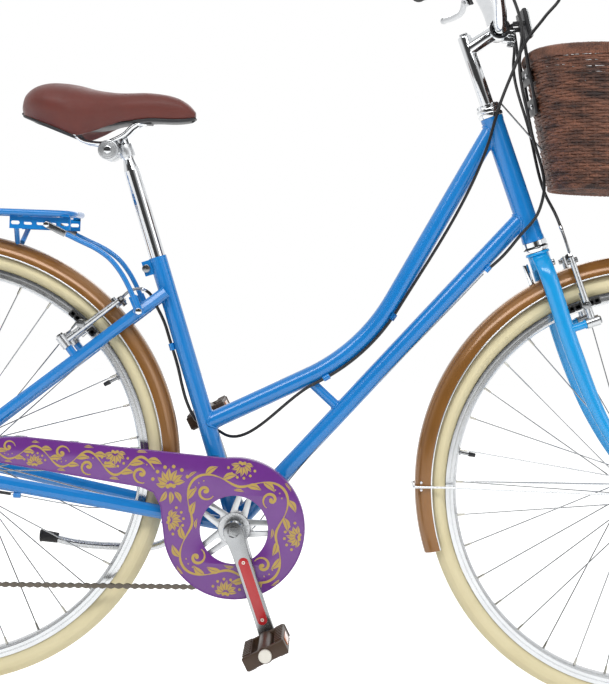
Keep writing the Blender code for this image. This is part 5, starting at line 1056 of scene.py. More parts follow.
@dataclass(frozen=True)
class Studio:
    """The camera at the photo's angle, the pale floor and the soft lights."""

    camera_place: tuple[float, float, float] = (0.0385, -2.4, 0.7026)
    camera_roll: float = math.radians(-2.14)
    lens_mm: float = 79.1
    shift: tuple[float, float] = (-0.0227, -0.1272)
    floor_half: float = 6.0
    floor_glow: float = 0.62
    sky: float = 0.55
    dark_side: DarkCone = DarkCone((-0.35, -0.93, 0.1), 0.42, 0.84)
    dark_strip: DarkCone = DarkCone((0.78, -0.62, 0.1), 0.955, 0.985)
    lamps: tuple[Lamp, ...] = (
        Lamp("key", (-0.5, -2.1, 2.6), (3.4, 0.80), 56.0),
        Lamp("fill", (2.6, -1.9, 1.3), (1.2, 1.6), 13.0),
        Lamp("rim", (0.4, 2.8, 2.4), (2.0, 2.0), 20.0),
    )

    def build(self) -> None:
        """Makes the camera, floor, backdrop light and lamps."""
        camera = bpy.data.objects.new("camera", bpy.data.cameras.new("camera"))
        camera.data.lens = self.lens_mm
        camera.data.shift_x, camera.data.shift_y = self.shift
        camera.data.clip_end = 50.0
        camera.location = self.camera_place
        roll = Matrix.Rotation(self.camera_roll, 4, "Y") @ Matrix.Rotation(math.radians(90), 4, "X")
        camera.rotation_euler = roll.to_euler()
        bpy.context.scene.collection.objects.link(camera)
        bpy.context.scene.camera = camera
        bpy.context.scene.view_settings.view_transform = "Standard"
        self.floor()
        self.light()

    def floor(self) -> None:
        """A pale matt floor under the wheels, lifted to white for the camera so that no horizon shows."""
        shape = bmesh.new()
        bmesh.ops.create_grid(shape, x_segments=1, y_segments=1, size=self.floor_half)
        mesh = bpy.data.meshes.new("floor")
        shape.to_mesh(mesh)
        shape.free()
        paper = Finish("pale_paper_floor", "f4f4f3", "efefee", 0.9, mottle_mm=400, grain_mm=2.0, relief=0.01)
        material = paper.material()
        tree = material.node_tree
        path = add_node(tree, "LightPath", {}, {}).outputs
        rays = {0: path["Is Camera Ray"], 1: path["Is Transmission Ray"]}
        through = add_node(tree, "Math", {"operation": "MAXIMUM"}, rays).outputs[0]
        seen = add_node(tree, "Math", {"operation": "MAXIMUM"}, {0: through, 1: path["Is Glossy Ray"]})
        glow = add_node(tree, "Math", {"operation": "MULTIPLY"}, {0: seen.outputs[0], 1: self.floor_glow})
        surface = next(node for node in tree.nodes if node.type == "BSDF_PRINCIPLED")
        surface.inputs["Emission Color"].default_value = (1.0, 1.0, 1.0, 1.0)
        tree.links.new(glow.outputs[0], surface.inputs["Emission Strength"])
        mesh.materials.append(material)
        floor = bpy.data.objects.new("floor", mesh)
        bpy.context.scene.collection.objects.link(floor)

    def light(self) -> None:
        """A world white to the camera, with dark sides in reflections, and soft area lamps."""
        world = bpy.data.worlds.new("studio")
        world.use_nodes = True
        tree = world.node_tree
        background = tree.nodes["Background"]
        path = add_node(tree, "LightPath", {}, {}).outputs
        rays = {0: path["Is Camera Ray"], 1: path["Is Transmission Ray"]}
        through = add_node(tree, "Math", {"operation": "MAXIMUM"}, rays).outputs[0]
        way = add_node(tree, "TexCoord", {}, {}).outputs["Generated"]
        shares = {0: self.dark_side.share(tree, way), 1: self.dark_strip.share(tree, way)}
        mirrored = add_node(tree, "Math", {"operation": "MULTIPLY"}, shares)
        above = add_node(tree, "Math", {"operation": "SUBTRACT"}, {0: mirrored.outputs[0], 1: self.sky})
        levels = {0: path["Is Glossy Ray"], 1: above.outputs[0], 2: self.sky}
        glossy = add_node(tree, "Math", {"operation": "MULTIPLY_ADD"}, levels).outputs[0]
        strength = add_node(tree, "Math", {"operation": "MAXIMUM"}, {0: through, 1: glossy})
        background.inputs["Color"].default_value = (1.0, 1.0, 1.0, 1.0)
        tree.links.new(strength.outputs[0], background.inputs["Strength"])
        bpy.context.scene.world = world
        for lamp in self.lamps:
            lamp.build()


def swept(
    shape: Shape, profile: Sequence[tuple[float, float]], centre: Vector, start: float, end: float, steps: int
) -> Shape:
    """Adds a closed section swept round a wheel's centre between two angles.

    Args:
        shape: The shape it joins.
        profile: The section's (radius, side) points.
        centre: The circle's centre.
        start: The first angle.
        end: The last angle.
        steps: How many steps the sweep takes.

    Returns:
        The shape.
    """
    part = bmesh.new()
    corners = [part.verts.new(on_circle(centre, radius, start, side)) for radius, side in profile]
    edges = [part.edges.new(pair) for pair in zip(corners, corners[1:] + corners[:1])]
    bmesh.ops.spin(part, geom=corners + edges, cent=centre, axis=-ACROSS, angle=end - start, steps=steps)
    rims = [edge for edge in part.edges if edge.is_boundary]
    bmesh.ops.holes_fill(part, edges=rims, sides=0)
    return shape.add(part)


@dataclass(frozen=True)
class Wheel:
    """One spoked wheel: tyre, rim, hub, crossed spokes, nipples and valve."""

    name: str
    centre: Vector
    tread: Finish
    valve_angle: float
    flanges: tuple[float, float]
    ends: tuple[float, float]
    flange_radius: float
    barrel_radius: float
    axle_radius: float
    edge_radius: float = BIKE.rim_edge
    rim_depth: float = 0.0173
    rim_width: float = BIKE.rim_width
    tyre_height: float = 0.030
    tyre_width: float = 0.038
    spokes: int = 36
    spoke_radius: float = 0.001
    flange_width: float = 0.0032
    crossings: int = 3

    @property
    def body(self) -> str:
        """The CAD body that turns with the wheel."""
        return self.name + "_wheel"

    def build(self) -> None:
        """Makes the wheel's pieces."""
        self.tyre()
        self.rim()
        self.hub()

    def tyre(self) -> None:
        """The tyre, with its bead on the rim and a moulded line on each side wall."""
        bead = self.edge_radius + GAP
        middle = bead + 0.42 * self.tyre_height
        crown = self.edge_radius + self.tyre_height - middle
        half = self.tyre_width / 2
        section = [(bead, -0.42 * self.rim_width)]
        for step in range(41):
            degrees = -100 + 5 * step
            angle = math.radians(degrees)
            lift = 0.0005 if abs(abs(degrees) - 72) < 3 else 0.0
            height = (crown - 0.0002 + lift) * math.cos(angle)
            section.append((middle + height, (half - 0.0003 + lift) * math.sin(angle)))
        section[21] = (self.edge_radius + self.tyre_height, 0.0)
        section.append((bead, 0.42 * self.rim_width))
        shape = Shape(self.tread).turned(section, self.centre, ACROSS, 160)
        shape.finished(
            self.name + "_tyre_dressed", self.body, "cream_rubber", [self.name + "_tyre"], crease=60
        )

    def rim(self) -> None:
        """The polished rim with its brake track, wear groove, nipple holes' collars and valve."""
        inner = self.edge_radius - self.rim_depth
        half = self.rim_width / 2
        shoulder = self.edge_radius - 0.7 * self.rim_depth
        brushed = Turned(
            self.name + "_rim_polished",
            "d2d4d6",
            "b4b7ba",
            0.2,
            metallic=1.0,
            mottle_mm=40,
            grain_mm=0.4,
            relief=0.05,
            centre=(self.centre.x + BIKE.row_place.x, self.centre.z + BIKE.row_place.z),
        )
        section = [(self.edge_radius, half), (self.edge_radius - 0.0012, half + 0.0002)]
        section += [
            (shoulder + 0.0062, half), (shoulder + 0.0058, half - 0.0004), (shoulder + 0.0050, half - 0.0004)
        ]
        section += [
            (shoulder + 0.0046, half), (shoulder, half), (inner + 0.0016, 0.72 * half), (inner, 0.5 * half)
        ]
        section += [(radius, -side) for radius, side in reversed(section)]
        shape = Shape(brushed).turned(section, self.centre, ACROSS, 160)
        root = on_circle(self.centre, inner + self.rim_depth / 2, self.valve_angle)
        tip = on_circle(self.centre, inner - 0.026, self.valve_angle)
        out = (root - tip).normalized()
        shape.using(STAINLESS).rod(root, tip + out * 0.008, 0.0027, 16)
        shape.rod(tip + out * 0.0260, tip + out * 0.0235, 0.0050, 6, bevel=0.0003)
        shape.using(PLASTIC).rod(tip + out * 0.011, tip, 0.0038, 14, 0.0032, bevel=0.0006)
        shape.using(EYELET_STEEL)
        for end, along in self.spoke_ends():
            shape.rod(end + along * 0.0015, end - along * 0.0005, 0.0030, 10, 0.0026)
        shape.finished(self.name + "_rim_dressed", self.body, "alloy", [self.name + "_rim"])

    def spoke_lines(self) -> list[tuple[Vector, Vector]]:
        """The spokes' ends, from the flanges to the rim."""
        reach = self.edge_radius - self.rim_depth + 0.0005
        side_count = self.spokes // 2
        pitch = math.tau / side_count
        lines = []
        for side, flange in ((1, self.flanges[0]), (-1, self.flanges[1])):
            for index in range(side_count):
                lead = 1 if index % 2 else -1
                angle = pitch * index + (pitch / 2 if side < 0 else 0)
                head = on_circle(
                    self.centre, self.flange_radius - 0.003, angle, flange + side * lead * 0.0012
                )
                rim_side = side * (0.004 + lead * 0.002)
                lines.append(
                    (head, on_circle(self.centre, reach, angle + lead * self.crossings * pitch, rim_side))
                )
        return lines

    def spoke_ends(self) -> list[tuple[Vector, Vector]]:
        """Where each spoke meets the rim, with its direction."""
        return [(end, (end - head).normalized()) for head, end in self.spoke_lines()]

    def hub(self) -> None:
        """The hub shell with its flanges and stepped dust caps, and the spokes with their heads and nipples.
        """
        left, right = self.flanges
        left_end, right_end = self.ends
        half = self.flange_width / 2
        rounded_edge = self.flange_radius - 0.0006
        neck = 0.72 * self.flange_radius
        bore = self.axle_radius + 0.0005
        section = [
            (bore, left_end),
            (neck - 0.003, left_end),
            (neck - 0.002, left_end - 0.004),
            (neck, left_end - 0.005),
            (neck, left + half),
            (rounded_edge, left + half),
            (self.flange_radius, left),
            (rounded_edge, left - half),
            (self.barrel_radius + 0.001, left - 0.004),
            (self.barrel_radius, left - 0.009),
            (self.barrel_radius, right + 0.009),
            (self.barrel_radius + 0.001, right + 0.004),
            (rounded_edge, right + half),
            (self.flange_radius, right),
            (rounded_edge, right - half),
            (neck, right - half),
            (neck, right_end),
            (bore, right_end),
        ]
        shape = Shape(ALLOY).turned(section, self.centre, ACROSS, 48)
        shape.using(STAINLESS)
        for head, end in self.spoke_lines():
            along = (end - head).normalized()
            shape.rod(head, end - along * 0.011, self.spoke_radius, 8)
            shape.rod(head - ACROSS * half, head + ACROSS * half, 0.0019, 10)
        shape.using(NIPPLE)
        for end, along in self.spoke_ends():
            shape.rod(end, end - along * 0.012, 0.0021, 8, 0.0017)
        name = self.name + "_hub_and_spokes"
        shape.finished(name + "_dressed", self.body, "alloy", [name])


def weld_line(
    middle: Vector,
    along: Vector,
    radius: float,
    wall_place: Vector,
    wall_along: Vector,
    wall_radius: float,
    turn: float = 1.0,
) -> list[Vector]:
    """The closed line where a round tube meets the wall of another round tube.

    Args:
        middle: A point of the tube's axis near the joint, outside the wall.
        along: The tube's direction, towards the wall.
        radius: The tube's radius.
        wall_place: A point of the wall tube's axis.
        wall_along: That axis's direction.
        wall_radius: The wall tube's radius.
        turn: The share of the circle it covers.

    Returns:
        The line's points.
    """
    across = along.cross(wall_along).normalized()
    other = along.cross(across).normalized()
    line = []
    for step in range(36):
        angle = math.tau * turn * step / 36
        start = middle + (across * math.cos(angle) + other * math.sin(angle)) * radius
        apart = start - wall_place
        flat = apart - wall_along * apart.dot(wall_along)
        move = along - wall_along * along.dot(wall_along)
        a, b, c = move.dot(move), 2 * flat.dot(move), flat.dot(flat) - wall_radius**2
        under = max(b * b - 4 * a * c, 0.0)
        line.append(start + along * ((-b - math.sqrt(under)) / (2 * a)))
    return line


@dataclass(frozen=True)
class Frame:
    """The frame: smooth tubes, weld beads, cable stops and bolts."""

    top_joint: float = 0.166
    bend: float = math.radians(62)
    slope: float = math.radians(26.8)
    bend_radius: float = 0.300
    below_head_top: float = 0.014
    above_head_end: float = 0.044
    brace_along: float = 0.246
    brace_radius: float = 0.008
    brace_length: float = 0.072
    shell_radius: float = 0.021
    shell_width: float = 0.068
    weld_radius: float = 0.0022
    brace_weld: float = 0.0016
    steerer_bore: float = 0.0132

    @property
    def down_joint(self) -> Vector:
        """Where the down tube's axis meets the steering axis."""
        return BIKE.steer(BIKE.head_low + self.above_head_end)

    def top_path(self, steps: int = 40) -> list[Vector]:
        """The curved top tube's axis.

        Args:
            steps: How many steps it has.

        Returns:
            The axis's points.
        """
        low = BIKE.seat(self.top_joint)
        high = BIKE.steer(BIKE.head_top - self.below_head_top)
        corner = crossing(low, self.slope, high, self.bend)
        return rounded([low, corner, high], self.bend_radius, steps)

    def build(self, frame: dict[str, Any]) -> None:
        """Makes the tubes and dresses what stays of the CAD frame."""
        self.tubes()
        self.head()
        self.fittings()
        kept = ("seat_tube", "right_chain_stay", "left_chain_stay", "right_seat_stay", "left_seat_stay")
        refinish(frame, kept, ENAMEL_BLUE)

    def tubes(self) -> None:
        """The top tube and the down tube with its brace, and their weld beads."""
        top = self.top_path()
        bead = self.weld_radius
        shape = Shape(ENAMEL_BLUE).tube(top, BIKE.tube_radius, 8)
        for end, before, wall in ((top[-1], top[-2], self.head_wall), (top[0], top[1], self.seat_wall)):
            along = end - before
            shape.tube(self.weld(end - along.normalized() * 0.06, along, wall), bead, 2, closed=True)
        shape.finished("top_tube_dressed", "frame", "blue_enamel", ["top_tube"], crease=60)
        joint = self.down_joint
        along = (joint - BIKE.crank).normalized()
        foot = BIKE.crank + along * self.brace_along
        upright = Vector((-along.z, 0, along.x))
        shape = Shape(ENAMEL_BLUE).tube(
            [BIKE.crank + along * 0.012, joint - along * 0.008], BIKE.tube_radius, 8
        )
        shape.rod(foot, foot + upright * (self.brace_length - 0.006), self.brace_radius, 24)
        shape.tube(self.weld(joint - along * 0.06, along, self.head_wall), bead, 2, closed=True)
        shape.tube(self.weld(BIKE.crank + along * 0.07, -along, self.shell_wall), bead, 2, closed=True)
        brace_wall = (foot, along, BIKE.tube_radius)
        brace_foot = self.weld(foot + upright * 0.04, -upright, brace_wall, self.brace_radius)
        shape.tube(brace_foot, self.brace_weld, 2, closed=True)
        shape.finished("down_tube_dressed", "frame", "blue_enamel", ["down_tube"], crease=60)

    @property
    def head_wall(self) -> tuple[Vector, Vector, float]:
        """The head tube as a wall to weld to."""
        return BIKE.steer(BIKE.head_low), BIKE.steer_up, BIKE.head_radius

    @property
    def seat_wall(self) -> tuple[Vector, Vector, float]:
        """The seat tube as a wall to weld to."""
        return BIKE.crank, BIKE.seat_up, BIKE.tube_radius

    @property
    def shell_wall(self) -> tuple[Vector, Vector, float]:
        """The bottom bracket shell as a wall to weld to."""
        return BIKE.crank, ACROSS, self.shell_radius

    def weld(
        self,
        start: Vector,
        along: Vector,
        wall: tuple[Vector, Vector, float],
        radius: float = BIKE.tube_radius,
    ) -> list[Vector]:
        """The line of a weld bead between a tube and a wall.

        Args:
            start: A point on the tube's axis.
            along: The axis's direction.
            wall: The wall tube's place, axis and radius.
            radius: The tube's radius.

        Returns:
            The line's points.
        """
        place, axis, wall_radius = wall
        reach = min(radius, wall_radius - 0.0002)
        return weld_line(start, along.normalized(), reach, place, axis, wall_radius)

    def head(self) -> None:
        """The head tube with its flared ends, and both headset cups."""
        radius, length = BIKE.head_radius, BIKE.head_length
        flare = radius + 0.0008
        profile = [(0.0135, 0), (flare, 0), (flare, 0.006), (radius, 0.009), (radius, length - 0.009)]
        profile += [(flare, length - 0.006), (flare, length), (0.0135, length)]
        shape = Shape(ENAMEL_BLUE).turned(profile, BIKE.steer(BIKE.head_low), BIKE.steer_up, 48)
        shape.finished("head_tube_dressed", "frame", "blue_enamel", ["head_tube"])
        cup = radius + 0.0025
        bore = self.steerer_bore
        low = BIKE.steer(BIKE.crown_low + BIKE.crown_height)
        profile = [(bore, 0.0167), (cup, 0.0167), (cup, 0.0095), (cup - 0.0010, 0.0085)]
        profile += [(cup - 0.0014, 0.0070), (cup + 0.0003, 0.0058), (cup + 0.0003, 0.0040)]
        profile += [(cup - 0.0012, 0.0004), (bore, 0.0004)]
        low_cup = Shape(CHROME).turned(profile, low, BIKE.steer_up, 48)
        seal = [(cup - 0.001, 0.0068), (cup + 0.0002, 0.0068), (cup + 0.0002, 0.0062), (cup - 0.001, 0.0062)]
        low_cup.using(RUBBER).turned(seal, low, BIKE.steer_up, 48)
        low_cup.finished("headset_lower_cup_dressed", "frame", "steel", ["headset_lower_cup"])
        top = BIKE.upper_cup - 0.0002
        profile = [(bore, top), (cup - 0.0032, top), (cup - 0.0026, 0.0212), (cup - 0.0026, 0.0152)]
        profile += [(cup - 0.0004, 0.0146), (cup, 0.0136), (cup, 0.0100), (cup - 0.0008, 0.0092)]
        profile += [(cup - 0.0014, 0.0080), (cup - 0.0002, 0.0066), (cup, 0.0030), (cup - 0.0006, 0.0004)]
        profile.append((bore, 0.0004))
        top_cup = Shape(CHROME).turned(profile, BIKE.steer(BIKE.head_top), BIKE.steer_up, 48)
        for index in range(6):
            angle = math.tau * index / 6
            around = BIKE.steer_fore * math.cos(angle) + ACROSS * math.sin(angle)
            place = BIKE.steer(BIKE.head_top + 0.0180) + around * (cup - 0.0034)
            top_cup.block((0.003, 0.009, 0.0045), place, around.to_track_quat("X", "Z"), bevel=0.0005)
        top_cup.finished("headset_upper_cup_dressed", "frame", "steel", ["headset_upper_cup"])

    def fittings(self) -> None:
        """The seat clamp's bolt and nut, the cable clips, stops and the shell's cups."""
        shape = Shape(STAINLESS)
        middle = BIKE.seat(BIKE.seat_tube - 0.013, -BIKE.tube_radius - 0.007)
        for side in Side:
            out = ACROSS * side.value
            start = middle + out * 0.0078
            shape.rod(start, start + out * 0.0055, 0.0064, 6 if side is Side.LEFT else 28, bevel=0.0008)
            ring = [(0.0165, 0), (0.0195, 0), (0.0195, 0.0030), (0.0165, 0.0030)]
            shape.turned(ring, BIKE.crank + out * (self.shell_width / 2 - 0.0005), out, 32)
        joint = self.down_joint
        along = (joint - BIKE.crank).normalized()
        under = Vector((along.z, 0, -along.x))
        shape.using(ENAMEL_BLUE)
        turn = along.to_track_quat("X", "Y")
        stop = [(0.0031, 0), (0.0042, 0), (0.0042, 0.010), (0.0031, 0.010)]
        for far, facing in ((0.575, -along), (0.095, along)):
            place = BIKE.crank + along * far + under * 0.0150 - ACROSS * 0.0095
            shape.turned(stop, place, facing, 20)
            shape.block((0.010, 0.003, 0.006), place + ACROSS * 0.001 - under * 0.0035, turn, 0.0005)
        shape.finished("frame_fittings", "frame", "steel")


@dataclass(frozen=True)
class Fork:
    """The fork: crown, raked blades that taper, dropouts and brake bosses."""

    blade_spread: float = 0.036
    blade_radius: float = 0.0135
    tip_radius: float = 0.0075
    flatness: float = 0.66
    hub_width: float = BIKE.front_hub
    plate: float = DROPOUT
    boss_spread: float = 0.0405
    pivot_up: float = 0.283
    arm_offset: float = 0.042

    def build(self) -> None:
        """Makes the fork."""
        low, height = BIKE.crown_low, BIKE.crown_height
        shape = Shape(ENAMEL_LIGHT)
        top = low + height
        shape.rod(BIKE.steer(low + 0.004), BIKE.steer(top - 0.002), 0.0172, 48, bevel=0.001)
        shape.rod(BIKE.steer(top - 0.005), BIKE.steer(top - 0.0004), 0.0200, 48, 0.0188, bevel=0.001)
        bolt = BIKE.steer(low + 0.008, 0.0165)
        shape.using(CHROME).rod(bolt, bolt + BIKE.steer_fore * 0.0050, 0.0055, 6, bevel=0.0006)
        for side in Side:
            self.blade(shape, side)
        shape.finished("fork_dressed", "steering", "light_blue_enamel", ["fork"], crease=50)

    def blade(self, shape: Shape, side: Side) -> None:
        """One blade with its dropout and brake boss.

        Args:
            shape: The shape that it is added to.
            side: Its side of the bicycle.
        """
        rows = ((0.92, 0.0), (0.66, -0.05), (0.34, 0.13), (0.17, 0.46), (0.055, 0.82))
        low = BIKE.crown_low
        path = smooth([BIKE.steer(low * up, BIKE.fork_rake * fore) for up, fore in rows], 0.010)
        path = [BIKE.steer(low + up) for up in (0.0275, 0.022, 0.014, 0.002, -0.012)] + path
        heights = [(place - BIKE.front_axle).dot(BIKE.steer_up) for place in path]
        radii = [between(up, ((0, self.tip_radius / self.blade_radius), (0.6 * low, 1.0))) for up in heights]
        axle_side = self.hub_width / 2 + self.plate / 2
        sides = [(0.02, axle_side), (low - 0.012, self.blade_spread)]
        sides += [(low + 0.002, 0.033), (low + 0.014, 0.0245), (low + 0.0275, 0.0085)]

        def moved(place: Vector) -> Vector:
            """Flattens the blade and leans it out to its own side."""
            lean_out = between((place - BIKE.front_axle).dot(BIKE.steer_up), sides)
            return Vector((place.x, place.y * self.flatness + side.value * lean_out, place.z))

        shape.using(ENAMEL_LIGHT).tube(path, self.blade_radius, 8, radii, moved=moved)
        rake = BIKE.fork_rake
        outline = [
            (-0.013, rake - 0.009),
            (-0.013, rake + 0.009),
            (0.010, rake + 0.013),
            (0.042, rake * 0.76 + 0.006),
            (0.042, rake * 0.76 - 0.009),
            (0.016, rake - 0.022),
            (0.001, rake - 0.023),
        ]
        corners = [BIKE.steer(up, fore) for up, fore in outline]
        flat = rounded([Vector((place.x, place.z, 0)) for place in corners], 0.004, 5, closed=True)
        shape.plate(
            [[(place.x, place.y) for place in flat]], self.plate, side.value * axle_side, bevel=0.0005
        )
        pivot = BIKE.steer(self.pivot_up)
        boss(shape, pivot, BIKE.steer_fore, self.arm_offset, side, self.boss_spread)


def boss(shape: Shape, place: Vector, back: Vector, offset: float, side: Side, spread: float) -> None:
    """Adds a brake boss with its collar, from a stay or blade towards the arm.

    Args:
        shape: The shape that it is added to.
        place: The stay's or blade's axis at the boss, at the middle plane.
        back: The boss's direction.
        offset: How far back the arm lies.
        side: Its side of the bicycle.
        spread: The boss's distance from the middle plane.
    """
    root = place + ACROSS * side.value * spread
    shoulder = root + back * (offset - 0.0108)
    shape.rod(root, shoulder, 0.0062, 24)
    shape.rod(shoulder - back * 0.003, shoulder, 0.0074, 24, bevel=0.0004)
    shape.using(STAINLESS).rod(root, root + back * (offset + 0.0125), 0.004, 20)


@dataclass(frozen=True)
class Mudguard:
    """A rolled mudguard: the oval section, its edge beads, rivets and wire stay."""

    name: str
    body: str
    centre: Vector
    start: float
    end: float
    stay_angle: float
    stay_foot: Vector
    eye_side: float
    outer: float = 0.368
    thickness: float = 0.0015
    width: float = 0.052
    depth: float = 0.026
    wire: float = 0.002
    step: float = math.radians(1.6)

    def build(self) -> None:
        """Makes the guard and its stay."""
        outside, inside = [], []
        narrowing = 1 - self.thickness / self.width * 2
        for index in range(25):
            radius, side = self.across(math.pi * (index / 24 - 0.5))
            wall = self.thickness * math.cos(math.pi * (index / 24 - 0.5)) * 0.98 + 0.00002
            outside.append((radius, side))
            inside.append((radius - wall, side * narrowing))
        steps = round((self.end - self.start) / self.step)
        shape = Shape(ENAMEL_BRONZE)
        swept(shape, outside + inside[::-1], self.centre, self.start, self.end, steps)
        lip = self.outer - self.depth + 0.0006
        shape.using(CHROME)
        for side in Side:
            shape.tube(self.along(lip, side.value * (self.width / 2 - 0.0008), steps), 0.0013, 2)
        shape.using(ENAMEL_BRONZE)
        for side in Side:
            radius, edge = self.across(math.radians(24) * side.value)
            shape.tube(self.along(radius - 0.0002, edge, steps), 0.0007, 1)
        self.rivets(shape)
        if self.name == "front":
            behind = -BIKE.crown_depth / 2 - GAP - 0.005
            top, low = (BIKE.steer(BIKE.crown_low + up, behind) for up in (0.018, -0.021))
            shape.using(CHROME).rod(top, low, 0.0047, 20, bevel=0.0008)
        shape.finished(
            self.name + "_mudguard_dressed", self.body, "bronze_enamel", [self.name + "_mudguard"], crease=50
        )
        self.stay()

    def across(self, angle: float) -> tuple[float, float]:
        """The radius and side of a point of the outer face, by its angle from the crown."""
        return self.outer - self.depth * (1 - math.cos(angle)), self.width / 2 * math.sin(angle)

    def along(self, radius: float, side: float, steps: int) -> list[Vector]:
        """A line along the guard from its start to its end."""
        turns = [self.start + (self.end - self.start) * index / steps for index in range(steps + 1)]
        return [on_circle(self.centre, radius, turn, side) for turn in turns]

    def rivets(self, shape: Shape) -> None:
        """Domed rivets where the stay's bracket is fixed."""
        shape.using(CHROME)
        for turn in (-0.016, 0.016):
            for side in Side:
                radius, edge = self.across(math.radians(52) * side.value)
                shape.ball(on_circle(self.centre, radius, self.stay_angle + turn, edge), 0.0026, rings=8)

    def stay(self) -> None:
        """The wire stay with its flattened eyes and screws."""
        radius = self.outer - self.depth / 2
        half = self.width / 2 + self.wire + GAP
        outside = self.outer + self.wire + GAP * 3
        corners = [
            self.stay_foot + ACROSS * self.eye_side,
            on_circle(self.centre, radius - 0.03, self.stay_angle, half + 0.004),
            on_circle(self.centre, outside, self.stay_angle, half),
            on_circle(self.centre, outside, self.stay_angle, -half),
            on_circle(self.centre, radius - 0.03, self.stay_angle, -half - 0.004),
            self.stay_foot - ACROSS * self.eye_side,
        ]
        shape = Shape(CHROME).tube(rounded(corners, 0.004, 8), self.wire, 4)
        for side in Side:
            out = ACROSS * side.value
            eye = self.stay_foot + out * self.eye_side
            ring = [(0.0026, -0.0018), (0.0058, -0.0018), (0.0062, 0), (0.0058, 0.0018), (0.0026, 0.0018)]
            shape.turned(ring, eye, ACROSS, 24)
            shape.using(STAINLESS).rod(eye - out * 0.0033, eye + out * 0.0033, 0.0025, 16)
            shape.rod(eye + out * 0.0019, eye + out * 0.0040, 0.0043, 20, bevel=0.0005)
            shape.using(CHROME)
        shape.finished(
            self.name + "_mudguard_stays_dressed", self.body, "chrome", [self.name + "_mudguard_stays"]
        )


def belt(
    wheels_round: Sequence[tuple], offset: float, step_angle: float = math.radians(4)
) -> list[tuple[float, float]]:
    """A closed route round wheels of (centre, radius, turn), shifted outwards by the offset.

    Args:
        wheels_round: The wheels in order, each a centre, a radius and a turn of 1 or -1.
        offset: How far outside the wheels the route runs.
        step_angle: The angle between points on a wheel.

    Returns:
        The route's points.
    """
    count = len(wheels_round)
    sized = [(Vector(centre), radius + turn * offset, turn) for centre, radius, turn in wheels_round]
    leave: list[Vector] = [Vector((0, 0))] * count
    reach: list[Vector] = [Vector((0, 0))] * count
    for index in range(count):
        (first, r1, t1), (second, r2, t2) = sized[index], sized[(index + 1) % count]
        apart = second - first
        sine = (t1 * r1 - t2 * r2) / apart.length
        cosine = math.sqrt(1 - sine * sine)
        onward = apart / apart.length
        normal = Vector((-onward.y, onward.x)) * cosine + onward * sine
        leave[index] = first + normal * t1 * r1
        reach[(index + 1) % count] = second + normal * t2 * r2
    route = []
    for index, (centre, radius, turn) in enumerate(sized):
        start, end = reach[index] - centre, leave[index] - centre
        from_angle = math.atan2(start.y, start.x)
        swept_angle = (turn * (from_angle - math.atan2(end.y, end.x))) % math.tau
        steps = max(2, math.ceil(swept_angle / step_angle))
        for step in range(steps + 1):
            angle = from_angle - turn * swept_angle * step / steps
            route.append((centre.x + radius * math.cos(angle), centre.y + radius * math.sin(angle)))
    return route


def capsule(
    first: Vector, first_radius: float, second: Vector, second_radius: float
) -> list[tuple[float, float]]:
    """The outline round two circles, as (x, z) points."""
    circles = (((first.x, first.z), first_radius, 1), ((second.x, second.z), second_radius, 1))
    return belt(circles, 0, math.radians(9))


def circle(centre: Vector, radius: float, steps: int = 32) -> list[tuple[float, float]]:
    """A circle's outline as (x, z) points."""
    angles = [math.tau * i / steps for i in range(steps)]
    return [(centre.x + radius * math.cos(a), centre.z + radius * math.sin(a)) for a in angles]


def pitch_radius(teeth: int, pitch: float = 0.0127) -> float:
    """The radius of the chain's line round a sprocket."""
    return pitch / (2 * math.sin(math.pi / teeth))


def toothed(centre: Vector, teeth: int, height: float = 0.0036) -> list[tuple[float, float]]:
    """A sprocket's outline: rounded gullets between short teeth.

    Args:
        centre: The sprocket's centre.
        teeth: How many teeth.
        height: How high the teeth stand.

    Returns:
        The outline's points.
    """
    middle = pitch_radius(teeth) - 0.0006
    rise = ((0.0, -1.0), (0.12, -0.9), (0.27, -0.2), (0.40, 0.75))
    fall = ((0.5, 1.0), (0.6, 0.75), (0.73, -0.2), (0.88, -0.9))
    outline = []
    for tooth in range(teeth):
        for share, lift in rise + fall:
            angle = math.tau * (tooth + share) / teeth
            radius = middle + lift * height
            outline.append((centre.x + radius * math.cos(angle), centre.z + radius * math.sin(angle)))
    return outline


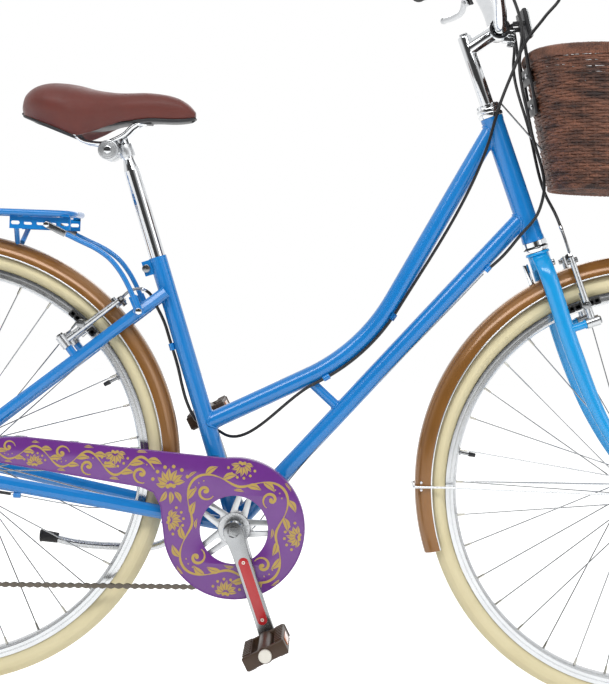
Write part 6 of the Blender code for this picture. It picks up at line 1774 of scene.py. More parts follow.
@dataclass(frozen=True)
class ChainGuard:
    """The purple chain guard with its turned edge and a gold scroll pattern of its own."""

    line: float = 0.060
    thickness: float = 0.0015
    radius: float = 0.1105
    hole: float = 0.053
    flange: float = 0.014
    ink: float = 0.00012
    bays: int = 8
    tail_bays: int = 6
    top_slope: float = 0.0687
    tail_slope: float = 0.0905

    @property
    def middle(self) -> Vector:
        """The centre of the guard's disc."""
        return Vector((BIKE.crank.x, 0, BIKE.crank.z + 0.002))

    @property
    def band(self) -> float:
        """Half the width of the disc's band, from its hole to its edge."""
        return (self.radius - self.hole) / 2

    def outline(self, shrink: float = 0.0) -> list[tuple[float, float]]:
        """The guard's outline, drawn in by the shrink.

        Args:
            shrink: How far it is drawn in.

        Returns:
            The outline's points.
        """
        top, low = 0.054 - shrink, 0.016 + shrink
        rear = 0.060 + shrink
        corners = [(rear, low), (rear, top - 0.010), (rear + 0.034, top - 0.002), (rear + 0.070, top)]
        start, end = math.radians(98), math.radians(-168)
        for step in range(73):
            place = on_circle(self.middle, self.radius - shrink, start + (end - start) * step / 72)
            corners.append((place.x, place.z))
        return corners + [
            (0.346 - shrink, -0.046), (0.334 - shrink, -0.026 + shrink), (0.312, -0.018 + shrink)
        ]

    def build(self) -> None:
        """Makes the guard and its pattern."""
        shape = Shape(ENAMEL_PURPLE)
        shape.plate(
            [self.outline(), circle(BIKE.crank, self.hole, 72)], self.thickness, -self.line, bevel=0.0003
        )
        self.edge(shape)
        bracket = BIKE.seat(0.114)
        face = -BIKE.tube_radius - GAP
        place = Vector((bracket.x, (face - self.line) / 2, bracket.z))
        shape.using(STAINLESS).block((0.012, self.line + face, 0.0015), place, bevel=0.0004)
        for forward in (0.120, 0.205, 0.300):
            top = 0.0532 - self.top_slope * max(0.0, forward - 0.130)
            clip = Vector((forward, -self.line + self.flange / 2, top))
            shape.block((0.014, self.flange * 0.8, 0.0018), clip, bevel=0.0005)
        shape.finished("chain_guard_dressed", "frame", "purple_enamel", ["chain_guard"])
        self.pattern()

    def edge(self, shape: Shape) -> None:
        """The turned edge along the top, round the disc and the tail's end."""
        path = [Vector((x, -self.line + 0.0005, z)) for x, z in self.outline(0.0006)]
        kept = [place for place in path if place.x > 0.078 and not (place.x < 0.43 and place.z < -0.0125)]
        for first, second in zip(kept, kept[1:]):
            along = second - first
            # The step from the disc's foot to the tail's end runs along the open underside.
            if along.length > 0.26:
                continue
            middle = (first + second) / 2 + ACROSS * (self.flange / 2 - 0.001)
            turn = Quaternion((0, 1, 0), math.atan2(-along.z, along.x))
            shape.block((along.length * 1.03, self.flange - 0.001, 0.0012), middle, turn)
        loop = [Vector((x, -self.line - 0.0003, z)) for x, z in self.outline(0.0012)]
        shape.tube(loop, 0.0011, 2, closed=True)

    def pattern(self) -> None:
        """A running vine in gold round the disc and along the tail, with curls, fans and leaves."""
        shape = Shape(GOLD_PRINT)
        middle = self.middle
        pitch = math.tau / self.bays
        radius = (self.hole + self.radius) / 2 + 0.0005

        def on_disc(share: float, across: float) -> Vector:
            """A point of the disc's band."""
            angle = 0.30 - share * pitch
            far = radius + across
            return Vector((middle.x + far * math.cos(angle), middle.z + far * math.sin(angle)))

        def on_tail(share: float, across: float) -> Vector:
            """A point of the tail, whose band widens towards the disc."""
            x = 0.084 + share * 0.0415
            half = 0.020 + 0.043 * (x - 0.090)
            return Vector((x, 0.0322 - self.tail_slope * (x - 0.090) + across * half / self.band))

        for bay in range(self.bays):
            self.bay(shape, on_disc, bay, 1 if bay % 2 else -1, fan=bay % 2 == 0)
        for bay in range(self.tail_bays):
            self.bay(shape, on_tail, bay, 1 if bay % 2 else -1, fan=bay % 3 == 1)
        join = Vector((BIKE.crank.x - 0.101, BIKE.crank.z + 0.066))
        self.flower(shape, join, math.radians(96), 1.3)
        for turn in (-0.55, 0.0, 0.55):
            self.leaf(shape, join + Vector((0.012 * turn, -0.0100)), math.radians(-90) + turn, 0.0200, 0.0080)
        shape.finished("chain_guard_pattern", "frame", "purple_enamel", crease=30)

    def bay(self, shape: Shape, at: Callable[[float, float], Vector], bay: int, lead: int, fan: bool) -> None:
        """One bay of the pattern: the vine's wave, a curl or fan in its hollow, leaves and dots.

        Args:
            shape: The printed pattern.
            at: Gives a point by its share along the bays and its place across the band.
            bay: The bay's number.
            lead: The side that the vine swings to.
            fan: Whether the hollow holds a fan instead of a curl.
        """
        scale = (at(bay + 0.5, 0.01) - at(bay + 0.5, -0.01)).length / 0.02
        swing = lead * 0.0165
        wave = [at(bay + step / 20, swing * math.sin(math.pi * step / 20)) for step in range(21)]
        self.ribbon(shape, wave, 0.0040 * scale)
        heart = at(bay + 0.50, -lead * 0.0095)
        inward = (heart - at(bay + 0.50, lead * 0.01)).normalized()
        outward = math.atan2(-inward.y, -inward.x)
        if fan:
            self.flower(shape, heart + inward * 0.0100 * scale, outward, scale)
        else:
            self.ribbon(shape, self.curl(heart, outward + 2.6, 0.0125 * scale, lead), 0.0046 * scale)
            self.print_on(shape, self.dot(heart, 0.0030 * scale))
            for turn in (-0.5, 0.0, 0.5):
                reach = Vector((math.cos(outward + turn), math.sin(outward + turn))) * 0.0170 * scale
                self.print_on(shape, self.dot(heart + reach, 0.0012 * scale))
        for share, lean in ((0.06, 0.75), (0.72, -0.55)):
            base = at(bay + share, swing * math.sin(math.pi * share))
            onward = at(bay + share + 0.05, swing * math.sin(math.pi * (share + 0.05))) - base
            angle = math.atan2(onward.y, onward.x)
            flip = 1 if (outward - angle) % math.tau < math.pi else -1
            self.leaf(shape, base, angle - flip * lean, 0.0230 * scale, 0.0098 * scale)
        tip = at(bay + 0.5, lead * 0.0235)
        onward = at(bay + 0.6, lead * 0.0235) - tip
        start = tip - onward.normalized() * 0.008 * scale
        self.leaf(shape, start, math.atan2(onward.y, onward.x), 0.0170 * scale, 0.0044 * scale)

    def flower(self, shape: Shape, root: Vector, facing: float, scale: float) -> None:
        """A flower of seven petals in a fan, with a bead at the end of each gap and three at its foot.

        Args:
            shape: The shape that it is added to.
            root: The flower's foot.
            facing: The angle that it faces.
            scale: Its size.
        """
        for petal in range(7):
            angle = facing + (petal - 3) * 0.47
            way = Vector((math.cos(angle), math.sin(angle)))
            reach = (0.0160 - 0.0010 * abs(petal - 3)) * scale
            self.leaf(shape, root + way * 0.0048 * scale, angle, reach, 0.0064 * scale)
            if petal < 6:
                gap = Vector((math.cos(angle + 0.235), math.sin(angle + 0.235)))
                self.print_on(shape, self.dot(root + gap * 0.0225 * scale, 0.0022 * scale))
        for turn in (-1.9, 0.0, 1.9):
            way = Vector((math.cos(facing + turn), math.sin(facing + turn)))
            self.print_on(shape, self.dot(root + way * 0.0010 * scale * abs(turn) * 2, 0.0026 * scale))

    def print_on(self, shape: Shape, outline: Sequence[tuple[float, float]]) -> None:
        """Lays one printed form on the guard's outer face, a hair thicker or thinner than its neighbours."""
        ink = self.ink * (1 + 0.07 * (len(shape.mesh.verts) % 11))
        shape.plate([outline], ink, -self.line - self.thickness / 2 - ink / 2)

    def dot(self, centre: Vector, radius: float) -> list[tuple[float, float]]:
        """A small round form."""
        return circle(Vector((centre[0], 0, centre[1])), radius, 14)

    def ribbon(self, shape: Shape, path: Sequence[Vector], widest: float) -> None:
        """A ribbon along a path that tapers to both ends.

        Args:
            shape: The shape that it is added to.
            path: The line along its middle.
            widest: Its greatest width.
        """
        left, right = [], []
        count = len(path)
        for index, place in enumerate(path):
            along = (path[min(index + 1, count - 1)] - path[max(index - 1, 0)]).normalized()
            half = widest / 2 * (0.25 + 0.75 * math.sin(math.pi * (index + 0.5) / count))
            left.append((place.x - along.y * half, place.y + along.x * half))
            right.append((place.x + along.y * half, place.y - along.x * half))
        self.print_on(shape, left + right[::-1])

    def leaf(self, shape: Shape, base: Vector, angle: float, length: float, width: float) -> None:
        """A pointed leaf of two lobes with an unprinted vein, from its base in a direction.

        Args:
            shape: The shape that it is added to.
            base: Its foot.
            angle: Its direction.
            length: Its length.
            width: Its width.
        """
        along, up = Vector((math.cos(angle), math.sin(angle))), Vector((-math.sin(angle), math.cos(angle)))
        for side in (1, -1):
            edge, vein = [], []
            for step in range(11):
                share = step / 10
                half = width / 2 * math.sin(math.pi * share**0.8)
                bent = base + along * length * share + up * (0.10 * length * math.sin(math.pi * share))
                gap = min(0.00035, half * 0.4)
                edge.append(tuple(bent + up * side * max(half, 0.0001)))
                vein.append(tuple(bent + up * side * gap))
            self.print_on(shape, edge + vein[::-1][1:-1])

    def curl(
        self, centre: Vector, start: float, reach: float, turn: int, turns: float = 1.15
    ) -> list[Vector]:
        """A spiral's points, from its middle outwards.

        Args:
            centre: The spiral's middle.
            start: Its first angle.
            reach: How far out it gets.
            turn: The way that it turns, 1 or -1.
            turns: How often it goes round.

        Returns:
            The points.
        """
        path = []
        for step in range(27):
            share = step / 26
            angle = start + turn * turns * math.tau * share
            path.append(centre + Vector((math.cos(angle), math.sin(angle))) * (0.0016 + reach * share**1.15))
        return path


@dataclass(frozen=True)
class Basket:
    """The woven basket: paired stakes, wavy withies, a roped border and a slatted floor."""

    length: float = 0.300
    width: float = 0.360
    height: float = 0.218
    floor_length: float = 0.205
    floor_width: float = 0.265
    wall: float = 0.007
    rim_reach: float = 0.044
    rim_drop: float = 0.0365
    stakes: int = 44
    rows: int = 46
    withy: float = 0.0026
    square: float = 0.80

    def ring(
        self, share: float, inset: float, count: int, bow: Callable[[int], float] = lambda index: 0.0
    ) -> list[Vector]:
        """A level ring of the basket's wall.

        Args:
            share: Its share of the basket's height.
            inset: How far it is drawn in.
            count: How many points it has.
            bow: How far each point is bowed out, by its number.

        Returns:
            The ring's points.
        """
        drop = self.rim_drop + self.height * (1 - share)
        centre = BIKE.stem_clamp + Vector((self.rim_reach + self.length / 2, 0, -drop))
        half_x = (self.floor_length + (self.length - self.floor_length) * share) / 2 - inset
        half_y = (self.floor_width + (self.width - self.floor_width) * share) / 2 - inset
        places = []
        for index in range(count):
            angle = math.tau * index / count
            across, along = math.sin(angle), math.cos(angle)
            out = bow(index)
            x = (half_x + out) * math.copysign(abs(along) ** self.square, along)
            y = (half_y + out) * math.copysign(abs(across) ** self.square, across)
            places.append(centre + Vector((x, y, 0)))
        return places

    def build(self) -> None:
        """Weaves the basket."""
        chance = random.Random(7)
        shape = Shape(WILLOW)
        per_stake = 4
        count = self.stakes * per_stake
        for row in range(self.rows):
            share = 0.035 + 0.895 * row / (self.rows - 1)
            side = 1 if row % 2 else -1
            sway = chance.uniform(0.85, 1.15)

            def bow(index: int, side: int = side, sway: float = sway) -> float:
                """How far the withy bows before or behind a stake."""
                return side * sway * 0.0012 * math.cos(math.pi * index / per_stake)

            wave = chance.uniform(0, math.tau)
            ring = self.ring(share, self.wall / 2 + 0.0002, count, bow)
            for index, place in enumerate(ring):
                place.z += 0.0005 * math.sin(5 * math.tau * index / count + wave)
            radii = [chance.uniform(0.88, 1.08) for _ in range(count)]
            shape.tube(ring, self.withy, 1, radii, closed=True)
        self.stake_pairs(shape)
        shape.finished("basket_weave", "steering", "brown_wicker", ["basket"], crease=80)
        self.borders()
        self.floor()

    def stake_pairs(self, shape: Shape) -> None:
        """Upright stakes in pairs, from the floor to the border."""
        rings = [self.ring(share, self.wall / 2, self.stakes * 8) for share in (0.01, 0.5, 0.985)]
        for stake in range(self.stakes):
            for lead in (0, 1):
                index = stake * 8 + lead
                shape.tube(smooth([ring[index] for ring in rings], 0.03), 0.0016, 1)

    def borders(self) -> None:
        """The rim, wrapped all round with split willow, and the roped foot of three strands."""
        shape = Shape(WILLOW)
        chance = random.Random(11)
        wraps = 330
        over = ((0.925, 0.0008), (0.965, -0.0012), (0.992, 0.0036), (0.965, 0.0086), (0.925, 0.0070))
        rings = [self.ring(share, inset, wraps) for share, inset in over]
        for index in range(wraps):
            lean = chance.uniform(-0.0006, 0.0006)
            path = [ring[index] + UP * (lean if step in (0, 4) else 0.0) for step, ring in enumerate(rings)]
            shape.tube(smooth(path, 0.006), 0.0019 * chance.uniform(0.9, 1.12), 1)
        shape.tube(self.ring(0.960, 0.0036, 160), 0.0046, 2, closed=True)
        count = 540
        base = self.ring(0.022, 0.0042, count)
        centre = sum(base, Vector()) / count
        for strand in range(3):
            path = []
            for index, place in enumerate(base):
                angle = math.tau * (46 * index / count + strand / 3)
                out = (place - centre).normalized()
                path.append(place + out * 0.0017 * math.cos(angle) + UP * 0.0017 * math.sin(angle))
            shape.tube(path, 0.0022, 1, closed=True)
        shape.finished("basket_borders", "steering", "brown_wicker", crease=80)

    def floor(self) -> None:
        """The floor's woven slats over cross sticks."""
        shape = Shape(WILLOW)
        outline = self.ring(0.024, self.wall + 0.001, 96)
        centre = sum(outline, Vector()) / len(outline)
        reach_x = max(place.x for place in outline) - centre.x
        reach_y = max(place.y for place in outline) - centre.y
        slats = 46
        for row in range(slats):
            across = -1 + 2 * (row + 0.5) / slats
            reach = reach_x * (1 - abs(across) ** 2.5) ** 0.4
            side = 1 if row % 2 else -1
            path = []
            for step in range(25):
                share = -1 + 2 * step / 24
                lift = side * 0.0012 * math.cos(math.pi * step / 2)
                path.append(centre + Vector((reach * share, reach_y * across, lift)))
            shape.tube(path, 0.0022, 1)
        for row in range(13):
            share = -1 + 2 * (row + 0.5) / 13
            reach = reach_y * (1 - abs(share) ** 2.5) ** 0.4
            start = centre + Vector((reach_x * share, -reach, 0))
            end = centre + Vector((reach_x * share, reach, 0))
            shape.rod(start, end, 0.0018, 6)
        shape.finished("basket_floor", "steering", "brown_wicker", crease=80)


def loft(part: bmesh.types.BMesh, rings: Sequence[Sequence[bmesh.types.BMVert]]) -> None:
    """Bridges rings of vertices one after another and closes both ends.

    Args:
        part: The mesh that holds the vertices.
        rings: The rings, each with the same number.
    """
    loops = [[part.edges.new(pair) for pair in zip(ring, [*ring[1:], ring[0]])] for ring in rings]
    for first, second in zip(loops, loops[1:]):
        bmesh.ops.bridge_loops(part, edges=first + second)
    for loop in (loops[0], loops[-1]):
        bmesh.ops.edgeloop_fill(part, edges=loop)


@dataclass(frozen=True)
class Saddle:
    """The padded saddle: cover, the shell's trim and base, rails, clamp and post."""

    width: float = 0.180
    stations: tuple[tuple[float, float, float, float, float], ...] = (
        (-0.1640, 0.36, 0.0780, 0.0600, 0.0610),
        (-0.1570, 0.62, 0.0920, 0.0540, 0.0570),
        (-0.1420, 0.84, 0.1030, 0.0490, 0.0540),
        (-0.1210, 0.97, 0.1090, 0.0415, 0.0505),
        (-0.0960, 0.99, 0.1095, 0.0325, 0.0470),
        (-0.0730, 0.91, 0.1070, 0.0250, 0.0455),
        (-0.0500, 0.79, 0.1020, 0.0320, 0.0455),
        (-0.0280, 0.63, 0.0995, 0.0425, 0.0490),
        (-0.0050, 0.50, 0.0990, 0.0525, 0.0545),
        (0.0350, 0.37, 0.1010, 0.0585, 0.0590),
        (0.0720, 0.32, 0.0965, 0.0590, 0.0600),
        (0.0940, 0.26, 0.0860, 0.0610, 0.0620),
        (0.1060, 0.14, 0.0740, 0.0640, 0.0640),
    )
    rail_places: tuple[tuple[float, float], ...] = (
        (-0.0854, 0.0350),
        (-0.0715, 0.0215),
        (-0.0520, 0.0172),
        (-0.0360, 0.0172),
        (-0.0187, 0.0241),
        (-0.0031, 0.0334),
        (0.0080, 0.0450),
        (0.0160, 0.0505),
    )
    clamp_place: tuple[float, float, float] = (-0.028, 0, 0.007)
    post_radius: float = 0.0127
    neck_radius: float = 0.0092
    swage: float = 0.024
    rail_radius: float = 0.0035
    rail_spread: float = 0.022

    def station(self, share: float) -> tuple[float, ...]:
        """A cross-section's place, width, top, skirt's edge and underside at a share of the length.

        Args:
            share: The place along the saddle, from the tail at 0 to the nose at 1.

        Returns:
            The five measures.
        """
        place = share * (len(self.stations) - 1)
        low = min(int(place), len(self.stations) - 2)
        t = place - low
        before = self.stations[max(low - 1, 0)]
        first, second = self.stations[low], self.stations[low + 1]
        after = self.stations[min(low + 2, len(self.stations) - 1)]
        values = []
        for a, b, c, d in zip(before, first, second, after):
            bend, twist = 2 * a - 5 * b + 4 * c - d, 3 * b - a - 3 * c + d
            values.append(0.5 * (2 * b + (c - a) * t + bend * t**2 + twist * t**3))
        return tuple(values)

    def point(self, share: float, angle: float) -> Vector:
        """A point of the cover's surface.

        Args:
            share: Its place along the saddle, from the tail at 0 to the nose at 1.
            angle: Its turn about the saddle's middle, counted from the top.

        Returns:
            The point.
        """
        x, wide_share, top, low, under = self.station(share)
        half = self.width / 2 * wide_share
        across, up = math.sin(angle), math.cos(angle)
        middle = low + (top - low) * 0.42
        drop = min(1.0, max(0.0, -up) * 2) ** 0.8
        height = middle + (top - middle) * max(0.0, up) ** 0.8 - (middle - low) * drop
        inside = min(max((-up - 0.62) / 0.38, 0.0), 1.0)
        height += max(under - low, 0.0) * inside**0.5
        drawn = 1.0 - 0.13 * drop
        wide = math.copysign(abs(across) ** 0.75, across)
        return BIKE.post_top + Vector((x, half * wide * drawn, height))

    def build(self) -> None:
        """Makes the saddle and its post."""
        self.cover()
        self.trim()
        self.rails()
        self.base()
        self.clamp()
        self.post()

    def post(self) -> None:
        """The seat post, swaged to a neck under the clamp, with five fine height marks."""
        bottom, top, up = BIKE.seat(BIKE.seat_tube - 0.110), BIKE.post_top, BIKE.seat_up
        shoulder = top - up * self.swage
        radius = self.post_radius
        post = Shape(CHROME).rod(bottom, shoulder, radius, 48)
        post.rod(shoulder, top - up * 0.006, radius, 48, end_radius=self.neck_radius)
        post.rod(top - up * 0.008, top + up * 0.030, self.neck_radius, 40, bevel=0.001)
        post.rod(top + up * 0.028, top + up * 0.036, 0.0062, 6, bevel=0.0006)
        inner, outer = radius - 0.0001, radius + 0.00002
        line = [(inner, -0.0002), (outer, -0.0002), (outer, 0.0002), (inner, 0.0002)]
        for mark in range(5):
            post.turned(line, BIKE.seat(BIKE.seat_tube + 0.009 + 0.006 * mark), up, 48)
        post.finished("seatpost_dressed", "seatpost_group", "chrome", ["seatpost"])

    def cover(self) -> None:
        """The leather cover, domed over its foam, with a shallow valley along the middle."""
        shape = Shape(LEATHER)
        part = bmesh.new()
        around, along = 64, 60
        rings = []
        for step in range(along + 1):
            share = step / along
            ring = []
            for index in range(around):
                angle = math.tau * index / around
                place = self.point(share, angle)
                if math.cos(angle) > 0:
                    stretch = min(max((share - 0.06) / 0.62, 0), 1)
                    valley = math.exp(-((place.y / 0.014) ** 2)) * math.sin(math.pi * stretch)
                    place.z -= 0.0030 * valley
                ring.append(part.verts.new(place))
            rings.append(ring)
        loft(part, rings)
        bmesh.ops.remove_doubles(part, verts=part.verts, dist=0.0001)
        edges = sharp_edges(part, 50)
        bmesh.ops.bevel(part, geom=edges, offset=0.0025, segments=3, profile=0.5, affect="EDGES", material=-1)
        shape.add(part)
        piece = shape.finished(
            "saddle_cover_leather", "seatpost_group", "brown_leather", ["saddle_cover"], crease=80
        )

    def trim(self) -> None:
        """The black shell's edge, which shows under the skirt at the rear and under the nose."""
        shape = Shape(PLASTIC)
        low = math.radians(122)
        for start, end, thick in ((0.0, 0.42, 0.0021), (0.70, 1.0, 0.0030)):
            count = 40
            for side in Side:
                turn = low * side.value
                line = [self.point(start + (end - start) * i / count, turn) for i in range(count + 1)]
                for place in line:
                    place.z -= thick * 0.55
                radii = [min(1.0, 0.35 + 4 * min(i, count - i) / count) for i in range(count + 1)]
                shape.tube(line, thick, 2, radii)
        for share in (0.004, 0.996):
            across = [self.point(share, low * turn / 8) for turn in range(-8, 9)]
            foot = min(place.z for place in across)
            rim = [Vector((place.x, place.y, foot - 0.001)) for place in (across[0], across[-1])]
            shape.rod(rim[0], rim[1], 0.0021, 12)
        shape.finished("saddle_trim", "seatpost_group", "black_plastic", crease=60)

    def base(self) -> None:
        """The thin black shell inside the skirt, with the sockets and the hook that hold the rails."""
        part = bmesh.new()
        around, along, thick = 24, 30, 0.0028
        rings = []
        for step in range(along + 1):
            x, wide_share, _, _, under = self.station(0.06 + 0.89 * step / along)
            half = self.width / 2 * wide_share * 0.70
            ring = []
            for index in range(around):
                angle = math.tau * index / around
                across, up = math.sin(angle), math.cos(angle)
                side = half * math.copysign(abs(across) ** 0.5, across)
                rise = thick * math.copysign(abs(up) ** 0.5, up)
                ring.append(part.verts.new(BIKE.post_top + Vector((x, side, under - 0.0034 + rise))))
            rings.append(ring)
        loft(part, rings)
        shape = Shape(PLASTIC).add(part)
        rear, front = self.rail_places[0], self.rail_places[-1]
        for side in Side:
            end = BIKE.post_top + Vector((rear[0], side.value * self.rail_spread, rear[1]))
            shape.rod(
                end + Vector((-0.008, 0, 0.013)), end + Vector((0.001, 0, -0.001)), 0.0065, 20, bevel=0.0008
            )
        hook = BIKE.post_top + Vector((front[0] + 0.015, 0, front[1] + 0.0045))
        shape.block((0.014, 0.034, 0.009), hook, bevel=0.0015)
        shape.finished("saddle_base_dressed", "seatpost_group", "black_plastic", ["saddle_base"])

    def clamp(self) -> None:
        """The clamp: ridged cheeks that hold the rails, a barrel across and a ring round the post's neck."""
        at = BIKE.post_top + Vector(self.clamp_place)
        neck = BIKE.post_top + BIKE.seat_up * 0.008
        shape = Shape(ALLOY_BRIGHT)
        shape.rod(
            neck - BIKE.seat_up * 0.010,
            neck + BIKE.seat_up * 0.010,
            self.neck_radius + 0.0030,
            40,
            bevel=0.0010,
        )
        shape.rod(at, neck, 0.0085, 32)
        disc(shape, 0.0120, at, -self.rail_spread * 0.6, self.rail_spread * 0.6, 40)
        for side in Side:
            lead = side.value
            inner, outer = self.rail_spread - 0.008, self.rail_spread + 0.0075
            shape.using(ALLOY_BRIGHT)
            disc(shape, 0.0158, at, lead * inner, lead * outer, 48, bevel=0.0012)
            for radius in (0.0112, 0.0138):
                ridge = [
                    (radius - 0.0006, 0.0),
                    (radius + 0.0006, 0.0),
                    (radius + 0.0004, 0.0006),
                    (radius - 0.0004, 0.0006),
                ]
                shape.turned(ridge, at + ACROSS * lead * outer, ACROSS * lead, 48)
            shape.using(CHROME)
            disc(shape, 0.0066, at, lead * outer, lead * (outer + 0.0050), 6, bevel=0.0006)
        shape.finished("saddle_clamp_dressed", "seatpost_group", "alloy", ["saddle_clamp"])

    def rails(self) -> None:
        """The two steel rails, joined at the nose."""
        rails = smooth([BIKE.post_top + Vector((x, 0, z)) for x, z in self.rail_places], 0.006)
        half = [place + ACROSS * self.rail_spread for place in rails]
        other = [place - ACROSS * self.rail_spread for place in reversed(rails)]
        nose = rails[-1] + Vector((0.010, 0, 0.001))
        path = half + [nose + ACROSS * self.rail_spread * 0.5, nose - ACROSS * self.rail_spread * 0.5] + other
        shape = Shape(CHROME).tube(path, self.rail_radius, 6)
        shape.finished("saddle_rails_dressed", "seatpost_group", "chrome", ["saddle_rails"], crease=60)


def disc(
    shape: Shape, radius: float, centre: Vector, start: float, end: float, sides: int = 40, bevel: float = 0.0
) -> Shape:
    """Adds a disc or bar across the bicycle, from one side value to another."""
    return shape.rod(centre + ACROSS * start, centre + ACROSS * end, radius, sides, bevel=bevel)


@dataclass(frozen=True)
class Drive:
    """The drive: chainring, cranks, chain, sprockets and derailleur cage."""

    ring_teeth: int = 46
    sprockets: tuple[int, ...] = (14, 16, 18, 20, 22, 24, 28)
    chosen: int = 3
    line: float = BIKE.chain_line
    chain_width: float = 0.007
    chain_height: float = 0.0082
    spacing: float = BIKE.sprocket_pitch
    pulley: float = 0.0225
    guide: tuple[float, float] = (0.010, -0.075)
    tension: tuple[float, float] = (0.004, -0.1605)
    crank_length: float = 0.170
    crank_angle: float = math.radians(-69.6)
    crank_inner: float = 0.0665
    crank_thickness: float = 0.013
    arms: int = 5

    def build(self, frame: dict[str, Any]) -> None:
        """Makes the drive."""
        self.chain()
        self.cassette()
        self.chainring()
        for side in Side:
            self.crank(side)
        self.cage()
        refinish(frame, ("derailleur_body",), PLASTIC)

    def wheels(self) -> tuple[tuple, ...]:
        """The wheels that the chain runs round."""
        return (
            ((0.0, 0.0), pitch_radius(self.sprockets[self.chosen]), 1),
            ((BIKE.crank.x, BIKE.crank.z), pitch_radius(self.ring_teeth), 1),
            (self.tension, self.pulley, 1),
            (self.guide, self.pulley, -1),
        )

    def chain(self) -> None:
        """Plates and rollers along the chain's route."""
        route = [Vector((x, 0, z)) for x, z in belt(self.wheels(), 0.0)]
        lengths = [0.0]
        for first, second in zip(route, route[1:] + route[:1]):
            lengths.append(lengths[-1] + (second - first).length)
        count = round(lengths[-1] / 0.0127 / 2) * 2
        pins = []
        cursor = 0
        for index in range(count):
            place = lengths[-1] * index / count
            while lengths[cursor + 1] < place:
                cursor += 1
            share = (place - lengths[cursor]) / (lengths[cursor + 1] - lengths[cursor])
            pins.append(route[cursor].lerp(route[(cursor + 1) % len(route)], share))
        shape = Shape(CHAIN_STEEL)
        for index, pin in enumerate(pins):
            onward = pins[(index + 1) % count]
            outer = index % 2 == 0
            for side in (1, -1):
                place = -self.line + side * (0.0027 if outer else 0.0018)
                shape.plate([self.link(pin, onward)], 0.0008, place)
            disc(shape, 0.0016, pin, -self.line - 0.0034, -self.line + 0.0034, 8)
            disc(shape, 0.0034, pin, -self.line - 0.0013, -self.line + 0.0013, 10)
        shape.finished("chain_links", "frame", "steel", ["chain"])

    def link(self, pin: Vector, onward: Vector) -> list[tuple[float, float]]:
        """A link plate's waisted outline between two pins.

        Args:
            pin: The first pin's centre.
            onward: The next pin's centre.

        Returns:
            The outline's points.
        """
        along = (onward - pin).normalized()
        up = Vector((-along.z, 0, along.x))
        half = self.chain_height / 2 - 0.0001
        length = (onward - pin).length
        first = [(-0.30, 0.40), (-0.17, 0.90), (0.05, 1.0), (0.22, 0.86)]
        shares = [*first, (0.5, 0.50), (0.78, 0.86), (0.95, 1.0), (1.17, 0.90), (1.30, 0.40)]
        top = [pin + along * length * share + up * half * lift for share, lift in shares]
        low = [pin + along * length * share - up * half * lift for share, lift in reversed(shares)]
        return [(place.x, place.z) for place in top + low]

    def cassette(self) -> None:
        """Seven toothed sprockets on their carrier."""
        shape = Shape(STEEL)
        outer, inner = -self.line - 0.0158, -self.line + 0.0155
        carrier = [(0.0056, outer), (0.0205, outer), (0.0205, inner), (0.0056, inner)]
        shape.turned(carrier, REAR_AXLE, ACROSS, 40)
        for index, teeth in enumerate(self.sprockets):
            middle = -(self.line + (self.chosen - index) * self.spacing)
            low = 0.0010 if index != self.chosen else 0.0
            outline = toothed(REAR_AXLE, teeth, 0.0026 - low)
            shape.plate([outline, circle(REAR_AXLE, 0.0195, 32)], 0.0018, middle)
        shape.finished("cassette_dressed", "cassette_group", "steel", ["cassette"])

    def chainring(self) -> None:
        """The toothed chainring with its spider, bolts and lightening slots."""
        shape = Shape(ALLOY)
        outer = pitch_radius(self.ring_teeth)
        inner = outer - 0.0272
        shape.plate([toothed(BIKE.crank, self.ring_teeth), circle(BIKE.crank, inner, 72)], 0.0022, -self.line)
        face = -self.line - 0.0055
        bore = 0.0166
        rim = bore + 0.009
        collar = [(rim, 0.006), (rim, 0.001), (bore + 0.008, 0), (bore, 0), (bore, 0.006)]
        shape.turned(collar, BIKE.crank + ACROSS * face, ACROSS, 40)
        for index in range(self.arms):
            angle = self.crank_angle + math.tau * index / self.arms
            root = on_circle(BIKE.crank, bore + 0.004, angle)
            tip = on_circle(BIKE.crank, inner + 0.006, angle)
            slot_start, slot_end = root.lerp(tip, 0.22), root.lerp(tip, 0.88)
            outlines = [capsule(root, 0.0140, tip, 0.0112), capsule(slot_start, 0.0040, slot_end, 0.0035)]
            shape.using(ALLOY_BRIGHT).plate(outlines, 0.0045, face + 0.0032, bevel=0.0007)
            shape.using(CHROME)
            disc(shape, 0.0042, tip, face - 0.0004, face + 0.008, 20, bevel=0.0004)
        shape.finished("chainring_dressed", "cranks", "alloy", ["chainring"])

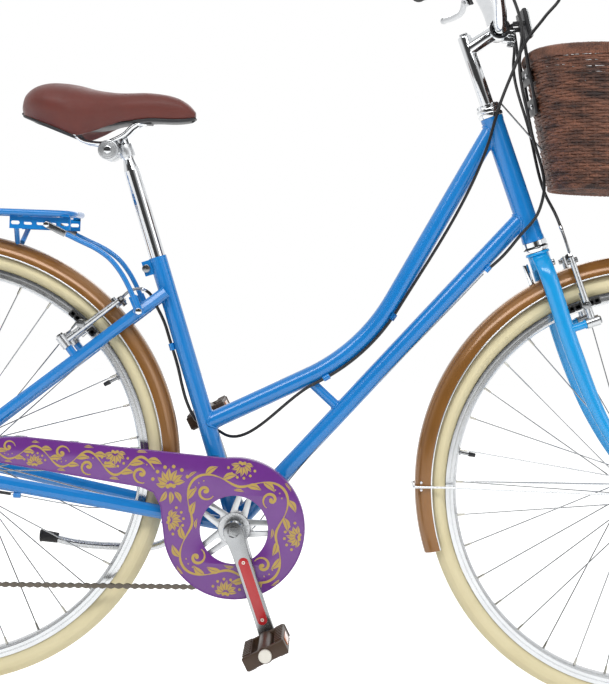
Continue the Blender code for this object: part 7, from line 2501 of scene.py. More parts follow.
    def crank(self, side: Side) -> None:
        """A forged crank arm with its boss, dust cap and a plain red panel."""
        lead = side.value
        angle = self.crank_angle if side is Side.RIGHT else self.crank_angle + math.pi
        eye = on_circle(BIKE.crank, self.crank_length, angle)
        outside = self.crank_inner + self.crank_thickness
        middle = lead * (self.crank_inner + self.crank_thickness / 2)
        along = (eye - BIKE.crank).normalized()
        shape = Shape(POLISHED)
        shape.plate([self.arm_outline(eye)], self.crank_thickness, middle, bevel=0.0028)
        disc(shape, 0.0160, BIKE.crank, lead * 0.0372, lead * (outside - 0.0022), 48, bevel=0.0012)
        disc(
            shape,
            0.0128,
            eye,
            lead * (self.crank_inner - 0.0003),
            lead * (outside - 0.0004),
            40,
            bevel=0.0010,
        )
        shape.using(STEEL)
        disc(
            shape, 0.0122, BIKE.crank, lead * (outside - 0.0032), lead * (outside - 0.0008), 40, bevel=0.0006
        )
        shape.using(ALLOY_BRIGHT)
        disc(shape, 0.0100, BIKE.crank, lead * (outside - 0.0020), lead * outside, 40, bevel=0.0010)
        if side is Side.RIGHT:
            start, end = BIKE.crank + along * 0.050, BIKE.crank + along * 0.143
            face = lead * (outside - 0.0002)
            shape.using(RED_PANEL).plate([capsule(start, 0.0080, end, 0.0078)], 0.0005, face, bevel=0.0001)
            shape.using(WHITE_CAP)
            for place in (start, end):
                rivet = [(0.0012, 0.0), (0.0027, 0.0), (0.0027, 0.0003), (0.0012, 0.0003)]
                shape.turned(rivet, place + ACROSS * face, -ACROSS, 24)
        else:
            shape.using(STEEL)
            disc(shape, 0.0085, BIKE.crank, lead * self.crank_inner, -(outside - 0.0055), 32)
        shape.finished(side.word + "_crank_dressed", "cranks", "alloy", [side.word + "_crank"])
        self.pedal(side, eye, outside)

    def arm_outline(self, eye: Vector) -> list[tuple[float, float]]:
        """The crank arm's outline: a round boss, a slim blade and a round eye.

        Args:
            eye: The centre of the pedal's eye.

        Returns:
            The outline's points.
        """
        along = (eye - BIKE.crank).normalized()
        up = Vector((-along.z, 0, along.x))
        boss_radius, eye_radius = 0.0160, 0.0133
        widths = (
            (0.010, 0.0155),
            (0.022, 0.0142),
            (0.036, 0.0132),
            (0.070, 0.0125),
            (0.135, 0.0123),
            (0.160, 0.0129),
        )
        left = [BIKE.crank + along * far + up * half for far, half in widths]
        right = [BIKE.crank + along * far - up * half for far, half in reversed(widths)]
        nose, heel = [], []
        for step in range(13):
            angle = math.radians(10 + 160 * step / 12)
            nose.append(eye + (along * math.sin(angle) + up * math.cos(angle)) * eye_radius)
            heel.append(BIKE.crank - (along * math.sin(angle) + up * math.cos(angle)) * boss_radius)
        return [(place.x, place.z) for place in left + nose + right + heel]

    def pedal(self, side: Side, eye: Vector, outside: float) -> None:
        """A resin pedal: barrel, two ribbed treads, end plates, spindle and white cap.

        Args:
            side: Its side of the bicycle.
            eye: The centre of the crank's eye.
            outside: How far from the middle plane the crank's outer face lies.
        """
        lead = side.value
        tilt = Quaternion((0, 1, 0), -math.radians(28))
        near, far = outside + GAP + 0.012, outside + GAP + 0.112
        shape = Shape(STEEL)
        disc(shape, 0.0060, eye, lead * (outside + GAP), lead * (near + 0.003), 24)
        disc(shape, 0.0088, eye, lead * (outside + 0.004), lead * (outside + 0.0075), 6, bevel=0.0005)
        shape.using(RESIN)
        disc(shape, 0.0125, eye, lead * (near + 0.001), lead * (far - 0.001), 40, bevel=0.002)
        for end in (near + 0.004, far - 0.004):
            shape.block((0.068, 0.007, 0.0215), eye + ACROSS * lead * end, tilt, bevel=0.0022)
        for fore in (1, -1):
            offset = tilt @ Vector((fore * 0.026, 0, 0))
            place = eye + offset + ACROSS * lead * (near + far) / 2
            shape.block((0.0135, far - near - 0.002, 0.0225), place, tilt, bevel=0.0022)
            for rib in range(9):
                across = lead * (near + 0.010 + (far - near - 0.020) * rib / 8)
                for face in (1, -1):
                    lift = tilt @ Vector((0, 0, face * 0.0118))
                    shape.block(
                        (0.0125, 0.0042, 0.0022), eye + offset + lift + ACROSS * across, tilt, bevel=0.0006
                    )
        for fore in (1, -1):
            offset = tilt @ Vector((fore * 0.0335, 0, 0))
            place = eye + offset + ACROSS * lead * (near + far) / 2
            shape.using(AMBER_LENS).block((0.0010, 0.044, 0.0120), place, tilt, bevel=0.0003)
        shape.using(WHITE_CAP)
        disc(shape, 0.0098, eye, lead * (far - 0.002), lead * (far + 0.0057), 40, bevel=0.0015)
        shape.finished(
            side.word + "_pedal_dressed", side.word + "_pedal_group", "brown_resin", [side.word + "_pedal"]
        )

    def cage(self) -> None:
        """The derailleur's cage plates and its two toothed pulleys."""
        guide = Vector((self.guide[0], 0, self.guide[1]))
        tension = Vector((self.tension[0], 0, self.tension[1]))
        space = self.chain_width / 2 + 0.0005
        shape = Shape(STEEL)
        for side in (1, -1):
            place = -self.line + side * (space + 0.00075)
            outlines = [capsule(guide, 0.0158, tension, 0.0128)]
            if side < 0:
                low, high = guide.lerp(tension, 0.30), guide.lerp(tension, 0.70)
                outlines.append(capsule(low, 0.0052, high, 0.0052))
            shape.plate(outlines, 0.0014, place, bevel=0.0003)
        for centre in (guide, tension):
            shape.using(PLASTIC)
            outline = []
            for step in range(88):
                tooth = math.cos(math.tau * 11 * step / 88)
                radius = self.pulley - 0.0050 + 0.0020 * tooth
                turn = math.tau * step / 88
                outline.append((centre.x + radius * math.cos(turn), centre.z + radius * math.sin(turn)))
            shape.plate([outline, circle(centre, 0.0060)], 0.0030, -self.line)
            shape.using(STEEL)
            disc(shape, 0.0062, centre, -self.line - 0.0022, -self.line + 0.0022, 24)
            shape.using(CHROME)
            disc(
                shape,
                0.0040,
                centre,
                -self.line - space - 0.0015,
                -self.line + space + 0.0015,
                6,
                bevel=0.0004,
            )
        shape.finished("derailleur_cage_dressed", "frame", "steel", ["derailleur_cage"])


@dataclass(frozen=True)
class Brakes:
    """The four brake arms with their pads, washers, noodles, boots and wires."""

    spread: float = 0.0405
    arm_length: float = 0.107
    pin: float = 0.004
    half: float = 0.0105
    below_edge: float = 0.008
    rear_offset: float = 0.033
    front_offset: float = 0.042
    rear_pad: tuple[float, float] = (0.038, 0.007)
    front_pad: tuple[float, float] = (0.028, -0.001)

    def build(self) -> None:
        """Makes the arms, and the wire gear between each pair."""
        pad_radius = BIKE.rim_edge - self.below_edge
        pad_up, pad_back = self.rear_pad
        behind = BIKE.stay_foot * BIKE.stay_back.z + (self.rear_offset + pad_back)
        rear_up = math.sqrt(pad_radius**2 - behind**2) - pad_up
        front_up = pad_radius - self.front_pad[0]
        for side in Side:
            rear = BIKE.stay(rear_up, self.rear_offset, side.value * self.spread)
            self.arm("rear", side, rear, BIKE.stay_up, BIKE.stay_back, REAR_AXLE, self.rear_pad)
            front = BIKE.steer(front_up, self.front_offset, side.value * self.spread)
            self.arm("front", side, front, BIKE.steer_up, BIKE.steer_fore, BIKE.front_axle, self.front_pad)
        self.wire("rear", BIKE.stay(rear_up, self.rear_offset), BIKE.stay_up)
        self.wire("front", BIKE.steer(front_up, self.front_offset), BIKE.steer_up)

    def arm(
        self,
        end: str,
        side: Side,
        pivot: Vector,
        up: Vector,
        back: Vector,
        centre: Vector,
        pad: tuple[float, float],
    ) -> None:
        """One arm with its barrel, spring, pad and clamp bolt.

        Args:
            end: The wheel that it brakes, front or rear.
            side: Its side.
            pivot: The middle of its barrel.
            up: The direction from the pivot along the arm.
            back: The pivot's direction, away from the stay or blade.
            centre: The wheel's centre, which its pad curves about.
            pad: How far along the arm and how far back the pad lies.
        """
        pad_up, pad_back = pad
        lead = side.value
        bore = self.pin + 0.0005
        shape = Shape(ALLOY)
        barrel = [(0.0085, self.half), (0.0085, -self.half), (bore, -self.half), (bore, self.half)]
        shape.turned(barrel, pivot, back, 36)
        tip = pivot + up * self.arm_length
        bolt = tip - up * 0.006
        width = ACROSS * lead
        path = smooth([pivot + up * 0.0055, pivot + up * 0.040, pivot + up * 0.075, tip], 0.006)
        taper = ((0, 1.0), (0.05, 0.86), (self.arm_length, 0.75))
        radii = [between((place - pivot).dot(up), taper) for place in path]
        shape.tube(path, 0.0060, 4, radii)
        shape.using(STAINLESS)
        shape.rod(bolt - back * 0.0088, bolt + back * 0.0088, 0.0043, 6, bevel=0.0004)
        shape.rod(
            pivot + back * (self.half - 0.0005), pivot + back * (self.half + 0.0035), 0.0060, 6, bevel=0.0005
        )
        spring_top = pivot + up * 0.050 - width * 0.001 - back * 0.006
        spring_foot = pivot + up * 0.014 + width * 0.002 - back * 0.0076
        shape.rod(spring_top, spring_foot, 0.0009, 8)
        pad_middle = pivot + up * pad_up + back * pad_back
        inner = BIKE.rim_width / 2 + 0.002
        lug_start = pivot + up * pad_up - back * 0.002
        shape.using(ALLOY).rod(lug_start, pad_middle + back * 0.004, 0.0055, 24, bevel=0.0006)
        stub_start = Vector((pad_middle.x, lead * (self.spread + 0.008), pad_middle.z))
        pad_side = lead * (inner + 0.0095 / 2)
        stub_end = Vector((pad_middle.x, pad_side, pad_middle.z))
        shape.using(STAINLESS).rod(stub_start, stub_end, 0.0033, 18, bevel=0.0004)
        for washer in (0.0052, -0.0075):
            place = Vector((pad_middle.x, lead * (self.spread + washer), pad_middle.z))
            shape.rod(place, place + width * 0.0022, 0.0065, 24, bevel=0.0006)
        out = pad_middle - centre
        turn = Quaternion((0, 1, 0), math.atan2(out.x, out.z))
        shape.using(RUBBER)
        for share in (-2, -1, 0, 1, 2):
            lift = turn @ Vector((share * 0.0108, 0, -0.0006 * abs(share)))
            shape.block((0.0098, 0.0090, 0.0098), stub_end + lift, turn, bevel=0.0012)
        shape.using(PLASTIC).block((0.050, 0.0030, 0.0070), stub_end + width * 0.0030, turn, bevel=0.001)
        name = side.word + "_" + end + "_brake_arm"
        shape.finished(name + "_dressed", side.word + "_" + end + "_arm", "alloy", [name])

    def wire(self, end: str, pivot: Vector, up: Vector) -> None:
        """The bent noodle at the right arm, and its rubber boot over the bare wire.

        Args:
            end: The wheel that is braked, front or rear.
            pivot: The point between both arms' pivots.
            up: The arms' direction.
        """
        level = pivot + up * (self.arm_length + 0.001)
        right = -self.spread
        shape = Shape(CHROME)
        noodle = [
            level + ACROSS * (right - 0.002) + up * 0.004,
            level + ACROSS * (right + 0.002) + up * 0.0025,
            level + ACROSS * (right + 0.010),
        ]
        shape.tube(smooth(noodle, 0.002), 0.0026, 4)
        shape.using(RUBBER)
        shape.rod(
            level + ACROSS * (right + 0.008),
            level + ACROSS * (right + 0.034),
            0.0046,
            20,
            0.0030,
            bevel=0.0005,
        )
        for rib in range(7):
            place = level + ACROSS * (right + 0.010 + 0.0034 * rib)
            shape.rod(place, place + ACROSS * 0.0016, 0.0052 - 0.0002 * rib, 20, bevel=0.0004)
        shape.using(STAINLESS)
        shape.rod(level + ACROSS * (right + 0.030), level + ACROSS * self.spread, 0.0008, 8)
        shape.finished(end + "_brake_wire", "right_" + end + "_arm", "steel")


@dataclass(frozen=True)
class Cockpit:
    """Stem, handlebar, grips, shifter, levers and the levers' brackets."""

    bar_radius: float = 0.0111
    bend: tuple[tuple[float, float, float], ...] = (
        (0.0, 0.033, 0.0),
        (-0.007, 0.060, 0.034),
        (-0.023, 0.105, 0.077),
        (-0.038, 0.140, 0.102),
    )
    grip_from: tuple[float, float, float] = (-0.044, 0.155, 0.106)
    bar_end: tuple[float, float, float] = (-0.111, 0.325, 0.113)
    grip_radius: float = 0.0165
    grip_length: float = 0.118
    shifter_length: float = 0.026
    shifter_radius: float = 0.019
    quill_radius: float = 0.0111
    quill_top: float = 0.777

    def line(self, side: Side) -> tuple[Vector, Vector, float]:
        """Where the straight end of the bar starts, its direction outwards and its length.

        Args:
            side: The bar's side.

        Returns:
            The start, the direction and the length.
        """
        start = BIKE.stem_clamp + Vector(
            (self.grip_from[0], side.value * self.grip_from[1], self.grip_from[2])
        )
        end = BIKE.stem_clamp + Vector((self.bar_end[0], side.value * self.bar_end[1], self.bar_end[2]))
        return start, (end - start).normalized(), (end - start).length

    def build(self) -> None:
        """Makes the stem, bar, grips, shifter and levers."""
        self.stem()
        self.bar()
        for side in Side:
            self.grip(side)
            self.bracket(side)
            self.lever(side)
        self.shifter()

    def stem(self) -> None:
        """The quill stem with its wedge bolt, clamp ears and bolt."""
        clamp = BIKE.stem_clamp
        shape = Shape(CHROME)
        bottom = BIKE.steer(BIKE.head_top + BIKE.upper_cup - 0.090)
        top = self.quill_top
        shape.rod(bottom, BIKE.steer(top - 0.001), self.quill_radius, 48, bevel=0.0015)
        low = BIKE.steer(top - 0.022)
        neck = smooth([low, low.lerp(clamp, 0.5) + UP * 0.0005, clamp], 0.004)
        shape.tube(neck, 0.0133, 8, [between(i / len(neck), ((0, 1.0), (1, 0.86))) for i in range(len(neck))])
        ring = [(0.0118, -0.0199), (0.0158, -0.0199), (0.0164, -0.0190)]
        ring += [(radius, -side) for radius, side in reversed(ring)]
        shape.turned(ring, clamp, ACROSS, 48)
        for drop in (0.0045, 0.0155):
            shape.block((0.0195, 0.0215, 0.0085), clamp + Vector((0.0170, 0, -drop)), bevel=0.0015)
        bolt = clamp + Vector((0.020, 0, -0.010))
        shape.using(STAINLESS).rod(bolt - UP * 0.0160, bolt + UP * 0.0157, 0.0038, 20)
        shape.rod(bolt - UP * 0.0160, bolt - UP * 0.0110, 0.0062, 6, bevel=0.0006)
        shape.rod(BIKE.steer(top - 0.001), BIKE.steer(top + 0.0038), 0.0068, 6, bevel=0.0006)
        shape.using(CHROME)
        shape.rod(BIKE.steer(top - 0.004), BIKE.steer(top), 0.0108, 40, 0.0100, bevel=0.0008)
        shape.finished("quill_stem_dressed", "steering", "chrome", ["quill_stem"])

    def bar(self) -> None:
        """The swept handlebar."""
        rows = self.bend + (self.grip_from, self.bar_end)
        left, right = (
            [BIKE.stem_clamp + Vector((x, side.value * y, z)) for x, y, z in rows] for side in Side
        )
        path = [right[-1], right[-2]] + smooth(right[:-1][::-1], 0.006)[1:-1]
        path += [right[0], left[0]] + smooth(left[:-1], 0.006)[1:-1] + [left[-2], left[-1]]
        shape = Shape(CHROME).tube(path, self.bar_radius, 8)
        shape.finished("handlebar_dressed", "steering", "chrome", ["handlebar"], crease=60)

    def grip(self, side: Side) -> None:
        """A rubber grip with its collar, rings and palm ribs."""
        start, out, length = self.line(side)
        radius, far, bore = self.grip_radius, self.grip_length, 0.0112
        place = start + out * (length - far)
        groove = radius - 0.0008
        profile = [(bore, 0), (radius + 0.0024, 0), (radius + 0.0024, 0.0035), (radius, 0.0055)]
        rings = 18
        for ring in range(rings):
            low = 0.010 + (far - 0.020) * ring / rings
            profile += [(radius, low), (groove, low + 0.0010), (groove, low + 0.0030), (radius, low + 0.0040)]
        profile += [(radius, far - 0.004), (radius + 0.0012, far - 0.001), (radius - 0.001, far + 0.0045)]
        profile += [(0.0, far + 0.0049), (0.0, far), (bore, far)]
        shape = Shape(RUBBER).turned(profile, place, out, 48)
        shape.finished(side.word + "_grip_dressed", "steering", "black_rubber", [side.word + "_grip"])

    def shifter(self) -> None:
        """The twist shifter's ribbed ring."""
        start, out, length = self.line(Side.RIGHT)
        place = start + out * (length - self.grip_length - GAP - self.shifter_length)
        radius = self.shifter_radius
        shape = Shape(PLASTIC)
        profile = [
            (0.0115, 0), (radius - 0.001, 0), (radius, 0.001), (radius, 0.007), (radius - 0.0016, 0.008)
        ]
        profile += [(radius - 0.0018, 0.021), (radius - 0.0024, 0.0258), (0.0115, 0.0258)]
        shape.turned(profile, place, out, 48)
        turn = out.to_track_quat("Z", "Y")
        shape.using(RUBBER)
        for rib in range(20):
            angle = math.tau * rib / 20
            around = turn @ Vector((math.cos(angle), math.sin(angle), 0))
            near = place + around * (radius - 0.0017) + out * 0.009
            shape.rod(near, place + around * (radius - 0.0019) + out * 0.0215, 0.0015, 8)
        shape.finished("shifter_dressed", "shifter_ring", "black_plastic", ["shifter"])

    def fore(self, out: Vector) -> Vector:
        """The direction square to the bar that a lever's hinge lies in."""
        lean = Vector((0.55, 0, -0.83))
        return (lean - out * out.dot(lean)).normalized()

    def bracket(self, side: Side) -> None:
        """A brake lever's clamp, arm and adjusting barrel."""
        start, out, _ = self.line(side)
        centre = start + out * 0.011
        fore = self.fore(out)
        hinge = out.cross(fore).normalized() * side.value
        turn = Matrix((out, hinge, fore)).transposed().to_quaternion()
        shape = Shape(PLASTIC)
        clamp = [(0.0165, 0.0066), (0.0158, 0.0070), (0.0116, 0.0070)]
        clamp += [(far, -along) for far, along in reversed(clamp)]
        shape.turned(clamp, centre, out, 48)
        shape.block((0.0118, 0.0118, 0.020), centre + fore * 0.022 - out * 0.005, turn, bevel=0.0015)
        shape.block((0.022, 0.0038, 0.018), centre + fore * 0.035 + out * 0.006, turn, bevel=0.0010)
        shape.using(STAINLESS)
        head = centre + fore * 0.024 - out * 0.008
        shape.rod(head, head - out * 0.018, 0.0042, 24, bevel=0.0005)
        for near, far in ((0.004, 0.008), (0.0095, 0.0125)):
            shape.rod(head - out * near, head - out * far, 0.0045, 12, bevel=0.0004)
        pivot = centre + fore * 0.036 + out * 0.010
        shape.rod(pivot - hinge * 0.0074, pivot + hinge * 0.0074, 0.0029, 18, bevel=0.0004)
        name = side.word + "_lever_bracket"
        shape.finished(name + "_dressed", "steering", "alloy", [name])

    def lever(self, side: Side) -> None:
        """A lever's round blade with its ball end, and the two ears at its pivot."""
        start, out, _ = self.line(side)
        fore = self.fore(out)
        hinge = out.cross(fore).normalized() * side.value
        pivot = start + out * 0.011 + fore * 0.036 + out * 0.010
        route = ((0.011, 0.0), (0.035, 0.016), (0.075, 0.024), (0.118, 0.026))
        places = [pivot + out * along + fore * ahead for along, ahead in route]
        shape = Shape(ALLOY).tube(smooth(places, 0.005), 0.0051, 6)
        shape.ball(places[-1] - out * 0.001, 0.0062, rings=12)
        for lead in (1, -1):
            ear = pivot + hinge * lead * 0.0042
            shape.rod(ear - hinge * 0.0016, ear + hinge * 0.0016, 0.0082, 28, bevel=0.0005)
            shape.rod(
                ear + out * 0.001, pivot + out * 0.020 + fore * 0.009 + hinge * lead * 0.0020, 0.0026, 16
            )
        name = side.word + "_brake_lever"
        shape.finished(name + "_dressed", side.word + "_lever", "alloy", [name])


@dataclass(frozen=True)
class Bracket:
    """The basket's bracket: clamps and arms from the handlebar, back plate, bolts and reflector."""

    wire: float = 0.0028
    ring_side: float = 0.0235
    arm_side: float = 0.046
    rail_side: float = 0.036
    bar_shares: tuple[float, float] = (0.10, 0.90)
    reflector: tuple[float, float, float] = (0.010, 0.080, 0.048)
    reflector_lean: float = math.radians(-15)

    def build(self) -> None:
        """Makes the bracket with the reflector."""
        basket = Basket()
        low, high = self.back_of(basket, 0.585), self.back_of(basket, 0.86)
        along = (high - low).normalized()
        back = Vector((-along.z, 0, along.x))
        tilt = Quaternion((0, 1, 0), math.atan2(along.x, along.z))
        shape = Shape(PLASTIC)
        for share in self.bar_shares:
            shape.block((0.005, 0.080, 0.026), low.lerp(high, share) + back * 0.0035, tilt, bevel=0.0018)
        for side in Side:
            rail = low.lerp(high, 0.5) + back * 0.0032 + ACROSS * side.value * self.rail_side
            shape.block((0.0045, 0.007, (high - low).length), rail, tilt, bevel=0.0015)
        for side in Side:
            lead = side.value
            ring_place = BIKE.stem_clamp + ACROSS * lead * self.ring_side
            ring = [(0.0158, 0.0032), (0.0164, 0.0026), (0.0164, -0.0026)]
            ring += [(0.0158, -0.0032), (0.0131, -0.0032), (0.0131, 0.0032)]
            shape.turned(ring, ring_place, ACROSS, 36)
            arm = [
                ring_place + Vector((0.0145, 0, 0.002)),
                BIKE.stem_clamp + Vector((0.030, lead * self.arm_side, 0.010)),
                high + back * 0.012 + ACROSS * lead * self.arm_side + UP * 0.034,
                high + back * 0.0045 + ACROSS * lead * self.rail_side - along * 0.012,
            ]
            shape.tube(rounded(arm, 0.010, 6), self.wire, 4)
        for side in Side:
            for share in self.bar_shares:
                bolt = low.lerp(high, share) + back * 0.006 + ACROSS * side.value * 0.022
                shape.using(CHROME).rod(bolt, bolt + back * 0.0032, 0.0042, 6, bevel=0.0005)
        self.front_reflector(shape)
        brace = BIKE.steer(BIKE.head_top + 0.020, 0.020)
        shape.using(STAINLESS).rod(brace, self.back_of(basket, 0.30), 0.0014, 12)
        shape.finished("basket_bracket_dressed", "steering", "black_plastic", ["basket_bracket"])

    def back_of(self, basket: Basket, share: float) -> Vector:
        """The middle of the basket's rear wall at a share of its height."""
        ring = basket.ring(share, 0.0, 4)
        return Vector((ring[2].x, 0, ring[2].z))

    def front_reflector(self, shape: Shape) -> None:
        """The clear reflector in its black case with a bright edge, held by two posts."""
        face = BIKE.stem_clamp + Vector((0.042, 0, 0.008))
        lean = Quaternion((0, 1, 0), self.reflector_lean)
        ahead = lean @ Vector((1, 0, 0))
        depth, wide, tall = self.reflector
        shape.using(PLASTIC).block((depth * 0.6, wide, tall), face - ahead * depth * 0.15, lean, bevel=0.002)
        shape.using(CHROME).block(
            (0.0016, wide - 0.0015, tall - 0.0015), face + ahead * depth * 0.22, lean, bevel=0.0004
        )
        shape.using(CLEAR_LENS).block(
            (0.0026, wide - 0.005, tall - 0.005), face + ahead * depth * 0.36, lean, bevel=0.0008
        )
        for side in Side:
            start = BIKE.stem_clamp + Vector((0.019, side.value * 0.0335, 0.0053))
            shape.using(PLASTIC).rod(start, face - ahead * 0.002 + ACROSS * side.value * 0.0335, 0.004, 16)


@dataclass(frozen=True)
class Rack:
    """The blue rod rack with its deck strip, cross rods, legs, braces and bolts."""

    level: float = 0.403
    front: float = 0.204
    deck_front: float = 0.190
    rear: float = -0.170
    half_width: float = 0.060
    rod: float = 0.005
    brace: float = 0.004
    brace_up: float = 0.392
    bracket_side: float = 0.050
    foot: tuple[float, float, float] = (-0.006, 0.0, 0.021)
    foot_side: float = 0.0788
    stay_sides: tuple[tuple[float, float], ...] = (
        (0.036, 0.0705),
        (0.269, 0.0405),
        (0.373, 0.037),
        (0.385, 0.037),
        (0.40, 0.0228),
    )

    def build(self) -> None:
        """Makes the rack."""
        loop = [(self.deck_front, -1), (self.deck_front, 1), (self.rear, 1), (self.rear, -1)]
        corners = [Vector((x, side * self.half_width, self.level)) for x, side in loop]
        shape = Shape(ENAMEL_BLUE).tube(rounded(corners, 0.030, 10, closed=True), self.rod, 6, closed=True)
        for forward in (self.front - 0.055, self.front - 0.190, self.rear + 0.055):
            ends = [Vector((forward, side.value * self.half_width, self.level)) for side in Side]
            shape.rod(ends[0], ends[1], self.rod * 0.8, 20)
        strip = Vector(((self.deck_front + self.rear) / 2, 0, self.level + 0.001))
        shape.block((self.deck_front - self.rear - 0.002, 0.046, 0.003), strip, bevel=0.0008)
        for side in Side:
            self.side_rods(shape, side)
        shape.finished("rear_rack_dressed", "frame", "blue_enamel", ["rear_rack"], crease=50)

    def side_rods(self, shape: Shape, side: Side) -> None:
        """One side's leg and its brace to the seat stay, with flattened ends and bolts.

        Args:
            shape: The shape that it is added to.
            side: Its side of the bicycle.
        """
        lead = side.value
        top = Vector((self.front - 0.225, lead * self.half_width, self.level))
        foot = Vector(self.foot) + ACROSS * lead * self.foot_side
        knee = foot + Vector((-0.001, 0, 0.060))
        shape.using(ENAMEL_BLUE).tube(rounded([top, knee, foot], 0.05, 10), self.rod, 6)
        shape.rod(foot - ACROSS * 0.005, foot + ACROSS * 0.005, 0.0065, 24, bevel=0.0006)
        side_at = between(self.brace_up - 0.012, self.stay_sides)
        end = BIKE.stay(self.brace_up, 0, lead * (side_at + 0.0095 + GAP + 0.0015))
        pin = Vector((0.1495, lead * self.bracket_side, 0.3855))
        rows = (
            (0.180, 0.3715),
            (0.199, 0.3630),
            (0.230, 0.3490),
            (0.249, 0.3360),
            (0.268, 0.3140),
            (0.2800, 0.2940),
        )
        reach = end - pin
        path = []
        for x, z in rows:
            outward = min(1.0, (x - pin.x) / (rows[-1][0] - pin.x))
            path.append(Vector((x, pin.y + reach.y * outward, z)))
        shape.tube(smooth(path + [end], 0.006), self.brace, 6)
        last = (end - path[-1]).normalized()
        turn = Quaternion((0, 1, 0), math.atan2(-last.z, last.x))
        shape.block((0.034, 0.003, 0.013), end - Vector((last.x, 0, last.z)) * 0.009, turn, bevel=0.0010)
        self.hung_plate(shape, lead)
        first = (path[0] - pin).normalized()
        turn = Quaternion((0, 1, 0), math.atan2(-first.z, first.x))
        out = ACROSS * lead
        link = pin + first * 0.015 + out * 0.003
        shape.using(STAINLESS).block((0.036, 0.0040, 0.0105), link, turn, bevel=0.0012)
        shape.using(CHROME).rod(pin + out * 0.004, pin + out * 0.0085, 0.0050, 6, bevel=0.0006)
        shape.rod(end + out * 0.0014, end + out * 0.0044, 0.0056, 6, bevel=0.0006)
        shape.rod(foot + out * 0.0045, foot + out * 0.0080, 0.0050, 24, bevel=0.0008)

    def hung_plate(self, shape: Shape, lead: int) -> None:
        """The slotted plate under the deck's front, one on each side, with its strut to the mudguard.

        Args:
            shape: The shape that it is added to.
            lead: Its side, 1 for the left and -1 for the right.
        """
        low, high = 0.3775, 0.3965
        outline = [(0.091, low), (0.091, high), (0.186, high), (0.186, low)]
        holes = []
        for forward in (0.100, 0.120, 0.140, 0.160, 0.177):
            start, end = Vector((forward - 0.004, 0, 0.3868)), Vector((forward + 0.004, 0, 0.3868))
            holes.append(capsule(start, 0.0028, end, 0.0028))
        shape.using(ENAMEL_BLUE).plate([outline, *holes], 0.0020, lead * self.bracket_side)
        for forward in (0.097, 0.180):
            tab = Vector((forward, lead * (self.bracket_side + self.half_width) / 2, self.level - 0.0035))
            shape.block((0.012, self.half_width - self.bracket_side + 0.004, 0.0020), tab)
            post = Vector((forward, lead * self.bracket_side, (high + self.level) / 2 - 0.002))
            shape.block((0.012, 0.0020, self.level - high), post)
        foot = Vector((0.0985, lead * self.bracket_side * 0.36, 0.3560))
        top = Vector((0.1020, lead * self.bracket_side, 0.3800))
        shape.rod(foot, top, 0.0042, 16)


@dataclass(frozen=True)
class Kickstand:
    """The folded kickstand with its pivot eye and rubber foot."""

    pivot_behind: float = 0.095
    pivot_drop: float = 0.118
    splay: float = math.radians(19)
    lug_side: float = 0.040
    radius: float = 0.0065

    def build(self) -> None:
        """Makes the leg."""
        axis = Vector((0, -math.cos(self.splay), -math.sin(self.splay)))
        root = Vector((BIKE.crank_forward - self.pivot_behind, self.lug_side, -self.pivot_drop))
        back = Vector((-1, 0, 0))
        start = root - axis * 0.008
        shape = Shape(ALLOY)
        eye = [(0.0115, 0.0065), (0.012, 0.0060), (0.012, -0.0060), (0.0115, -0.0065)]
        shape.turned(eye + [(0.0046, -0.0065), (0.0046, 0.0065)], start, -axis, 36)
        route = ((0.008, 0.0, 0.0), (0.030, 0.002, -0.012), (0.100, 0.004, -0.018))
        route += ((0.185, 0.004, -0.012), (0.214, 0.004, -0.005))
        path = smooth([start + back * far + Vector((0, side, drop)) for far, side, drop in route], 0.006)
        shape.tube(path, self.radius, 6)
        end = path[-1]
        low = end + back * -0.018 + Vector((0, 0, -0.003))
        shape.using(RUBBER).rod(low, end + back * 0.0085, 0.0082, 32, 0.0094, bevel=0.0010)
        shape.rod(end + back * 0.008, end + back * 0.0117, 0.0100, 32, bevel=0.0008)
        shape.finished("kickstand_leg_dressed", "kickstand", "alloy", ["kickstand_leg"], crease=50)


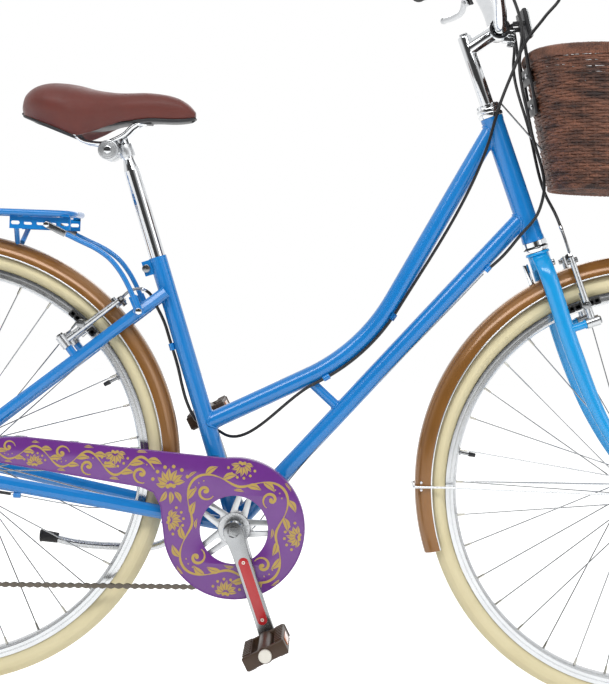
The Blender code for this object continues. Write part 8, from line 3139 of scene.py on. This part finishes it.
@dataclass(frozen=True)
class Cables:
    """The brake and gear cables along their real routes, with ferrules at their ends."""

    housing: float = 0.0025
    wire: float = 0.001
    guide_places: tuple[float, ...] = (0.461, 0.707, 0.799)
    seat_guide: float = 0.299
    front_noodle: tuple[float, float, float] = (0.394, 0.042, -0.0405)
    rear_noodle: tuple[float, float, float] = (0.380, 0.033, -0.0405)
    noodle_length: float = 0.048
    stay_sides: tuple[tuple[float, float], ...] = (
        (0.036, 0.0705),
        (0.071, 0.0685),
        (0.310, 0.039),
        (0.360, 0.034),
        (0.440, 0.02652),
    )

    def under_down_tube(self, along: float, below: float, side: float) -> Vector:
        """A point under the down tube, by its distance from the crank axle."""
        axis = (Frame().down_joint - BIKE.crank).normalized()
        return BIKE.crank + axis * along + Vector((axis.z, 0, -axis.x)) * below + ACROSS * side

    def beside_stay(self, forward: float, inward: float, below: float) -> Vector:
        """A point by the right chain stay, inwards of its inner face and below its axis.

        Args:
            forward: How far forward of the rear axle.
            inward: How far inwards.
            below: How far below.

        Returns:
            The point.
        """
        start = Vector((0.036, 0, -0.008))
        middle = start.lerp(BIKE.crank, (forward - start.x) / (BIKE.crank.x - start.x))
        inner = between(forward, self.stay_sides) - 0.011 * 0.68
        return Vector((forward, -(inner - inward), middle.z - below))

    def lever_end(self, cockpit: Cockpit, side: Side) -> tuple[Vector, Vector]:
        """The end of a lever's adjusting barrel, and the way that the cable leaves it."""
        start, out, _ = cockpit.line(side)
        return start + out * 0.011 + cockpit.fore(out) * 0.024 - out * (0.026 + GAP * 2), -out

    def run(
        self,
        shape: Shape,
        places: Sequence[Vector],
        radius: float,
        spacing: float = 0.008,
        bright: float = 0.0,
    ) -> None:
        """Adds one run of housing or wire, with a ferrule at each end of a housing.

        Args:
            shape: The cable's shape.
            places: The points of its route.
            radius: The radius of the housing or wire.
            spacing: How far apart the points of its axis lie.
            bright: The length at its end that is a bent steel tube in place of housing.
        """
        path = smooth(places, spacing)
        bent = round(bright / spacing)
        if bent:
            shape.using(STAINLESS).tube(path[-bent - 1 :], radius * 0.92, 4)
            path = path[:-bent]
        shape.using(HOUSING if radius > 0.002 else STAINLESS).tube(path, radius, 4)
        if radius > 0.002:
            shape.using(CHROME)
            for end, inward in ((path[0], path[1]), (path[-1], path[-2])):
                along = (inward - end).normalized()
                shape.rod(end, end + along * 0.009, 0.0029, 18, bevel=0.0004)

    def build(self) -> None:
        """Makes the three cables."""
        cockpit = Cockpit()
        self.front_brake(cockpit)
        self.rear_brake(cockpit)
        self.gear(cockpit)

    def front_brake(self, cockpit: Cockpit) -> None:
        """The front brake's housing from the left lever to the front arms.

        Args:
            cockpit: The cockpit, whose lever the housing leaves.
        """
        start, inward = self.lever_end(cockpit, Side.LEFT)
        route = (
            (0.862, 0.088, 0.765), (0.8826, 0.062, 0.7116), (0.881, 0.045, 0.6685), (0.9056, 0.010, 0.5655)
        )
        route += ((0.9337, 0.000, 0.4640), (0.9490, -0.024, 0.429), (0.9620, -0.037, 0.393))
        tip = BIKE.steer(*self.front_noodle)
        shape = Shape(HOUSING)
        places = [start, start + inward * 0.012] + [Vector(p) for p in route] + [tip]
        self.run(shape, places, self.housing, bright=self.noodle_length)
        shape.finished(
            "front_brake_cable_dressed", "steering", "cable_housing", ["front_brake_cable"], crease=60
        )

    def rear_brake(self, cockpit: Cockpit) -> None:
        """The rear brake's housing from the right lever, under the top tube, to the rear arms.

        Args:
            cockpit: The cockpit, whose lever the housing leaves.
        """
        start, inward = self.lever_end(cockpit, Side.RIGHT)
        upper = (
            (0.885, -0.112, 0.800), (0.925, -0.090, 0.787), (0.9346, -0.080, 0.770), (0.912, -0.076, 0.735)
        )
        upper += (
            (0.884, -0.070, 0.695), (0.868, -0.050, 0.650), (0.8535, -0.028, 0.604), (0.836, -0.0225, 0.535)
        )
        round_tube = (
            (0.139, 0.0235, 0.0060),
            (0.150, 0.0110, 0.0172),
            (0.161, -0.0050, 0.0182),
            (0.174, -0.0150, 0.0118),
        )
        round_tube += (
            (0.205, -0.0210, 0.0045), (0.236, -0.0205, 0.0010), (0.262, -0.0185, 0.0), (0.310, -0.0185, 0.0)
        )
        round_tube += ((0.340, -0.0190, 0.0), (0.368, -0.0235, -0.0010))
        lower = ((0.3080, -0.0060, 0.2835), (0.2960, -0.0150, 0.2895), (0.2790, -0.0290, 0.2850))
        along_top = Frame().top_path(8)
        under = []
        for first, second in zip(along_top[1:-1], along_top[2:]):
            onward = (second - first).normalized()
            under.append(first + Vector((onward.z, 0, -onward.x)) * 0.0135 - ACROSS * 0.0125)
        tip = BIKE.stay(*self.rear_noodle)
        places = [start, start + inward * 0.012] + [Vector(p) for p in upper] + under[::-1]
        places += [BIKE.seat(*point) for point in round_tube] + [Vector(p) for p in lower] + [tip]
        shape = Shape(HOUSING)
        self.run(shape, places, self.housing, bright=self.noodle_length)
        piece = shape.finished(
            "rear_brake_cable_dressed", None, "cable_housing", ["rear_brake_cable"], crease=60
        )
        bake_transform(piece)
        self.guides(under)

    def guides(self, under: Sequence[Vector]) -> None:
        """Small brazed loops that hold the housing under the top tube and behind the seat tube.

        Args:
            under: The housing's line under the top tube.
        """
        shape = Shape(ENAMEL_BLUE)
        for forward in self.guide_places:
            index = min(range(1, len(under) - 1), key=lambda i: abs(under[i].x - forward))
            self.guide(shape, under[index], (under[index + 1] - under[index - 1]).normalized())
        self.guide(shape, BIKE.seat(self.seat_guide, -0.0185), BIKE.seat_up)
        stop = self.beside_stay(0.121, -0.006, 0.0150)
        self.guide(shape, stop, Vector((1, 0, 0)))
        shape.block((0.009, 0.004, 0.010), stop + UP * 0.0075)
        shape.finished("cable_guides", "frame", "blue_enamel")

    def guide(self, shape: Shape, held: Vector, along: Vector) -> None:
        """Adds one loop round the housing."""
        inner, outer, half = self.housing + 0.0002, 0.0046, 0.0055
        shape.turned([(inner, -half), (outer, -half), (outer, half), (inner, half)], held, along, 24)

    def gear(self, cockpit: Cockpit) -> None:
        """The gear cable: housing to the down tube, bare wire below it, housing to the derailleur.

        Args:
            cockpit: The cockpit, whose shifter the housing leaves.
        """
        start, out, length = cockpit.line(Side.RIGHT)
        down = Vector((-0.02, 0, -1.0))
        down = (down - out * out.dot(down)).normalized()
        face = length - cockpit.grip_length - GAP - cockpit.shifter_length
        upper = [
            start + out * (face - 5 * GAP) + down * 0.0155,
            start + out * 0.020 + down * 0.0210,
            start + down * 0.0205,
        ]
        route = (
            (0.8350, -0.1180, 0.7950),
            (0.8520, -0.0950, 0.7740),
            (0.8790, -0.0640, 0.7116),
            (0.8780, -0.052, 0.6685),
        )
        route += (
            (0.9036, -0.024, 0.5655),
            (0.9280, -0.021, 0.4625),
            (0.9187, -0.024, 0.430),
            (0.8930, -0.023, 0.396),
        )
        route += ((0.8680, -0.013, 0.3625),)
        upper += [Vector(p) for p in route] + [self.under_down_tube(0.565, 0.0150, -0.0095)]
        around = [self.under_down_tube(0.560, 0.0150, -0.0095), self.under_down_tube(0.100, 0.0150, -0.0095)]
        for degrees in (-41, -66, -91, -116, -141):
            around.append(on_circle(BIKE.crank, 0.021 + self.wire + 3 * GAP, math.radians(degrees), -0.013))
        around += [self.beside_stay(forward, 0.0024, 0.004) for forward in (0.415, 0.370, 0.300)]
        around += [self.beside_stay(0.290, 0.0036, 0.004), self.beside_stay(0.235, 0.0, 0.0150)]
        around += [self.beside_stay(forward, -0.006, 0.0150) for forward in (0.190, 0.110)]
        lower = [self.beside_stay(forward, -0.006, 0.0150) for forward in (0.120, 0.110)]
        tail = (
            (0.060, -0.0765, -0.0330),
            (0.030, -0.0805, -0.0460),
            (0.008, -0.0829, -0.0540),
            (-0.020, -0.0803, -0.0535),
        )
        tail += ((-0.045, -0.0783, -0.0410), (-0.038, -0.0790, -0.0310), (-0.0188, -0.0825, -0.0290))
        lower += [Vector(p) for p in tail]
        shape = Shape(HOUSING)
        self.run(shape, upper, self.housing)
        self.run(shape, around, self.wire, 0.02)
        self.run(shape, lower, self.housing)
        piece = shape.finished("gear_cable_dressed", None, "cable_housing", ["gear_cable"], crease=60)
        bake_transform(piece)


def build_wheels() -> None:
    """Both wheels, sized as in the CAD part."""
    rear_end = BIKE.rear_hub / 2 - GAP
    cluster = BIKE.chain_line - 3 * BIKE.sprocket_pitch - 0.001 - 0.0005
    Wheel(
        "rear",
        REAR_AXLE,
        TREAD_REAR,
        valve_angle=math.radians(29),
        flanges=(rear_end - 0.030, 0.0075 - cluster),
        ends=(rear_end, -cluster),
        flange_radius=0.024,
        barrel_radius=0.016,
        axle_radius=0.005,
    ).build()
    front_end = BIKE.front_hub / 2 - GAP
    Wheel(
        "front",
        BIKE.front_axle,
        TREAD_FRONT,
        valve_angle=math.radians(171),
        flanges=(front_end - 0.015, 0.015 - front_end),
        ends=(front_end, -front_end),
        flange_radius=0.020,
        barrel_radius=0.012,
        axle_radius=0.0045,
    ).build()


def build_mudguards() -> None:
    """Both mudguards and the rear reflector."""
    half_eye = 0.0035
    Mudguard(
        "rear",
        "frame",
        REAR_AXLE,
        start=math.radians(-3),
        end=math.radians(196),
        stay_angle=math.radians(158),
        stay_foot=Vector((-0.019, 0, 0.006)),
        eye_side=BIKE.rear_hub / 2 + DROPOUT + GAP + half_eye,
    ).build()
    Mudguard(
        "front",
        "steering",
        BIKE.front_axle + UP * 0.006,
        start=math.radians(52),
        end=math.radians(199),
        stay_angle=math.radians(182),
        stay_foot=BIKE.steer(0.003, BIKE.fork_rake - 0.016),
        eye_side=BIKE.front_hub / 2 + DROPOUT + GAP + half_eye,
    ).build()
    back = Vector((-Mudguard.outer - GAP, 0, 0.012))
    out = Vector((-1, 0, 0))
    shape = Shape(PLASTIC).rod(back, back + out * 0.009, 0.0218, 48, bevel=0.001)
    shape.using(RED_LENS).rod(back + out * 0.008, back + out * 0.0117, 0.0205, 48, 0.0180, bevel=0.0012)
    shape.finished("rear_reflector_dressed", "frame", "red_reflector", ["rear_reflector"])


def main() -> None:
    """Dresses the whole bicycle."""
    logging.basicConfig(level=logging.INFO)
    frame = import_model()
    Studio().build()
    build_wheels()
    Frame().build(frame)
    Fork().build()
    build_mudguards()
    Rack().build()
    Saddle().build()
    Drive().build(frame)
    ChainGuard().build()
    Brakes().build()
    Cockpit().build()
    Bracket().build()
    Basket().build()
    Cables().build()
    Kickstand().build()
    refinish(frame, ("rear_axle", "front_axle"), STEEL)


if __name__ == "__main__":
    main()
